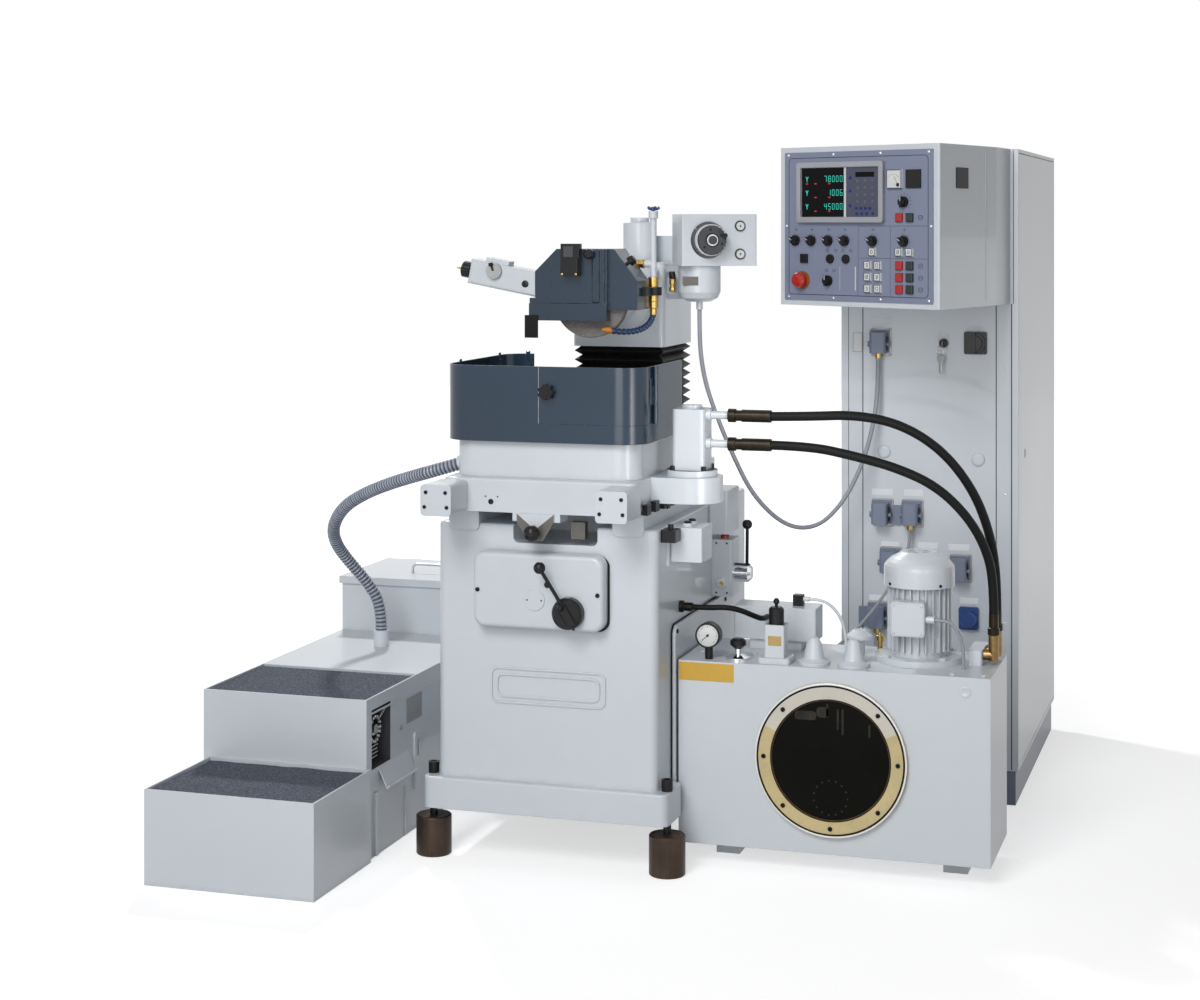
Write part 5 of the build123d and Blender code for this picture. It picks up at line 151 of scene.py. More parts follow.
SPARE_KEY = Face((847, 832, 1250), (0.94, -0.34, 0))
PANEL = Face((683, 484.5, 1588.5), (0.872, -0.4896, 0))
DESK_SIDE = Face((967.5, 532.5, 1588.5), (0.2594, 0.9658, 0))
INFEED = Face((292, 560, 1551), (0.866, 0.5, 0))
FEED_MOTOR = Face((225, 542.3, 1440))
GUARD_FRONT = Face((0, 284, 0))
LIMIT_SWITCH = Face((-36, 252, 1500))
DRESSER_UP = (0.1822, 0, 0.9833)
DRESSER = Face((-140, 281, 1435), (0.9833, 0, -0.1822), DRESSER_UP)
DRESSER_END = Face((-356.6, 312, 1475.1), (0, -1, 0), DRESSER_UP)
HEAD_FRONT = Face((0, 575, 0))
HEAD_VALVE = Face((157, 566, 1410), up=BACK)
PIPE_TOP = Face((142, 432, 1629), up=BACK)
PIPE_UNION = Face((94, 432, 1488), BACK)


class Net:
    """Lays out the shader nodes of one material or group."""

    def __init__(self, tree):
        self.tree = tree

    def put(self, socket, value):
        if isinstance(value, bpy.types.NodeSocket):
            self.tree.links.new(value, socket)
        else:
            socket.default_value = value

    def add(self, kind, settings=None, **inputs):
        node = self.tree.nodes.new("ShaderNode" + kind)
        for key, value in (settings or {}).items():
            setattr(node, key, value)
        for key, value in inputs.items():
            self.put(node.inputs[key.replace("_", " ")], value)
        return node

    def group(self, name, **inputs):
        return self.add("Group", {"node_tree": bpy.data.node_groups[name]}, **inputs)

    def math(self, operation, first, second=0.0):
        node = self.add("Math", {"operation": operation})
        self.put(node.inputs[0], first)
        self.put(node.inputs[1], second)
        return node.outputs[0]

    def vector(self, operation, first, **inputs):
        node = self.add("VectorMath", {"operation": operation}, **inputs)
        self.put(node.inputs[0], first)
        return node

    def spread(self, value, low, high, to_low=0.0, to_high=1.0):
        node = self.add("MapRange", None, From_Min=low, From_Max=high, To_Min=to_low, To_Max=to_high)
        self.put(node.inputs["Value"], value)
        return node.outputs[0]

    def mix(self, share, first, second):
        """A blend of two colours; the node keeps its colour sockets behind those for plain values."""
        node = self.add("Mix", {"data_type": "RGBA"})
        for index, value in ((0, share), (6, first), (7, second)):
            self.put(node.inputs[index], value)
        return node.outputs[2]

    def place(self):
        return self.add("TexCoord").outputs["Object"]

    def noise(self, scale, detail=3.0, place=None):
        return self.add("TexNoise", None, Detail=detail, Scale=scale, Vector=place or self.place()).outputs["Fac"]


FLOAT = "NodeSocketFloat"
COLOUR = "NodeSocketColor"
VECTOR = "NodeSocketVector"
MOST_OF_NOISE = (0.3, 0.7)
RAY_SAMPLES = 4


def new_group(name, inputs, outputs):
    """An empty shader group with its sockets: the net to fill, its inputs and its outputs."""
    tree = bpy.data.node_groups.new(name, "ShaderNodeTree")
    for label, kind, default in inputs:
        socket = tree.interface.new_socket(label, in_out="INPUT", socket_type=kind)
        socket.default_value = default
    for label, kind in outputs:
        tree.interface.new_socket(label, in_out="OUTPUT", socket_type=kind)
    source = tree.nodes.new("NodeGroupInput").outputs
    sink = tree.nodes.new("NodeGroupOutput").inputs
    return Net(tree), source, sink


def make_groups():
    """The effects that several finishes share."""
    grey = (0.5, 0.5, 0.5, 1.0)
    net, source, sink = new_group(
        "Cloudy tone", [("Colour", COLOUR, grey), ("Scale", FLOAT, 2.5), ("Spread", FLOAT, 0.05)],
        [("Colour", COLOUR), ("Tone", FLOAT)])
    broad = net.noise(source["Scale"], 4.0)
    fine = net.noise(net.math("MULTIPLY", source["Scale"], 14.0), 2.0)
    tone = net.math("ADD", net.math("MULTIPLY", broad, 0.75), net.math("MULTIPLY", fine, 0.25))
    swing = net.math("MULTIPLY", net.spread(tone, *MOST_OF_NOISE, -1.0, 1.0), source["Spread"])
    scaled = net.vector("SCALE", source["Colour"], Scale=net.math("ADD", swing, 1.0))
    net.put(sink["Colour"], scaled.outputs[0])
    net.put(sink["Tone"], tone)

    net, source, sink = new_group("Fine grain", [("Scale", FLOAT, 600.0)], [("Height", FLOAT)])
    net.put(sink["Height"], net.noise(source["Scale"], 2.0))

    # Edge wear and a painted highlight: edges turn towards a lighter colour in noisy patches, and the bevel's normal
    # rounds them.
    net, source, sink = new_group(
        "Edge wear", [("Width", FLOAT, 0.0012), ("Patches", FLOAT, 40.0)], [("Mask", FLOAT), ("Normal", VECTOR)])
    soft = net.add("Bevel", {"samples": RAY_SAMPLES}, Radius=source["Width"]).outputs[0]
    dot = net.vector("DOT_PRODUCT", soft)
    net.put(dot.inputs[1], net.add("NewGeometry").outputs["Normal"])
    edge = net.spread(dot.outputs["Value"], 0.97, 0.80)
    patch = net.spread(net.noise(source["Patches"], 5.0), 0.48, 0.62)
    net.put(sink["Mask"], net.math("MULTIPLY", edge, patch))
    net.put(sink["Normal"], soft)

    # Painted shade: darkens where ambient occlusion finds a hollow or corner, broken into smears of grime.
    net, source, sink = new_group("Corner dirt", [("Reach", FLOAT, 0.03)], [("Mask", FLOAT)])
    hollow = net.add("AmbientOcclusion", {"samples": RAY_SAMPLES}, Distance=source["Reach"])
    depth = net.spread(hollow.outputs["AO"], 0.75, 0.2)
    smears = net.spread(net.noise(25.0, 4.0), *MOST_OF_NOISE, 0.3, 1.0)
    net.put(sink["Mask"], net.math("MULTIPLY", depth, smears))

    net, source, sink = new_group(
        "Drawn lines", [("Scale", FLOAT, 900.0), ("Stretch", VECTOR, (1.0, 1.0, 0.02))],
        [("Height", FLOAT), ("Tone", FLOAT)])
    place = net.vector("MULTIPLY", net.place())
    net.put(place.inputs[1], source["Stretch"])
    lines = net.noise(source["Scale"], 3.0, place.outputs[0])
    net.put(sink["Height"], lines)
    net.put(sink["Tone"], net.spread(lines, *MOST_OF_NOISE))

    net, source, sink = new_group("Grit", [("Scale", FLOAT, 900.0)], [("Tone", FLOAT), ("Height", FLOAT)])
    cells = net.add("TexVoronoi", None, Scale=source["Scale"], Vector=net.place()).outputs
    speck = net.add("SeparateColor", None, Color=cells["Color"])
    net.put(sink["Tone"], speck.outputs[0])
    net.put(sink["Height"], net.math("SUBTRACT", 1.0, cells["Distance"]))


def rgba(colour):
    return (*colour, 1.0)


def shade(colour, share):
    return [part * share for part in colour]


GLOSS_SWING = 0.025
GRAIN_DEPTH = 0.0006
LINE_SHADE = 0.55
# How dark a colour gets in the painted shade and grime of corners and hollows.
HOLLOW_SHADE_AND_GRIME = 0.35


def finish(name, colour, rough, metal=0.0, cloud=(2.5, 0.05), grain=(600.0, 0.12), edge=None, shade_and_grime=0.0,
           lines=None, grit=None, coat=0.0, shine=0.5, glow=None):
    """One surface finish: its cloudy colour, worn edges that also carry a painted highlight, painted shade with grime
    in the corners, grain and gloss.
    cloud is (scale, share); grain is (scale, strength); edge is (the lighter colour of the edges, width, patch size);
    lines is (scale, stretch, share); grit is (scale, second colour); glow is (colour, strength)."""
    material = bpy.data.materials.new(name)
    material.use_nodes = True
    net = Net(material.node_tree)
    shader = material.node_tree.nodes["Principled BSDF"]
    tone = net.group("Cloudy tone", Colour=rgba(colour), Scale=cloud[0], Spread=cloud[1])
    base = tone.outputs["Colour"]
    height = net.group("Fine grain", Scale=grain[0]).outputs["Height"]
    gloss = net.spread(tone.outputs["Tone"], *MOST_OF_NOISE, rough - GLOSS_SWING, min(1.0, rough + GLOSS_SWING))
    if lines:
        drawn = net.group("Drawn lines", Scale=lines[0], Stretch=lines[1])
        height = drawn.outputs["Height"]
        dark = net.math("MULTIPLY", drawn.outputs["Tone"], lines[2])
        base = net.mix(dark, base, rgba(shade(colour, LINE_SHADE)))
    if grit:
        grains = net.group("Grit", Scale=grit[0])
        height = grains.outputs["Height"]
        base = net.mix(net.math("POWER", grains.outputs["Tone"], 3.0), base, rgba(grit[1]))
    wear_and_highlight = net.group("Edge wear", Width=edge[1] if edge else 0.0008, Patches=edge[2] if edge else 40.0)
    # Painted shade, with grime, darkens the finish in corners and hollows.
    if shade_and_grime:
        mask = net.math("MULTIPLY", net.group("Corner dirt").outputs["Mask"], shade_and_grime)
        base = net.mix(mask, base, rgba(shade(colour, HOLLOW_SHADE_AND_GRIME)))
    # Edges go lighter: partly wear, partly a painted highlight along them.
    if edge:
        base = net.mix(wear_and_highlight.outputs["Mask"], base, rgba(edge[0]))
    bump = net.add("Bump", None, Strength=grain[1], Distance=GRAIN_DEPTH, Height=height,
                   Normal=wear_and_highlight.outputs["Normal"])
    sockets = {"Base Color": base, "Roughness": gloss, "Normal": bump.outputs[0], "Metallic": metal,
               "Coat Weight": coat, "Specular IOR Level": shine}
    if glow:
        sockets.update({"Emission Color": rgba(glow[0]), "Emission Strength": glow[1]})
    for key, value in sockets.items():
        net.put(shader.inputs[key], value)


def stuff(name):
    return bpy.data.materials[name]


def colour_prop(name, description, default):
    return bpy.props.FloatVectorProperty(
        name=name, description=description, default=default, subtype="COLOR", size=3, min=0.0, max=1.0)


def length_prop(name, description, default):
    return bpy.props.FloatProperty(name=name, description=description, default=default, unit="LENGTH", min=0.0)


class GrinderColours(bpy.types.PropertyGroup):
    """Colours of the grinder's finishes."""

    paint: colour_prop("Machine paint", "Light grey paint of castings, tank and cabinet", (0.60, 0.64, 0.68))
    slate: colour_prop("Slate enamel", "Enamel of the wheel guard and the splash guard", (0.016, 0.036, 0.062))
    plinth: colour_prop("Plinth paint", "Dark paint of the cabinet's plinth", (0.15, 0.175, 0.235))
    foil: colour_prop("Panel foil", "Foil on the control panel", (0.205, 0.232, 0.325))
    keypad: colour_prop("Keypad foil", "Dark foil beside the display", (0.05, 0.055, 0.09))
    label: colour_prop("Tank plate", "Plain plate on the hydraulic tank", (0.62, 0.37, 0.045))
    hood: colour_prop("Hood plastic", "Socket hoods on the cabinet", (0.18, 0.216, 0.296))
    hose: colour_prop("Drain hose", "Ribbed plastic of the drain hose", (0.30, 0.34, 0.42))
    lead: colour_prop("Leads", "Sheath of cables and leads", (0.30, 0.31, 0.35))
    fleece: colour_prop("Filter fleece", "Dirt-laden filter fleece", (0.028, 0.034, 0.048))
    wheel: colour_prop("Grinding wheel", "Grit of the wheel", (0.16, 0.145, 0.135))
    stop: colour_prop("Stop red", "Stop buttons and the emergency stop", (0.42, 0.014, 0.010))
    start: colour_prop("Start green", "Start buttons", (0.008, 0.018, 0.013))


class GrinderSizes(bpy.types.PropertyGroup):
    """Sizes of the pieces that scene.py makes."""

    drain: length_prop("Drain hose", "Outside diameter of the ribbed drain hose", 0.035)
    rib_pitch: length_prop("Rib pitch", "Distance between the ribs of the drain hose", 0.011)
    pressure: length_prop("Pressure hose", "Outside diameter of the two pressure hoses", 0.023)
    pilot: length_prop("Pilot hose", "Outside diameter of the pilot hose", 0.014)
    cable: length_prop("Feed cable", "Outside diameter of the feed motor's cable", 0.012)
    lead: length_prop("Leads", "Outside diameter of the signal leads", 0.008)
    pleats: bpy.props.IntProperty(name="Pleats", description="Pleats of the bellows", default=13, min=3)
    fold: length_prop("Fold", "Depth of a pleat", 0.017)
    cover_screw: length_prop("Cover screw", "Head diameter of the black cover screws", 0.011)
    panel_screw: length_prop("Panel screw", "Head diameter of the panel's screws", 0.008)


def colours():
    return bpy.context.scene.grinder_colours


def sizes():
    return bpy.context.scene.grinder_sizes


# A corner up to SHARP is sharp; the inner line of a round one keeps LEAST_CORNER, and so has as many points.
CORNER_STEPS = 5
SHARP = 0.01
LEAST_CORNER = 0.02


class Maker:
    """Gathers the shapes of one piece and hands it over as an object that rides on a body.
    Each shape gives the maker back, so that the next one can follow."""

    def __init__(self):
        self.mesh = bmesh.new()

    def ring(self, points):
        return [self.mesh.verts.new(point) for point in points]

    def skin(self, first, second):
        """Closes the band between two rings of as many points."""
        count = len(first)
        for i in range(count):
            j = (i + 1) % count
            self.mesh.faces.new((first[i], first[j], second[j], second[i]))

    def stack(self, rings, start=True, end=True):
        made = [self.ring(points) for points in rings]
        for first, second in zip(made, made[1:]):
            self.skin(first, second)
        if start:
            self.mesh.faces.new(list(reversed(made[0])))
        if end:
            self.mesh.faces.new(made[-1])
        return self

    def lathe(self, face, u, v, profile, sides=24, start=True, end=True, turn=0.0):
        """A turned form square to a face: profile lists (radius, height) in millimetres."""
        angles = [turn + math.tau * i / sides for i in range(sides)]
        return self.stack([[face.at(*polar(radius, angle, u, v), height) for angle in angles]
                           for radius, height in profile], start, end)

    def outline(self, face, u, v, width, height, corner, h, turn=0.0):
        """Points of a rectangle with round corners on a face."""
        points = []
        corner = max(0.0, min(corner, width / 2, height / 2))
        steps = CORNER_STEPS if corner > SHARP else 1
        for k, (sx, sy) in enumerate(((1, 1), (-1, 1), (-1, -1), (1, -1))):
            for i in range(steps):
                angle = math.tau / 4 * (k + (i / (steps - 1) if steps > 1 else 0.5))
                a, b = polar(corner, angle, sx * (width / 2 - corner), sy * (height / 2 - corner))
                points.append(face.at(u + a * math.cos(turn) - b * math.sin(turn),
                                      v + a * math.sin(turn) + b * math.cos(turn), h))
        return points

    def plate(self, face, u, v, width, height, thick, corner=0.0, soft=0.3, h=0.0, turn=0.0):
        """A flat plate on a face, with its front edge softened."""
        soft = min(soft, thick / 2)
        inner = max(corner - soft, LEAST_CORNER) if corner > SHARP else 0.0
        return self.stack([
            self.outline(face, u, v, width, height, corner, h, turn),
            self.outline(face, u, v, width, height, corner, h + thick - soft, turn),
            self.outline(face, u, v, width - 2 * soft, height - 2 * soft, inner, h + thick, turn)])

    def slab(self, face, points, thick, h=0.0):
        """A flat plate of any outline, its corners listed to the left about."""
        return self.stack([[face.at(u, v, height) for u, v in points] for height in (h, h + thick)])

    def border(self, face, u, v, width, height, line, thick, corner, h=0.0):
        """A raised line that runs round a rectangle."""
        inner = (width - 2 * line, height - 2 * line, max(corner - line, LEAST_CORNER))
        made = [self.ring(self.outline(face, u, v, *size, level)) for size, level in (
            ((width, height, corner), h), ((width, height, corner), h + thick), (inner, h + thick), (inner, h))]
        for first, second in zip(made, made[1:] + made[:1]):
            self.skin(first, second)
        return self

    def bar(self, face, start, end, width, thick, h=0.0):
        """A straight flat bar between two points of a face."""
        (u0, v0), (u1, v1) = start, end
        long = math.hypot(u1 - u0, v1 - v0)
        return self.plate(face, (u0 + u1) / 2, (v0 + v1) / 2, long, width, thick, 0.0, min(0.2, thick / 3), h,
                          math.atan2(v1 - v0, u1 - u0))

    def tick(self, face, u, v, inner, outer, angle, width, thick, h=0.0):
        """A bar that points away from (u, v)."""
        return self.bar(face, polar(inner, angle, u, v), polar(outer, angle, u, v), width, thick, h)

    def washer(self, face, u, v, inner, outer, thick, h=0.0, sides=48):
        """A flat ring with softened edges."""
        soft = min(0.4, thick / 3)
        profile = [(inner, h), (outer, h), (outer, h + thick - soft), (outer - soft, h + thick),
                   (inner + soft, h + thick), (inner, h + thick - soft), (inner, h)]
        return self.lathe(face, u, v, profile, sides, False, False)

    def socket_screw(self, face, u, v, head, h=0.0):
        """Cap screw with a hexagon socket, its head standing a little proud."""
        r = head / 2
        up = h + head * 0.28
        self.lathe(face, u, v, [(r, h), (r, up - 0.6), (r - 0.6, up), (r * 0.5, up)], 20, True, False)
        return self.lathe(face, u, v, [(r * 0.5, up), (r * 0.46, h + 0.3)], 6, False, True)

    def dome_screw(self, face, u, v, head, h=0.0):
        """Round-headed screw."""
        r = head / 2
        profile = [(r * wide, h + r * high) for wide, high in ((1.0, 0.0), (0.94, 0.25), (0.7, 0.45), (0.3, 0.55))]
        return self.lathe(face, u, v, profile, 16)

    def hex_bolt(self, face, u, v, across, h=0.0):
        """Hexagon head on its washer."""
        r = across / 2 / math.cos(math.pi / 6)
        high = h + across * 0.42
        self.lathe(face, u, v, [(across * 0.72, h), (across * 0.72, h + 1.4), (across * 0.66, h + 1.8)], 20)
        return self.lathe(face, u, v, [(r, h + 1.6), (r, high - 1.0), (r * 0.88, high)], 6, turn=0.3)

    def each(self, shape, face, places, *values):
        """The same shape at several places of a face."""
        for u, v in places:
            shape(self, face, u, v, *values)
        return self

    def sweep(self, line, radius, sides):
        """A tube along a line of points; its radius is in metres, or a function of the way along the line."""
        tangents = [(line[min(i + 1, len(line) - 1)] - line[max(i - 1, 0)]).normalized() for i in range(len(line))]
        side = tangents[0].orthogonal().normalized()
        s = 0.0
        rings = []
        for i, point in enumerate(line):
            if i:
                s += (point - line[i - 1]).length
                side = (side - tangents[i] * side.dot(tangents[i])).normalized()
            across = tangents[i].cross(side)
            r = radius(s) if callable(radius) else radius
            angles = [math.tau * k / sides for k in range(sides)]
            rings.append([point + (side * math.cos(angle) + across * math.sin(angle)) * r for angle in angles])
        return self.stack(rings)

    def done(self, name, body, slot, *finishes, crease=35.0):
        """The finished piece, smooth but for its sharp edges, in its finishes and on its body."""
        bmesh.ops.recalc_face_normals(self.mesh, faces=self.mesh.faces[:])
        for face in self.mesh.faces:
            face.smooth = True
        for edge in self.mesh.edges:
            if len(edge.link_faces) == 2 and edge.calc_face_angle(0.0) > math.radians(crease):
                edge.smooth = False
        mesh = bpy.data.meshes.new(name)
        self.mesh.to_mesh(mesh)
        self.mesh.free()
        piece = bpy.data.objects.new(name, mesh)
        bpy.context.scene.collection.objects.link(piece)
        for material in finishes:
            mesh.materials.append(stuff(material))
        if body:
            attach(piece, body)
        return piece


def seen_share(net):
    """One for rays that show the backdrop, straight, in a reflection or through glass, and nought for the rest."""
    paths = net.add("LightPath").outputs
    return net.math("MAXIMUM", paths["Is Camera Ray"],
                    net.math("MAXIMUM", paths["Is Glossy Ray"], paths["Is Transmission Ray"]))


# Each lamp's name, place, aim, size, power and spread in degrees.
LAMPS = (
    ("key", (-0.3, -6.0, 4.9), (0.8, 0.2, 0.9), 2.6, 60.0, 90.0),
    ("front fill", (0.5, -6.6, 1.9), (0.6, 0.0, 0.8), 3.0, 104.0, 180.0),
    ("back top", (-2.04, 2.58, 4.1), (-0.3, -0.3, 0.5), 0.4, 125.0, 180.0),
    ("machine side", (1.15, -1.3, 0.95), (0.15, -0.25, 1.15), 0.5, 0.7, 50.0),
    ("cabinet side", (2.1, 1.75, 1.1), (0.96, 0.75, 0.85), 0.9, 0.55, 56.0),
)


class GRINDER_OT_stage(bpy.types.Operator):
    """Set the floor, the light and the camera."""

    bl_idname = "grinder.stage"
    bl_label = "Stage"

    def execute(self, context):
        scene = context.scene
        scene.view_settings.view_transform = "Standard"
        mesh = bpy.data.meshes.new("floor")
        shape = bmesh.new()
        bmesh.ops.create_grid(shape, x_segments=8, y_segments=8, size=14.0)
        shape.to_mesh(mesh)
        shape.free()
        floor = bpy.data.objects.new("floor", mesh)
        scene.collection.objects.link(floor)
        pale = bpy.data.materials.new("studio floor")
        pale.use_nodes = True
        net = Net(pale.node_tree)
        away = net.vector("LENGTH", net.place()).outputs["Value"]
        glow = net.math("MULTIPLY", net.spread(away, 1.6, 5.0, 0.60, 1.0), seen_share(net))
        shader = pale.node_tree.nodes["Principled BSDF"]
        for key, value in (("Base Color", (0.64, 0.64, 0.645, 1.0)), ("Roughness", 0.9), ("Specular IOR Level", 0.1),
                           ("Emission Color", WHITE), ("Emission Strength", glow)):
            net.put(shader.inputs[key], value)
        mesh.materials.append(pale)

        world = bpy.data.worlds.new("studio")
        scene.world = world
        world.use_nodes = True
        net = Net(world.node_tree)
        back = world.node_tree.nodes["Background"]
        back.inputs["Color"].default_value = WHITE
        net.put(back.inputs["Strength"], net.spread(seen_share(net), 0.0, 1.0, 0.16, 1.0))

        for name, place, aim, size, power, spread in LAMPS:
            lamp = bpy.data.lights.new(name, "AREA")
            lamp.shape = "SQUARE"
            lamp.size = size
            lamp.energy = power
            lamp.spread = math.radians(spread)
            holder = bpy.data.objects.new(name, lamp)
            holder.location = place
            look = Vector(aim) - Vector(place)
            holder.rotation_euler = look.to_track_quat("-Z", "Y").to_euler()
            holder.visible_camera = False
            scene.collection.objects.link(holder)

        lens = bpy.data.cameras.new("camera")
        lens.sensor_width = 36.0
        lens.lens = 65.4
        lens.shift_y = -0.2317
        lens.clip_end = 60.0
        camera = bpy.data.objects.new("camera", lens)
        camera.location = at(1757.5, -5165.0, 1600.0)
        camera.rotation_euler = (math.radians(90.0), 0.0, math.radians(17.5))
        scene.collection.objects.link(camera)
        scene.camera = camera
        return {"FINISHED"}


ANY = (-1e9, 1e9)
PART_MARGIN = 0.2


def dress(node, plain, *parts, face=None):
    """Gives a CAD node its finish, and other finishes to the faces whose middles lie in a box.
    A part is (finish, x range, y range, z range) in machine millimetres, or in a face's own right, up and out
    where a face is given for the node or as the part's last item."""
    mesh = nodes[node].data
    mesh.materials.clear()
    for name in (plain, *(part[0] for part in parts)):
        mesh.materials.append(stuff(name))
    for polygon in mesh.polygons:
        middle = polygon.center
        plain_spot = (middle.x / MM + ZERO_X, middle.y / MM + ZERO_Y, middle.z / MM)
        polygon.material_index = 0
        for index, (name, *ranges) in enumerate(parts):
            own = ranges[3] if len(ranges) > 3 else face
            spot = own.local(middle) if own else plain_spot
            if all(low - PART_MARGIN <= value <= high + PART_MARGIN for value, (low, high) in zip(spot, ranges)):
                polygon.material_index = index + 1
                break


class GRINDER_OT_finishes(bpy.types.Operator):
    """Mix the finishes."""

    bl_idname = "grinder.finishes"
    bl_label = "Finishes"

    def execute(self, context):
        make_groups()
        c = colours()
        across = (0.05, 1.0, 1.0)
        # The paints' edge colours are the paint made lighter, a painted highlight along the edges; their corner
        # darkening is painted shade with grime.
        finish("machine paint", c.paint, 0.31, cloud=(1.6, 0.035), grain=(420.0, 0.08), coat=0.25,
               edge=(shade(c.paint, 1.12), 0.0022, 30.0), shade_and_grime=0.5)
        finish("sheet paint", c.paint, 0.36, cloud=(1.1, 0.03), grain=(700.0, 0.08), coat=0.15,
               edge=(shade(c.paint, 1.1), 0.0014, 30.0), shade_and_grime=0.5)
        finish("plinth paint", c.plinth, 0.38, cloud=(3.0, 0.12), edge=((0.2, 0.21, 0.24), 0.0015, 25.0))
        finish("slate enamel", c.slate, 0.22, cloud=(3.0, 0.08), grain=(900.0, 0.05), coat=0.1, shine=0.42,
               edge=((0.16, 0.19, 0.22), 0.0018, 40.0), shade_and_grime=0.3)

        finish("bright steel", (0.62, 0.62, 0.61), 0.31, 1.0, cloud=(9.0, 0.08),
               lines=(700.0, (1.0, 0.03, 1.0), 0.25), edge=((0.8, 0.8, 0.79), 0.0008, 60.0))
        finish("ground steel", (0.50, 0.50, 0.50), 0.245, 1.0, cloud=(12.0, 0.10),
               lines=(900.0, (0.04, 1.0, 1.0), 0.35), edge=((0.75, 0.75, 0.74), 0.0008, 60.0))
        finish("chrome", (0.80, 0.80, 0.80), 0.10, 1.0, cloud=(20.0, 0.03), grain=(300.0, 0.02))
        finish("scaled steel", (0.060, 0.040, 0.028), 0.42, 0.7, cloud=(14.0, 0.40), grain=(260.0, 0.35),
               lines=(160.0, (1.0, 1.0, 0.06), 0.5), edge=((0.20, 0.15, 0.11), 0.0020, 50.0))
        finish("black steel", (0.009, 0.009, 0.010), 0.36, 0.1, cloud=(20.0, 0.2), shine=0.25,
               edge=((0.07, 0.07, 0.07), 0.0006, 90.0))
        finish("dull steel", (0.13, 0.122, 0.112), 0.42, 0.5, cloud=(20.0, 0.15),
               lines=(600.0, (1.0, 1.0, 0.05), 0.3), edge=((0.45, 0.44, 0.42), 0.0008, 60.0))
        finish("deep steel", (0.030, 0.027, 0.023), 0.35, cloud=(30.0, 0.4), shine=0.1)
        finish("brass", (0.46, 0.31, 0.10), 0.31, 1.0, cloud=(25.0, 0.18), grain=(500.0, 0.08),
               edge=((0.70, 0.52, 0.22), 0.0008, 80.0), shade_and_grime=0.5)
        finish("bronzed steel", (0.018, 0.013, 0.008), 0.34, 0.8, cloud=(40.0, 0.45), grain=(500.0, 0.08),
               edge=((0.42, 0.30, 0.15), 0.0007, 80.0))
        finish("oiled bronze", (0.20, 0.13, 0.055), 0.31, 1.0, cloud=(40.0, 0.35), grain=(500.0, 0.08),
               edge=((0.55, 0.40, 0.18), 0.0007, 80.0))
        finish("bezel metal", (0.34, 0.35, 0.38), 0.38, 0.55, cloud=(8.0, 0.05), grain=(1400.0, 0.15),
               edge=((0.55, 0.56, 0.58), 0.0012, 60.0))
        finish("etched plate", (0.36, 0.36, 0.37), 0.42, 0.5, cloud=(20.0, 0.10), lines=(900.0, across, 0.3))
        finish("gilt plate", (0.36, 0.26, 0.10), 0.40, 0.8, cloud=(25.0, 0.15), lines=(900.0, across, 0.3))
        finish("yellow plate", c.label, 0.40, cloud=(9.0, 0.06), grain=(900.0, 0.05),
               edge=((0.75, 0.55, 0.2), 0.0008, 60.0))
        finish("rim plate", (0.58, 0.55, 0.47), 0.38, cloud=(9.0, 0.06), grain=(700.0, 0.06), coat=0.6)
        finish("oiled rim", (0.55, 0.44, 0.21), 0.34, cloud=(11.0, 0.16), grain=(700.0, 0.06), coat=0.6)
        finish("rust rim", (0.10, 0.050, 0.016), 0.5, cloud=(25.0, 0.3), grain=(700.0, 0.2), shine=0.2)

        finish("black plastic", (0.008, 0.008, 0.009), 0.32, cloud=(10.0, 0.15), grain=(1200.0, 0.06), shine=0.25,
               edge=((0.035, 0.035, 0.037), 0.0007, 80.0))
        finish("dial grey", (0.058, 0.060, 0.066), 0.36, cloud=(20.0, 0.10), grain=(1200.0, 0.08), shine=0.3,
               edge=((0.13, 0.13, 0.14), 0.0008, 80.0))
        finish("blue plastic", (0.018, 0.060, 0.22), 0.36, cloud=(15.0, 0.08), grain=(1400.0, 0.08),
               edge=((0.07, 0.16, 0.42), 0.0008, 60.0))
        finish("hood plastic", c.hood, 0.45, cloud=(12.0, 0.08), grain=(1400.0, 0.15),
               edge=((0.30, 0.33, 0.38), 0.0009, 70.0), shade_and_grime=0.5)
        finish("hose plastic", c.hose, 0.31, cloud=(8.0, 0.10), grain=(800.0, 0.05), coat=0.3, shade_and_grime=0.6)
        # The hose's colour at a quarter for the hollows between the ribs: painted shade.
        finish("hose groove", shade(c.hose, 0.24), 0.5, cloud=(8.0, 0.10), grain=(800.0, 0.05))
        finish("grinding grit", c.wheel, 0.92, cloud=(20.0, 0.12), grain=(900.0, 0.9),
               grit=(620.0, (0.30, 0.28, 0.26)))
        finish("laden fleece", c.fleece, 0.95, cloud=(6.0, 0.20), grain=(900.0, 1.0),
               grit=(420.0, (0.16, 0.185, 0.25)))

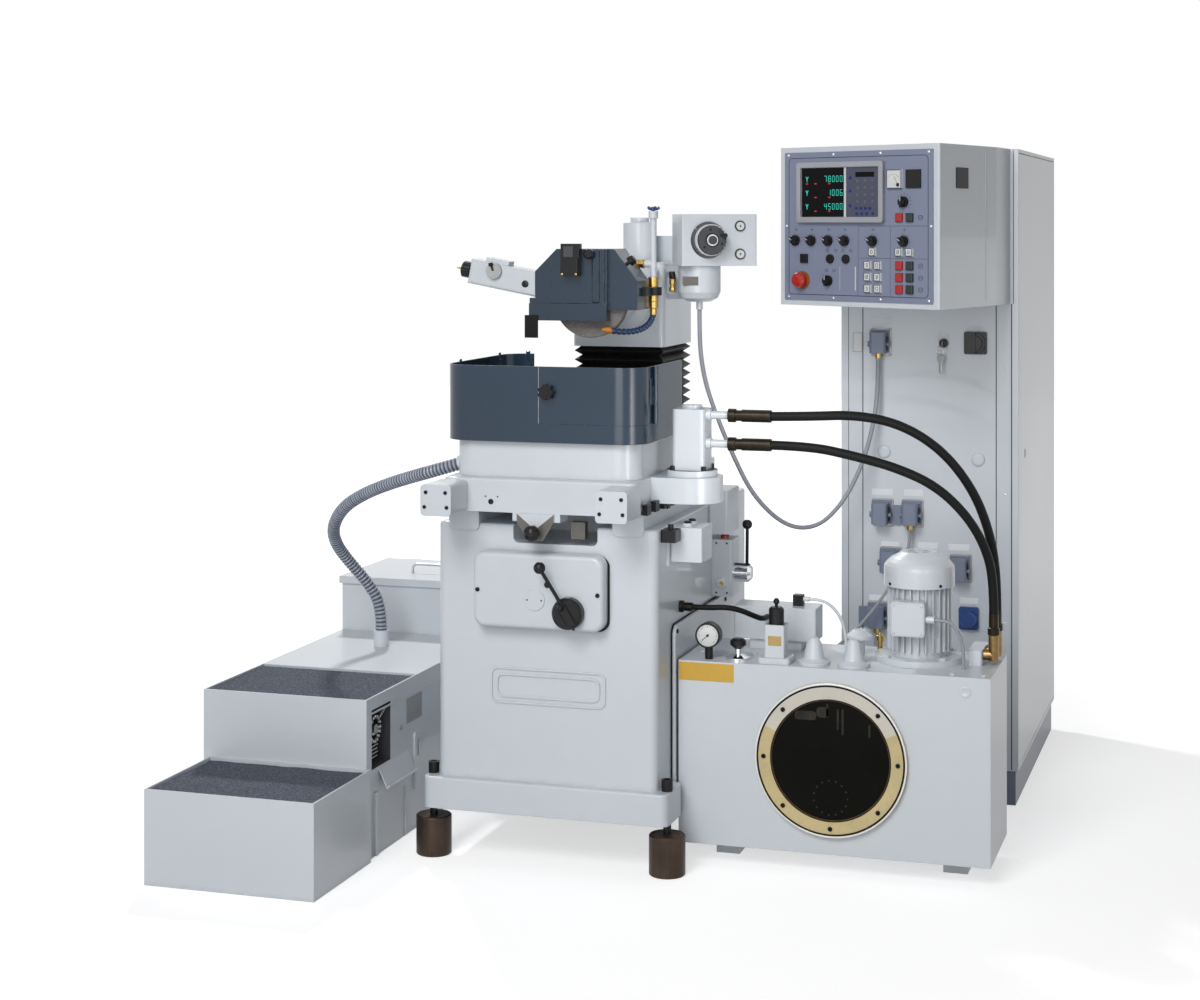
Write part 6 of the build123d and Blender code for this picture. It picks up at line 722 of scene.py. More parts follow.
        for name, colour, rough, cloud, grain, shine in (
                ("black rubber", (0.008, 0.008, 0.009), 0.55, (8.0, 0.25), (900.0, 0.15), 0.15),
                ("bellows cloth", (0.006, 0.006, 0.006), 0.50, (14.0, 0.35), (1300.0, 0.3), 0.15),
                ("lead sheath", c.lead, 0.45, (10.0, 0.08), (1500.0, 0.1), 0.5),
                ("pale sheath", (0.62, 0.64, 0.66), 0.42, (10.0, 0.06), (1500.0, 0.1), 0.5),
                ("panel foil", c.foil, 0.48, (5.0, 0.03), (1600.0, 0.12), 0.5),
                ("keypad foil", c.keypad, 0.42, (8.0, 0.05), (1600.0, 0.12), 0.5),
                ("white plastic", (0.66, 0.67, 0.67), 0.36, (15.0, 0.04), (1400.0, 0.08), 0.5),
                ("red plastic", c.stop, 0.31, (15.0, 0.08), (1400.0, 0.06), 0.5),
                ("green plastic", c.start, 0.34, (15.0, 0.08), (1400.0, 0.06), 0.5),
                ("hose blue", (0.012, 0.036, 0.105), 0.38, (15.0, 0.08), (1400.0, 0.08), 0.5),
                ("orange plastic", (0.62, 0.22, 0.02), 0.38, (15.0, 0.08), (1400.0, 0.08), 0.5),
                ("paper label", (0.79, 0.81, 0.83), 0.6, (18.0, 0.05), (1500.0, 0.08), 0.5),
                ("display black", (0.003, 0.003, 0.004), 0.245, (10.0, 0.1), (900.0, 0.02), 0.08),
                ("oil glass", (0.006, 0.006, 0.005), 0.06, (5.0, 0.3), (200.0, 0.01), 0.04)):
            finish(name, colour, rough, cloud=cloud, grain=grain, shine=shine)
        finish("hose rubber", (0.007, 0.007, 0.007), 0.48, cloud=(12.0, 0.25), grain=(1500.0, 0.2), shine=0.12,
               shade_and_grime=0.2)

        for name, colour, rough, cloud, shine in (
                ("bezel grey", (0.11, 0.115, 0.14), 0.45, (15.0, 0.08), 0.3),
                ("key blue", (0.010, 0.022, 0.16), 0.45, (15.0, 0.08), 0.3),
                ("ink", (0.016, 0.018, 0.026), 0.5, (20.0, 0.08), 0.2),
                ("faint ink", (0.085, 0.088, 0.115), 0.5, (20.0, 0.08), 0.2),
                ("pale ink", (0.60, 0.62, 0.65), 0.5, (20.0, 0.05), 0.5),
                ("amber collar", (0.30, 0.085, 0.015), 0.36, (15.0, 0.08), 0.5),
                ("shadow gap", (0.03, 0.031, 0.035), 0.7, (6.0, 0.2), 0.5),
                ("dial face", (0.68, 0.69, 0.68), 0.5, (30.0, 0.03), 0.5)):
            finish(name, colour, rough, cloud=cloud, shine=shine)
        finish("digit teal", (0.02, 0.30, 0.24), 0.5, cloud=(30.0, 0.05), glow=((0.03, 0.55, 0.42), 0.8))
        finish("mark red", (0.30, 0.01, 0.01), 0.5, cloud=(30.0, 0.05), glow=((0.6, 0.02, 0.02), 0.6))
        return {"FINISHED"}


# The nodes that have one finish all over.
PLAIN_NODES = {
    "machine paint": ("machine_base", "access_covers", "coolant_pan", "spindle_housing", "pump_motor"),
    "sheet paint": ("fleece_bin", "cabinet_side_door", "control_box", "hydraulic_tank"),
    "slate enamel": ("splash_guard", "splash_door", "wheel_guard"),
    "black plastic": ("splash_knob", "dresser_knob", "main_switch", "mode_selector", "speed_knob"),
    "white plastic": ("jog_buttons", "function_buttons"),
    "red plastic": ("reset_button", "emergency_stop", "stop_buttons"),
    "green plastic": ("start_buttons",),
    "blue plastic": ("coolant_tap",),
    "black rubber": ("cover_seals",),
    "ground steel": ("feed_screw", "magnetic_chuck"),
    "bright steel": ("table_spindle", "wheel_spindle", "motor_rotor"),
    "dull steel": ("key_switch",),
    "grinding grit": ("grinding_wheel",),
    "oil glass": ("sight_window",),
}


class GRINDER_OT_castings(bpy.types.Operator):
    """Finish the CAD solids, piece by piece."""

    bl_idname = "grinder.castings"
    bl_label = "Solids"

    def execute(self, context):
        for name, members in PLAIN_NODES.items():
            for node in members:
                dress(node, name)
        dress("head_carriage", "machine paint", ("bright steel", ANY, ANY, (600, 1256.5)))
        dress("levelling_feet", "black steel", ("scaled steel", ANY, ANY, (-1, 100)))
        dress("valve_boxes", "machine paint", ("black plastic", (288, 326), (-10, 39.5), (812, 854)),
              ("bronzed steel", (288.5, 322), (156, 186), (610, 640)),
              ("chrome", (300, 333), (480.6, 484.8), (619, 651)))
        dress("reversing_lever", "black plastic", ("chrome", ANY, (-110, -95), (680, 745)))
        dress("selector_lever", "chrome", ("black plastic", ANY, ANY, (682, 810)))
        dress("cross_slide", "machine paint", ("dull steel", (-53, 43), (-106, -100.1), (816, 864)),
              ("ground steel", (250.1, 259), (-82, 280), (886, 896.5)),
              ("black steel", (259, 272), (-70, 39), (884, 910.5)))
        dress("saddle_plunger", "bright steel", ("black plastic", ANY, (-152, -118), ANY))
        dress("table_motor", "machine paint", ("black steel", ANY, ANY, (981.4, 992.5)),
              ("bronzed steel", (433.1, 541), (83, 117), ANY))
        dress("guard_fittings", "black plastic", ("black rubber", (-166, -130), (273, 278), (1294, 1354)))
        dress("dresser_arm", "machine paint", ("etched plate", ANY, (270, 280.6), ANY))
        dress("coolant_pipe", "machine paint", ("brass", (128, 156), (418, 446), (1353.1, 1452.9)),
              ("orange plastic", (44, 70), (276, 297), (1306, 1325)),
              ("hose blue", (58, 151), (290, 440), (1301, 1353)))
        dress("infeed_box", "machine paint", ("brass", (200, 250), (560, 640), (1340, 1361)),
              ("dial grey", (-82, 20), (-51, 51), (0.5, 15), INFEED),
              ("dial grey", (41, 73), (-55, 55), (0.4, 4), INFEED))
        dress("infeed_handwheel", "dial grey", ("black plastic", (-20, 20), (0, 30), (38.5, 90)), face=INFEED)
        dress("filter_housing", "sheet paint", ("bright steel", (-547, -451), (-83, -23), (281, 343)),
              ("shadow gap", (-548, -437.6), (-113.2, 7.2), (221.8, 372.2)))
        dress("pump_box", "sheet paint", ("machine paint", (-820, -688), (826, 957), (7.8, 409)))
        dress("pump_box_lid", "sheet paint", ("bright steel", ANY, (708, 1000), (562, 600)))
        dress("sight_ring", "rim plate", ("oiled rim", ANY, ANY, (90, 350)))
        gauge = (342, 406), (117, 147)
        filler = (413, 477), (117, 181)
        relief = (525, 563), (126, 164)
        elbows = (1040.2, 1081), (252, 346)
        dress("tank_fittings", "machine paint",
              ("black plastic", *gauge, (532, 600)), ("black steel", *gauge, (504, 532)),
              ("black plastic", *filler, (530, 560)), ("chrome", *filler, (504, 530)),
              ("black steel", *relief, (645, 665)), ("black plastic", *relief, (600, 645)),
              ("white plastic", (573.4, 589), (318, 344), (615, 644)),
              ("black plastic", (547, 574), (318, 344), (615, 644)),
              ("oiled bronze", *elbows, (515, 579)), ("bronzed steel", *elbows, (579, 631)))
        dress("cabinet_shell", "sheet paint", ("plinth paint", ANY, ANY, (-1, 94.5)))
        dress("socket_hoods", "hood plastic", ("blue plastic", (894, 948), (835, 870), (478, 540)),
              ("white plastic", (599, 625), (861, 870), (1237, 1291)),
              ("black plastic", (908, 970), (862, 870), (1236, 1298)),
              ("sheet paint", (900, 966), (865.5, 870), (926, 964)),
              ("sheet paint", (666, 704), (865.5, 870), (940, 978)),
              ("brass", ANY, ANY, (1221, 1233)), ("brass", (733, 793), ANY, (748, 760)),
              ("brass", (638, 698), ANY, (459, 471)))
        dress("control_panel", "panel foil",
              ("bezel metal", (-199, 99), (9, 171), (3.5, 18)),
              ("white plastic", (106, 156), (97, 147), (3.5, 12)),
              ("black plastic", (165, 215), (97, 147), (3.5, 12)),
              ("black plastic", (-230, 180), (-60, -18), (3.5, 40)),
              ("black plastic", (-195, -20), (-100, -72), (3.5, 10)),
              ("amber collar", (-215, -155), (-170, -118), (3.5, 8)), face=PANEL)
        return {"FINISHED"}


DRAIN_ROUTE = ((-259.2, 40, 983.5), (-326.2, 40, 963.4), (-400, 82, 942), (-490, 131, 914), (-586, 190, 878),
               (-683, 260, 828), (-750, 338, 762), (-773, 408, 705), (-758, 464, 648), (-718, 504, 584),
               (-681, 516, 520), (-681, 516, 450))
UPPER_ROUTE = ((541, 100, 1119.3), (639, 100, 1122), (745, 122, 1127), (850, 160, 1105), (945, 200, 1042),
               (1015, 242, 945), (1052, 286, 835.3), (1065, 330, 718), (1065, 330, 630))
LOWER_ROUTE = ((541, 100, 1048.3), (639, 100, 1048.3), (740, 114, 1028), (845, 138, 999), (935, 168, 956),
               (1005, 204, 884), (1047, 242, 802.3), (1065, 268, 718), (1065, 268, 630))
PILOT_ROUTE = ((322, 171, 625), (362, 171, 625), (404, 178, 628), (440, 192, 620), (470, 214, 603),
               (488, 245, 590), (488, 285, 590))
CABLE_ROUTE = ((225, 600, 1361), (225, 600, 1301), (228, 603, 1230), (243, 605, 1150), (274, 606, 1065),
               (314, 612, 968), (366, 640, 850), (446, 688, 764), (522, 732, 758), (586, 763, 820),
               (636, 786, 920), (664, 814, 1030), (674, 838.8, 1132), (674, 838.8, 1222))
SOLENOID_ROUTE = ((589, 331, 632.4), (619, 331, 632.4), (646, 333, 618), (670, 338, 586), (682, 341, 535),
                  (682, 341, 505))
MOTOR_ROUTE = ((933, 177, 624), (963, 177, 624), (984, 180, 609), (999, 186, 575), (1002, 190, 535),
               (1002, 190, 505))
SENSOR_ROUTE = ((763, 838.8, 749), (763, 838.8, 719), (753, 828, 676), (726, 802, 616), (688, 782, 556),
                (646, 764, 500), (604, 740, 456), (566, 690, 428), (536, 630, 416), (516, 560, 412),
                (508, 482, 410), (508, 410, 410))
SUPPLY_ROUTE = ((668, 838.8, 460), (668, 838.8, 430), (660, 827, 385), (650, 790, 340), (640, 730, 310),
                (632, 650, 300), (628, 570, 297), (626, 482, 298), (626, 410, 298))
RIB_DEPTH = 0.0030
GROOVE_SHARE = 0.45


def smooth_line(name, route, steps):
    """The points of the NURBS spline through a route's control points."""
    curve = bpy.data.curves.new(name, "CURVE")
    curve.dimensions = "3D"
    curve.resolution_u = steps
    spline = curve.splines.new("NURBS")
    spline.points.add(len(route) - 1)
    for point, place in zip(spline.points, route):
        point.co = (*at(*place), 1.0)
    spline.order_u = 3
    spline.use_endpoint_u = True
    holder = bpy.data.objects.new(name, curve)
    bpy.context.scene.collection.objects.link(holder)
    bpy.context.view_layer.update()
    mesh = bpy.data.meshes.new_from_object(holder.evaluated_get(bpy.context.evaluated_depsgraph_get()))
    line = [vertex.co.copy() for vertex in mesh.vertices]
    bpy.data.objects.remove(holder)
    bpy.data.curves.remove(curve)
    bpy.data.meshes.remove(mesh)
    return line


def lay_cord(name, route, diameter, material, slot, node, body=None, bend=None, steps=12, sides=14,
             shape=None, groove_shade=None):
    """One hose or lead as a swept tube. bend is (near body, far body, start, end) where it crosses a joint; these are
    not used, and a given bend only has the tube's placing baked into its mesh;
    the last argument is a darker finish, painted shade for the hollows where the shape falls below GROOVE_SHARE of
    the diameter."""
    line = smooth_line(name + " line", route, steps)
    maker = Maker().sweep(line, shape or diameter / 2, sides)
    # Faces in the hollows between the ribs get the darker finish, painted shade.
    if groove_shade:
        low = []
        s = 0.0
        for a, b in zip(line, line[1:]):
            step = (b - a).length
            low.append(shape(s + step / 2) < GROOVE_SHARE * diameter)
            s += step
        for i, band in enumerate(maker.mesh.faces):
            band.material_index = 1 if i // sides < len(low) and low[i // sides] else 0
    piece = maker.done(name, body, slot, material, *([groove_shade] if groove_shade else []), crease=60.0)
    if bend:
        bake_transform(piece)
    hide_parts(node)


class GRINDER_OT_hoses(bpy.types.Operator):
    """Lay the drain hose, the pressure hoses, the feed cable and the leads."""

    bl_idname = "grinder.hoses"
    bl_label = "Hoses and leads"

    def execute(self, context):
        size = sizes()
        crown = size.drain / 2
        pitch = size.rib_pitch

        def ribbed(s):
            wave = 0.5 + 0.5 * math.cos(math.tau * s / pitch)
            return crown - RIB_DEPTH * (1.0 - wave)

        # The drain hose's rib hollows are painted darker as shade.
        lay_cord("drain_hose_ribbed", DRAIN_ROUTE, size.drain, "hose plastic", "hose_plastic", "drain_hose",
                 bend=("saddle", "base", at(-259, 40, 960), at(-259, 40, 600)), steps=110, sides=20, shape=ribbed,
                 groove_shade="hose groove")
        cross = (at(560, 100, 1000), at(1040, 100, 1000))
        for name, route, length in (("pressure_hose_upper", UPPER_ROUTE, 0.893),
                                    ("pressure_hose_lower", LOWER_ROUTE, 0.803)):
            lay_cord(name, route, size.pressure, "hose rubber", "rubber", "pressure_hoses",
                     bend=("saddle", "base", *cross), sides=18)
        lay_cord("pilot_hose", PILOT_ROUTE, size.pilot, "hose rubber", "rubber", "pressure_hoses", "base")
        lay_cord("feed_cable_sheath", CABLE_ROUTE, size.cable, "lead sheath", "lead_plastic", "feed_cable",
                 bend=("head", "base", at(232, 600, 900), at(450, 600, 900)))
        for name, route, length, sheath in (("solenoid_lead", SOLENOID_ROUTE, 0.182, "pale sheath"),
                                            ("motor_lead", MOTOR_ROUTE, 0.163, "lead sheath"),
                                            ("sensor_lead", SENSOR_ROUTE, 0.715, "lead sheath"),
                                            ("supply_lead", SUPPLY_ROUTE, 0.523, "lead sheath")):
            lay_cord(name, route, size.lead, sheath, "lead_plastic", "signal_leads", "base", sides=10)
        return {"FINISHED"}


class GRINDER_OT_bellows(bpy.types.Operator):
    """Fold the bellows round the head's ram."""

    bl_idname = "grinder.bellows"
    bl_label = "Bellows"

    def execute(self, context):
        size = sizes()
        low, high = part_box("bellows")
        middle = (low + high) / 2
        width = high.x - low.x
        depth = high.y - low.y
        pleat = (high.z - low.z) / size.pleats
        steps = 14
        corner_cut = 0.06
        unevenness = 0.0006
        crest = 0.0004
        hem = 0.0015

        def ring(inset, z, bow):
            points = []
            half = (width / 2 - inset, depth / 2 - inset)
            corners = [(sx * half[0], sy * half[1]) for sx, sy in ((1, 1), (-1, 1), (-1, -1), (1, -1))]
            for k, (ax, ay) in enumerate(corners):
                bx, by = corners[(k + 1) % 4]
                for i in range(steps):
                    t = (i or corner_cut) / steps
                    x = ax + (bx - ax) * t
                    y = ay + (by - ay) * t
                    pull = bow * 4 * t * (1 - t)
                    out = Vector((x / half[0] if k % 2 else 0.0, 0.0 if k % 2 else y / half[1], 0.0))
                    shake = noise.noise(Vector((x * 30, y * 30, z * 40))) * unevenness
                    points.append(Vector((middle.x + x, middle.y + y, z)) - out * (pull + shake))
            return points

        collar = size.fold * 0.75
        slope = size.fold * 0.45
        rings = [ring(collar, low.z, 0.0), ring(collar, low.z + hem, 0.0)]
        for i in range(size.pleats):
            z = low.z + pleat * i
            if i:
                rings.append(ring(size.fold, z, 0.0020))
            for inset, rise, bow in ((slope, 0.26, 0.0018), (crest, 0.47, 0.0022), (crest, 0.53, 0.0022),
                                     (slope, 0.74, 0.0018)):
                rings.append(ring(inset, z + pleat * rise, bow))
        rings += [ring(collar, high.z - hem, 0.0), ring(collar, high.z, 0.0)]
        piece = Maker().stack(rings).done("bellows_folds", "base", "rubber", "bellows cloth", crease=28.0)
        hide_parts("bellows")
        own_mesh(piece)
        return {"FINISHED"}


class GRINDER_OT_fleece(bpy.types.Operator):
    """Lay the filter fleece on its bed and the used fleece in the bin."""

    bl_idname = "grinder.fleece"
    bl_label = "Filter fleece"

    def execute(self, context):
        columns, rows = 56, 42
        lump_scale, fluff_scale = 0.012, 0.16
        edge_share = 0.025
        for name, xs, ys, zs, wave, sink in (
                ("fleece_used", (-867.7, -430.3), (-474.7, -150.3), (5.0, 228.0), 4.0, 1.5),
                ("fleece_bed", (-884.7, -442.3), (-139.7, 189.7), (390.0, 400.0), 1.2, 1.0)):
            maker = Maker()
            grid = []
            for j in range(rows + 1):
                row = []
                for i in range(columns + 1):
                    a = i / columns
                    b = j / rows
                    x = xs[0] + (xs[1] - xs[0]) * a
                    y = ys[0] + (ys[1] - ys[0]) * b
                    near = min(a, 1 - a, b, 1 - b)
                    lump = noise.fractal(Vector((x * lump_scale, y * lump_scale, zs[1] * 0.01)), 1.0, 2.0, 4)
                    fluff = noise.noise(Vector((x * fluff_scale, y * fluff_scale, 3.0)))
                    drop = sink * max(0.0, 1 - near / edge_share) ** 2
                    z = zs[1] - wave * (0.55 - 0.45 * lump) - 0.35 * fluff - 0.4 - drop
                    row.append(maker.mesh.verts.new(at(x, y, min(z, zs[1]))))
                grid.append(row)
            for front, back in zip(grid, grid[1:]):
                for i in range(columns):
                    maker.mesh.faces.new((front[i], front[i + 1], back[i + 1], back[i]))
            border = (grid[0][:-1] + [row[-1] for row in grid[:-1]] + grid[-1][:0:-1]
                      + [row[0] for row in grid[:0:-1]])
            base = maker.ring([Vector((v.co.x, v.co.y, zs[0] * MM)) for v in border])
            maker.skin(border, base)
            maker.mesh.faces.new(base)
            piece = maker.done(name, "base", "fleece", "laden fleece", crease=60.0)
            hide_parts("filter_fleece")
        return {"FINISHED"}


MOTOR_AXIS = (880, 273)


class GRINDER_OT_screws(bpy.types.Operator):
    """Set the cover screws, flange bolts and plugs."""

    bl_idname = "grinder.screws"
    bl_label = "Screws"

    def execute(self, context):
        head = sizes().cover_screw / MM
        maker = Maker().each(Maker.socket_screw, COVER_FRONT, ((-163.6, 686.5), (149.4, 686.5)), head)
        maker.each(Maker.lathe, COVER_FRONT, ((-32.5, 667), (4.5, 667)), [(2.2, 2.0), (2.2, 2.3), (1.6, 2.5)], 12)
        maker.each(Maker.socket_screw, SIDE_COVER, ((100, 575), (590, 575), (100, 195), (590, 195)), head)
        maker.each(Maker.lathe, LEVER_BOX, ((-14.5, 107), (14.5, 107), (-14.5, -25), (14.5, -25)),
                   [(2.6, -4.2), (2.6, -3.2), (2.0, -3.0)], 12)
        maker.each(Maker.socket_screw, CHEST_TOP, ((0, 81.5), (0, 125.6)), 18)
        maker.done("cover_screws", "base", "cast_screw", "black steel")

        maker = Maker().lathe(COVER_FRONT, 20, 707, [(8, 0), (8, 3), (7, 5), (4, 7), (1.5, 7.6)])
        maker.done("cover_stop", "base", "black_plastic", "black plastic")
        maker = Maker().plate(LEVER_HUB, 2, -4, 62, 24, 7, 7.0, 3.0, -1.0, math.radians(-57))
        maker.lathe(LEVER_HUB, -12, 18, [(9, 4), (9, 9), (7, 12), (5.5, 16)], 20)
        maker.done("lever_boss", "reversing_lever", "black_plastic", "black plastic")
        maker = Maker().washer(COVER_FRONT, -14, 667, 22.4, 23.2, 0.25)
        maker.done("cover_plug", "base", "white_paint", "shadow gap")
        maker = Maker().lathe(LEVER_BOX, 0, 0, [(5.5, -0.5), (5.5, 0.6), (4.5, 1.2), (2, 0.8)], 20)
        maker.done("lever_box_plug", "base", "steel", "brass")
        maker = Maker().plate(BASE_FRONT, 84, 836, 38, 44, 22, 1.5, 1.0, -22)
        maker.done("stop_block", "base", "steel", "dull steel")
        maker = Maker()
        for y, high in ((96, 22), (128, 30), (176, 26), (214, 22)):
            maker.plate(RAIL_SIDE, y, 893, 24, high, 13, 2.0, 1.0)
            maker.lathe(RAIL_SIDE, y, 893, [(5, 12.5), (5, 16), (4, 17)], 6)
        maker.done("trip_dogs", "saddle", "cast_screw", "black steel")

        maker = Maker()
        for side in (-224, 224):
            places = [(side + u, v) for u, v in ((-25.5, 940), (25.5, 940), (-29, 904), (29, 904))]
            maker.each(Maker.socket_screw, WAY_FRONT, places, head * 0.85)
        maker.lathe(SLIDE_FRONT, -122.7, 908, [(7.0, 0), (7.0, 0.8), (6.0, 1.4), (3.0, 1.4)], 20)
        maker.each(Maker.lathe, SLIDE_FRONT, ((-136.7, 920.5), (-105, 920.5)), [(2.0, 0), (2.0, 0.5), (1.5, 0.7)], 10)
        maker.done("slide_screws", "saddle", "cast_screw", "black steel")

        places = circle(8, 166.5)
        del places[2]
        maker = Maker().each(Maker.socket_screw, SIGHT, places, 11.5, 14.0)
        maker.done("sight_screws", "base", "cast_screw", "black steel")

        maker = Maker().each(Maker.hex_bolt, TANK_TOP, circle(4, 98, *MOTOR_AXIS, 0.5), 15, 16.0)
        maker.each(Maker.hex_bolt, TANK_TOP, ((675, 146), (603, 146), (774, 146), (702, 146)), 6, 7.6)
        maker.each(Maker.socket_screw, TANK_TOP, ((510, 117), (578, 117), (510, 173), (578, 173)), 9, 14.0)
        maker.each(Maker.hex_bolt, TANK_TOP, ((340, 205), (470, 225), (620, 215), (700, 385), (985, 120), (985, 385),
                                              (1060, 120), (775, 385)), 11)
        maker.each(Maker.dome_screw, TERMINAL, product((-34, 34), (-34, 34)), 7)
        maker.border(TERMINAL, 0, 0, 80, 80, 1.2, 0.4, 7.0)
        maker.done("tank_bolts", "base", "white_paint", "machine paint")
        maker = Maker().lathe(TANK_TOP, 771, 330, [(11, 0), (11, 6), (7, 7), (7, 30), (10, 31), (10, 44), (7, 46),
                                                   (4, 52)], 16)
        maker.done("return_fitting", "base", "steel", "brass")

        maker = Maker()
        for k in range(4):
            angle = math.tau * (k + 0.5) / 4
            face = Face((*polar(88, angle, *MOTOR_AXIS), 702), (-math.sin(angle), math.cos(angle), 0))
            maker.socket_screw(face, 0, 0, 8)
        maker.done("cowl_screws", "base", "cast_screw", "black steel")
        return {"FINISHED"}


class GRINDER_OT_plates(bpy.types.Operator):
    """Fix the bare plates and labels."""

    bl_idname = "grinder.plates"
    bl_label = "Plates"

    def execute(self, context):
        maker = Maker().plate(TANK_FRONT, 376.5, 478.5, 141, 45, 0.8, 1.0, 0.2)
        maker.done("tank_plate", "base", "white_paint", "yellow plate")
        maker = Maker().lathe(TANK_FRONT, 1019, 470, [(14, 0), (14, 1.2), (13, 1.8), (9, 1.8), (8, 1.2)], 32)
        maker.done("tank_disc", "base", "white_paint", "sheet paint")

        maker = Maker()
        for u, v, width, height in ((680, 1319, 57, 24), (939, 1306, 42, 13), (680, 847, 58, 18), (767, 848, 53, 18),
                                    (702, 701, 51, 18), (807, 703, 55, 18), (893, 702, 57, 18), (668, 552, 50, 16),
                                    (921, 556, 50, 16)):
            maker.plate(CABINET_FRONT, u, v, width, height, 0.6, 1.2, 0.2)
        maker.plate(CABINET_FRONT, 852, 1274, 29, 45, 0.3, 1.0, 0.1)
        maker.done("cabinet_labels", "base", "white_plastic", "paper label")

        maker = Maker().plate(RELIEF, 1, 1, 33, 24, 0.8, 1.0, 0.2)
        maker.each(Maker.dome_screw, RELIEF, ((-13, 11), (15, 11)), 3.0, 0.8)
        maker.done("relief_plate", "base", "steel", "gilt plate")

        maker = Maker().plate(FILTER_SIDE, 166, 321, 105, 66, 0.8, 1.5, 0.2)
        maker.each(Maker.dome_screw, FILTER_SIDE, product((118, 214), (293, 349)), 4.0, 0.8)
        maker.lathe(FILTER_SIDE, 75, 288, [(7, 0), (7, 2.5), (5.5, 3.5), (2, 3.5)], 20)
        maker.done("filter_plate", "base", "steel", "etched plate")
        maker = Maker().plate(FILTER_SIDE, -88, 82, 18, 160, 7, 2.0, 1.0)
        maker.plate(FILTER_SIDE, 103, 66, 5, 128, 4, 1.0, 1.0)
        maker.slab(FILTER_SIDE, ((-140, 367), (-140, 362), (344, 358), (344, 363)), 1.2)
        maker.done("filter_folds", "base", "white_paint", "sheet paint")
        studs = [(-104 + 9 * column + 4.5 * (row % 2), 232 + 9.5 * row) for row in range(5) for column in range(12)]
        maker = Maker().each(Maker.lathe, FILTER_INSIDE, studs, [(2.7, -1), (2.7, 0), (1.6, 1.2)], 8)
        rollers = circle(16, 32, -53, 312) + [(-30 + 9 * k, 334 + 4 * k) for k in range(7)]
        maker.each(Maker.lathe, FILTER_INSIDE, rollers, [(4.2, 12), (4.2, 18), (3.2, 19)], 8)
        maker.plate(FILTER_INSIDE, -30, 304, 54, 20, 14, 6.0, 3.0)
        maker.done("filter_chain", "base", "steel", "bright steel")

        maker = Maker().plate(FEED_MOTOR, -10, 0, 44, 24, 1.6, 1.0, 0.2, -0.8)
        maker.done("feed_motor_plate", "head", "steel", "dull steel")
        return {"FINISHED"}


HOODS = ((674, 1265), (763, 792), (668, 503), (679, 791), (896, 645), (702, 658))


class GRINDER_OT_cabinet(bpy.types.Operator):
    """Draw the cabinet's folded seams and hang the key."""

    bl_idname = "grinder.cabinet"
    bl_label = "Cabinet details"

    def execute(self, context):
        maker = Maker()
        for x, width in ((585, 1.6), (625.5, 2.6), (995.2, 2.6), (1037, 3.0)):
            maker.bar(CABINET_FRONT, (x, 99), (x, 1376), width, 0.35)
        maker.bar(CABINET_FRONT, (1042, 1376), (1042, 1796), 2.0, 0.35)
        maker.done("cabinet_seams", "base", "white_paint", "shadow gap")
        maker = Maker().each(Maker.dome_screw, CABINET_FRONT, ((1019, 500), (1019, 852), (1019, 1200)), 7)
        maker.done("cabinet_screws", "base", "steel", "bright steel")

        maker = Maker().plate(DESK_SIDE, -45, 125, 76, 54, 2.0, 2.0, 0.5)
        maker.done("desk_plate", "base", "black_plastic", "display black")
        maker = Maker().plate(DESK_SIDE, 112, 0, 4, 396, 1.0, 0.5, 0.3)
        maker.done("desk_seam", "base", "white_paint", "pale ink")
        toggles, frames = Maker(), Maker()
        for x, z in HOODS:
            side = Face((x + 22.4, 844, z), BACK)
            toggles.plate(side, 4, 0, 16, 26, 5, 3.0, 1.0)
            toggles.plate(side, 4, -2, 9, 40, 3, 2.0, 1.0)
            frames.plate(CABINET_FRONT, x + 4, z, 58, 78, 3.0, 3.0, 0.8)
            frames.each(Maker.dome_screw, CABINET_FRONT, product((x - 20, x + 28), (z - 34, z + 34)), 6, 3.0)
        frames.border(CABINET_FRONT, 612, 1264, 26, 54, 2.0, 0.5, 2.5, 9.0)
        toggles.done("hood_toggles", "base", "black_plastic", "black plastic")
        frames.done("hood_frames", "base", "steel", "etched plate")
        # A grey ring round the main switch's knob, a painted highlight of its round rim.
        maker = Maker().washer(MAIN_SWITCH, 0, 0, 27.5, 29.0, 0.5)
        maker.done("switch_rim_highlight", "base", "black_plastic", "bezel grey")

        ring = [SPARE_KEY.at(*polar(11, math.tau * k / 24, 0, -4)) for k in range(25)]
        maker = Maker().sweep(ring, 0.0010, 8)
        maker.plate(SPARE_KEY, 0, -26, 19, 20, 1.8, 7.0, 0.3, -0.9)
        maker.plate(SPARE_KEY, 0, -50, 7, 32, 1.8, 0.8, 0.3, -0.9)
        maker.done("spare_key", "key_switch", "chrome", "bright steel")
        maker = Maker().lathe(KEY_FRONT, 0, 0, [(10.4, -0.2), (10.4, 0.4), (9.8, 0.8)], 32)
        maker.done("key_face", "key_switch", "black_plastic", "black plastic")
        return {"FINISHED"}


# Heights over the panel's face: its foil, the tops of keys and knobs, the floor of the display and the meter,
# the meter's face, and the screen and keypad.
FOIL = 3.0
KEY_TOP = 10.0
KNOB_TOP = 21.0
FLOOR = 11.0
METER_FACE = FLOOR + 0.5
SCREEN = FLOOR + 1.0
SETTING_KNOBS = [(u, -38) for u in (-211, -155, -96, -39, 55.5, 159)]
SPEED_KNOB = (159, 63)
MODE_SELECTOR = (-96, -144)
KEY_ROWS = (119, 100.5, 82, 64)
SEGMENTS = {"0": "abcdef", "1": "bc", "2": "abged", "3": "abgcd", "4": "fgbc", "5": "afgcd", "6": "afgedc",
            "7": "abc", "8": "abcdefg", "9": "abcdfg"}


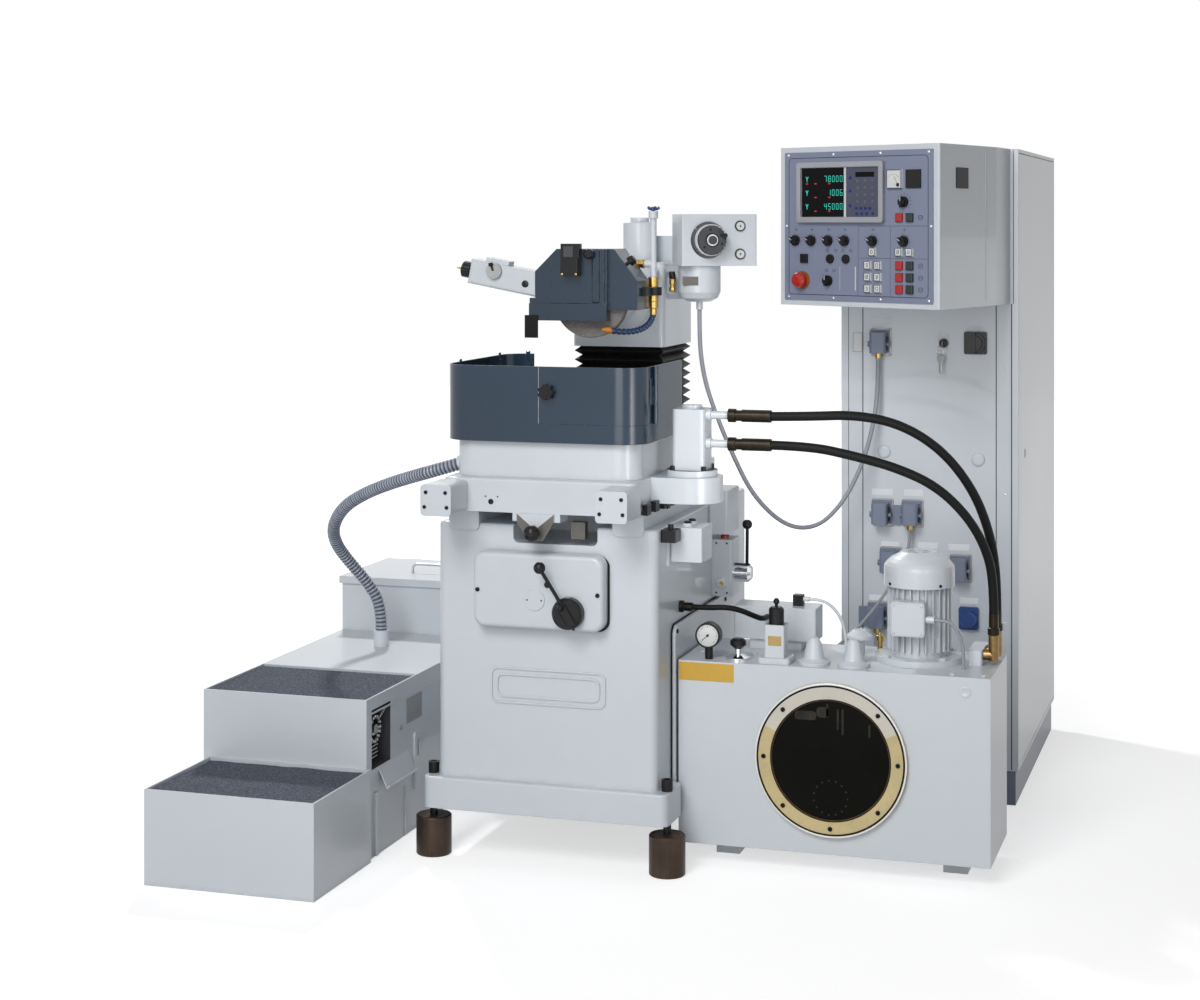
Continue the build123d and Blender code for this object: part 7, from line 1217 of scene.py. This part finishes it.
def segment_digit(maker, face, u, v, tall, digit, h):
    """One seven-bar numeral."""
    w = tall * 0.47
    t = tall * 0.092
    half = tall / 2
    bars = {"a": ((0, tall), (w, tall)), "b": ((w, half), (w, tall)), "c": ((w, 0), (w, half)),
            "d": ((0, 0), (w, 0)), "e": ((0, 0), (0, half)), "f": ((0, half), (0, tall)), "g": ((0, half), (w, half))}
    for name in SEGMENTS[digit]:
        (a, b), (c, d) = bars[name]
        maker.bar(face, (u + a, v + b), (u + c, v + d), t, 0.3, h)


class GRINDER_OT_panel(bpy.types.Operator):
    """Fit out the control panel."""

    bl_idname = "grinder.panel"
    bl_label = "Control panel"

    def execute(self, context):
        screw = sizes().panel_screw / MM
        maker = Maker().border(PANEL, 0, 0, 474, 366, 1.5, 0.4, 12.0, FOIL)
        maker.done("panel_outline", "base", "panel_plastic", "ink")
        places = [*product((-238, -80, 80, 238), (-190, 190)), (-245, 0), (245, 0)]
        maker = Maker().each(Maker.dome_screw, PANEL, places, screw, FOIL)
        maker.done("panel_screws", "base", "cast_screw", "bright steel")

        maker = Maker().plate(PANEL, -110, 90, 146, 130, 1.0, 2.0, 0.3, FLOOR)
        maker.done("display_screen", "base", "black_plastic", "display black")
        maker = Maker().plate(PANEL, -32, 90, 7, 131, 1.6, 0.5, 0.3, FLOOR)
        maker.done("display_divider", "base", "steel", "pale ink")
        digits, marks = Maker(), Maker()
        for row, number in enumerate(("78000", " 1006", "45000")):
            v = 118 - 36.5 * row
            for i, digit in enumerate(number):
                if digit != " ":
                    segment_digit(digits, PANEL, -103 + 13.6 * i, v, 15, digit, SCREEN)
            for start, end in (((-168, v + 14), (-164, v + 6)), ((-160, v + 14), (-164, v + 6)),
                               ((-164, v + 6), (-164, v))):
                digits.bar(PANEL, start, end, 2.0, 0.3, SCREEN)
            for u in (-134, -86) if row else (-164, -134, -86):
                marks.plate(PANEL, u, v - 5, 8, 3, 0.3, 1.0, 0.1, SCREEN)
        digits.done("display_digits", "base", "green_plastic", "digit teal")
        marks.done("display_marks", "base", "red_plastic", "mark red")

        maker = Maker().plate(PANEL, 28, 90, 112, 130, 1.0, 2.0, 0.3, FLOOR)
        maker.done("keypad_foil", "base", "panel_plastic", "keypad foil")
        maker = Maker().plate(PANEL, 35, 135.5, 63, 13, 0.4, 1.0, 0.1, SCREEN)
        maker.done("keypad_strip", "base", "black_plastic", "display black")
        places = [(u, v) for v in KEY_ROWS for u in (11.5, 36.5, 61.5)]
        key = [(4.6, FLOOR + 0.9), (4.6, FLOOR + 1.6), (3.9, FLOOR + 2.0)]
        maker = Maker().each(Maker.lathe, PANEL, places, key, 16)
        maker.done("keypad_keys", "base", "panel_plastic", "bezel grey")
        places = [*product((-14.5,), (127, 92.5, 54)), *product((6.5, 22, 37, 52), (47,)),
                  *product((8.5, 25, 42, 62), (33,))]
        maker = Maker().each(Maker.plate, PANEL, places, 9.5, 8, 0.6, 3.5, 0.2, SCREEN)
        places = [(u, v + 1) for v in KEY_ROWS for u in (15, 40, 65)]
        maker.each(Maker.plate, PANEL, places, 3, 4, 0.3, 1.0, 0.1, SCREEN)
        maker.done("keypad_blues", "base", "blue_plastic", "key blue")

        maker = Maker()
        for k in range(11):
            maker.tick(PANEL, *SPEED_KNOB, 18, 24, math.radians(225 - 27 * k), 0.9, 0.3, FOIL)
        for u, v in SETTING_KNOBS:
            maker.bar(PANEL, (u - 5, -9), (u + 6, -9), 1.0, 0.3, FOIL)
            maker.bar(PANEL, (u, -4), (u, -13), 1.0, 0.3, FOIL)
            arc = [polar(17, math.radians(150 - 25 * k), u, v) for k in range(8)]
            for start, end in zip(arc, arc[1:]):
                maker.bar(PANEL, start, end, 0.7, 0.3, FOIL)
        maker.each(Maker.border, PANEL, ((-101, -64), (-71, -64), (-47, -64), (-20, -64), (-104, -117), (-77, -117)),
                   9, 7, 1.0, 0.3, 1.0, FOIL)
        for v in (22.5, -101, -131.5, -162):
            maker.border(PANEL, 212, v, 14, 12, 1.2, 0.3, 5.0, FOIL)
            maker.bar(PANEL, (208, v), (216, v), 1.2, 0.3, FOIL)
        maker.done("panel_marks", "base", "panel_plastic", "ink")
        maker = Maker()
        for start, end in (((5.6, 1), (238, 1)), ((5.6, -83), (238, -83)), ((5.6, 1), (5.6, -183)),
                           ((113, 1), (113, -183))):
            maker.bar(PANEL, start, end, 1.1, 0.3, FOIL)
        maker.done("panel_dividers", "base", "panel_plastic", "faint ink")
        maker = Maker().bar(PANEL, (-4, -106), (-4, -168), 3.2, 0.5, FOIL)
        maker.bar(PANEL, (-57, -106), (-57, -168), 1.2, 0.3, FOIL)
        maker.done("panel_strips", "base", "white_plastic", "pale ink")

        maker = Maker().each(Maker.tick, PANEL, SETTING_KNOBS, 2, 13, math.radians(150), 2.2, 0.4, KNOB_TOP)
        maker.done("knob_lines", "base", "white_plastic", "pale ink")
        for body, (u, v) in (("speed_knob", SPEED_KNOB), ("mode_selector", MODE_SELECTOR)):
            maker = Maker().bar(PANEL, (u, v + 2), (u, v + 13), 2.2, 0.4, KNOB_TOP + 0.3)
            maker.done(body + "_line", body, "white_plastic", "pale ink")

        maker = Maker()
        keys = [*product((40.5, 74), (-101, -131.5, -162)), (56, -66), (143.5, -66), (178, -66)]
        for i, (u, v) in enumerate(keys):
            maker.border(PANEL, u, v, 21, 21, 1.6, 0.3, 2.0, KEY_TOP)
            maker.border(PANEL, u, v, 8 if i % 2 else 6, 10, 1.1, 0.3, 1.0 + (i % 3), KEY_TOP)
            if i % 3 == 1:
                maker.bar(PANEL, (u - 3, v - 4), (u + 3, v + 4), 1.0, 0.3, KEY_TOP)
        maker.done("key_symbols", "function_buttons", "black_plastic", "ink")

        maker = Maker().plate(PANEL, 131, 126, 38, 30, 0.5, 1.5, 0.1, FLOOR)
        maker.done("meter_face", "base", "white_plastic", "dial face")
        maker = Maker()
        for k in range(9):
            maker.tick(PANEL, 131, 112, 21, 24, math.radians(140 - 12.5 * k), 0.8, 0.2, METER_FACE)
        maker.bar(PANEL, (143, 109), (133, 128), 0.8, 0.3, METER_FACE + 0.1)
        maker.lathe(PANEL, 144, 107, [(5, FLOOR), (5, FLOOR + 1.0), (4, FLOOR + 1.4)], 16)
        maker.border(PANEL, 131, 122, 48, 48, 1.6, 0.4, 1.0, FLOOR)
        maker.done("meter_scale", "base", "black_plastic", "ink")
        return {"FINISHED"}


HANDWHEEL_U = -31


class GRINDER_OT_dials(bpy.types.Operator):
    """Fit the gauge's dial and the infeed dial's ring."""

    bl_idname = "grinder.dials"
    bl_label = "Dials"

    def execute(self, context):
        maker = Maker().lathe(GAUGE, 0, 0, [(27.5, 0.0), (27.5, 0.6), (27.2, 0.8)], 40)
        maker.done("gauge_dial", "base", "white_plastic", "dial face")
        maker = Maker()
        for k in range(25):
            inner, width = (22, 0.6) if k % 4 else (20, 1.0)
            maker.tick(GAUGE, 0, 0, inner, 24.5, math.radians(225 - 11.25 * k), width, 0.25, 0.8)
        maker.tick(GAUGE, 0, 0, -6, 19, math.radians(222), 1.4, 0.4, 1.2)
        maker.lathe(GAUGE, 0, 0, [(3.2, 0.8), (3.2, 1.8), (2.4, 2.2)], 16)
        maker.washer(GAUGE, 0, 0, 27.5, 31.4, 3.0)
        maker.done("gauge_scale", "base", "black_plastic", "black plastic")

        maker = Maker().washer(INFEED, HANDWHEEL_U, 0, 39.5, 43.0, 17.5, 13.6, 64)
        maker.done("infeed_ring", "infeed_handwheel", "chrome", "dial face")
        maker = Maker()
        for k in range(50):
            maker.tick(INFEED, HANDWHEEL_U, 0, 45.2 if k % 5 else 44, 47.4, math.tau * k / 50, 0.7, 0.3, 13.9)
        maker.bar(INFEED, (-72, 34), (-66, 28), 2.0, 2.0, 6.0)
        maker.done("infeed_scale", "head", "white_plastic", "pale ink")
        maker = Maker().washer(INFEED, HANDWHEEL_U, 0, 7.5, 15.5, 2.0, 39.5, 40)
        maker.done("handwheel_hub", "infeed_handwheel", "chrome", "chrome")
        places = [polar(29, math.radians(100 + 120 * k), HANDWHEEL_U) for k in range(3)]
        maker = Maker().each(Maker.socket_screw, INFEED, places, 6, 38.2)
        maker.done("handwheel_screws", "infeed_handwheel", "cast_screw", "black steel")
        for name, v, turn in (("jog_arrow_1", 38, 0.25), ("jog_arrow_2", -38, 0.75)):
            maker = Maker().lathe(INFEED, 57, v, [(3.6, 6.0), (3.6, 6.3)], 3, turn=math.tau * turn)
            maker.bar(INFEED, (57, v - 4), (57, v + 4), 1.2, 0.25, 6.0)
            maker.done(name, "jog_buttons", "black_plastic", "ink")
        return {"FINISHED"}


# The height up to which oil has stained the rim, in metres, and how far glass and ring stand out of the tank.
OIL_LINE = 0.352
GLASS = 9.02
RING = 13.9


class GRINDER_OT_sight(bpy.types.Operator):
    """Seal and rim the tank's sight glass."""

    bl_idname = "grinder.sight"
    bl_label = "Sight glass"

    def execute(self, context):
        maker = Maker().washer(SIGHT, 0, 0, 179.5, 184.0, 0.7, RING, 96)
        maker.washer(SIGHT, 0, 0, 147.2, 150.0, 0.6, RING, 96)
        maker.done("sight_gasket", "base", "rubber", "black rubber")
        maker = Maker().washer(SIGHT, 0, 0, 184.5, 188.6, 1.0, RING, 96)
        maker.done("sight_edge", "base", "steel", "bright steel")
        maker = Maker().washer(SIGHT, 0, 0, 150.0, 179.5, 0.4, RING, 144)
        for patch in maker.mesh.faces:
            patch.material_index = 1 if patch.calc_center_median().z < OIL_LINE else 0
        maker.done("sight_face", "base", "white_paint", "rim plate", "oiled rim")
        maker = Maker().washer(SIGHT, 0, 0, 145.5, 147.9, 4.6, 9.1, 96)
        maker.done("sight_seal", "base", "rubber", "rust rim")
        maker = Maker()
        for u, top, low in ((18, 126, 76), (30, 126, 64), (96, 92, 62), (-8, 138, 104)):
            maker.bar(SIGHT, (u, low), (u, top), 5.0, 0.15, GLASS)
        maker.plate(SIGHT, -62, 106, 54, 22, 0.15, 8.0, 0.05, GLASS)
        maker.plate(SIGHT, -20, 116, 30, 26, 0.15, 10.0, 0.05, GLASS)
        maker.each(Maker.plate, SIGHT, circle(15, 42, 0, -92), 5, 5, 0.15, 2.4, 0.05, GLASS)
        maker.done("sight_depths", "base", "steel", "deep steel")
        return {"FINISHED"}


class GRINDER_OT_head(bpy.types.Operator):
    """Fit the small pieces on the wheel guard, the head and the splash guard."""

    bl_idname = "grinder.head"
    bl_label = "Head details"

    def execute(self, context):
        maker = Maker().each(Maker.dome_screw, LIMIT_SWITCH, ((-19, -37), (19, -37)), 7)
        maker.done("switch_screws", "head", "chrome", "brass")
        maker = Maker().plate(LIMIT_SWITCH, -4, 22, 26, 28, 0.5, 1.0, 0.1, -6.0)
        maker.done("switch_label", "head", "black_plastic", "dial grey")
        maker = Maker().slab(GUARD_FRONT, ((-95, 1386), (40, 1386), (40, 1528), (-81, 1528), (-95, 1514)), 2.4)
        maker.plate(GUARD_FRONT, 29, 1457, 22, 138, 6.0, 4.0, 4.0)
        maker.done("guard_cover", "head", "slate_paint", "slate enamel")

        maker = Maker().lathe(DRESSER, -27, -4, [(9.5, 0), (9.5, 1.2), (8.0, 2.0)])
        maker.lathe(DRESSER, -127, 30, [(5, 8), (6, 12), (6, 18), (4, 21)], 16)
        maker.bar(DRESSER, (-127, 30), (-119, 14), 5, 4, 9)
        maker.done("dresser_plug", "head", "black_plastic", "black plastic")
        maker = Maker().lathe(DRESSER_END, 0, 0, [(4, 0), (4, 6), (2.5, 7), (2.5, 14), (1.2, 16)], 12)
        maker.bar(DRESSER_END, (-10, 0), (10, 0), 3, 3, 8)
        maker.done("dresser_tip", "dresser_knob", "steel", "brass")

        profile = [(7, 0), (9, 3), (9, 12), (7, 13), (7, 20), (9, 21), (9, 34), (7, 36)]
        maker = Maker().lathe(HEAD_VALVE, 0, 0, profile, 8)
        maker.done("head_valve", "head", "chrome", "brass")
        maker = Maker().lathe(HEAD_VALVE, 0, 0, [(8, 36), (9, 38), (9, 52), (7, 55)], 16)
        maker.plate(HEAD_FRONT, 157, 1446, 16, 18, 10, 2.0, 1.0)
        maker.done("head_valve_cap", "head", "black_plastic", "black plastic")
        profile = [(9, -2), (13, 0), (13, 9), (11, 10), (11, 14), (13, 15), (13, 23), (9, 25)]
        maker = Maker().lathe(PIPE_UNION, 0, 0, profile, 6)
        maker.done("pipe_union", "head", "chrome", "brass")

        maker = Maker().lathe(PIPE_TOP, 0, 0, [(4, -14), (4, 1), (8, 2), (8, 8), (6, 11), (3, 12)], 16)
        for k in range(5):
            angle = math.tau * k / 5 + 0.3
            line = [PIPE_TOP.at(*polar(radius, angle), height)
                    for radius, height in ((4, 5), (9, 5.5), (13, 7.5), (16, 9.5), (17, 10))]
            maker.sweep(line, lambda s: 0.0030 + 0.0012 * math.sin(min(s / 0.0135, 1.0) * 2.6), 10)
        tap = maker.done("tap_star", "coolant_tap", "blue_plastic", "blue plastic")
        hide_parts("coolant_tap")

        maker = Maker().bar(RIM_FRONT, (-5, 1102), (-5, 1242.5), 1.4, 0.4)
        maker.done("door_seam", "saddle", "white_paint", "etched plate")
        for name, body, y in (("hinge_leaf_door", "splash_door", -4), ("hinge_leaf_fixed", "saddle", 33)):
            maker = Maker().plate(RIM_SIDE, y, 1190, 22, 50, 2.4, 2.0, 0.8)
            maker.done(name, body, "slate_paint", "slate enamel")
        maker = Maker()
        for y in (40, 330):
            maker.plate(RIM_LEFT, y, 1236, 12, 28, 3.0, 2.0, 1.0)
            maker.lathe(RIM_LEFT, y, 1230, [(3, 2.5), (3, 5), (2, 5.5)], 12)
        maker.plate(RIM_BACK, -206, 1236, 12, 28, 3.0, 2.0, 1.0)
        maker.done("rim_clips", "saddle", "slate_paint", "slate enamel")
        return {"FINISHED"}


OPERATORS = (GRINDER_OT_stage, GRINDER_OT_finishes, GRINDER_OT_castings, GRINDER_OT_hoses, GRINDER_OT_bellows,
             GRINDER_OT_fleece, GRINDER_OT_screws, GRINDER_OT_plates, GRINDER_OT_cabinet, GRINDER_OT_panel,
             GRINDER_OT_dials, GRINDER_OT_sight, GRINDER_OT_head)


class GRINDER_PT_sidebar(bpy.types.Panel):
    """Sizes, colours and steps of the grinder."""

    bl_idname = "GRINDER_PT_sidebar"
    bl_label = "Rotary surface grinder"
    bl_space_type = "VIEW_3D"
    bl_region_type = "UI"
    bl_category = "Grinder"

    def draw(self, context):
        for group in (context.scene.grinder_sizes, context.scene.grinder_colours):
            for key in group.__annotations__:
                self.layout.prop(group, key)
        for operator in OPERATORS:
            self.layout.operator(operator.bl_idname)


CLASSES = (GrinderColours, GrinderSizes, *OPERATORS, GRINDER_PT_sidebar)


def register():
    for item in CLASSES:
        bpy.utils.register_class(item)
    bpy.types.Scene.grinder_colours = bpy.props.PointerProperty(type=GrinderColours)
    bpy.types.Scene.grinder_sizes = bpy.props.PointerProperty(type=GrinderSizes)


def unregister():
    del bpy.types.Scene.grinder_sizes
    del bpy.types.Scene.grinder_colours
    for item in reversed(CLASSES):
        bpy.utils.unregister_class(item)


def main():
    register()
    for operator in OPERATORS:
        family, name = operator.bl_idname.split(".")
        getattr(getattr(bpy.ops, family), name)()


if __name__ == "__main__":
    main()
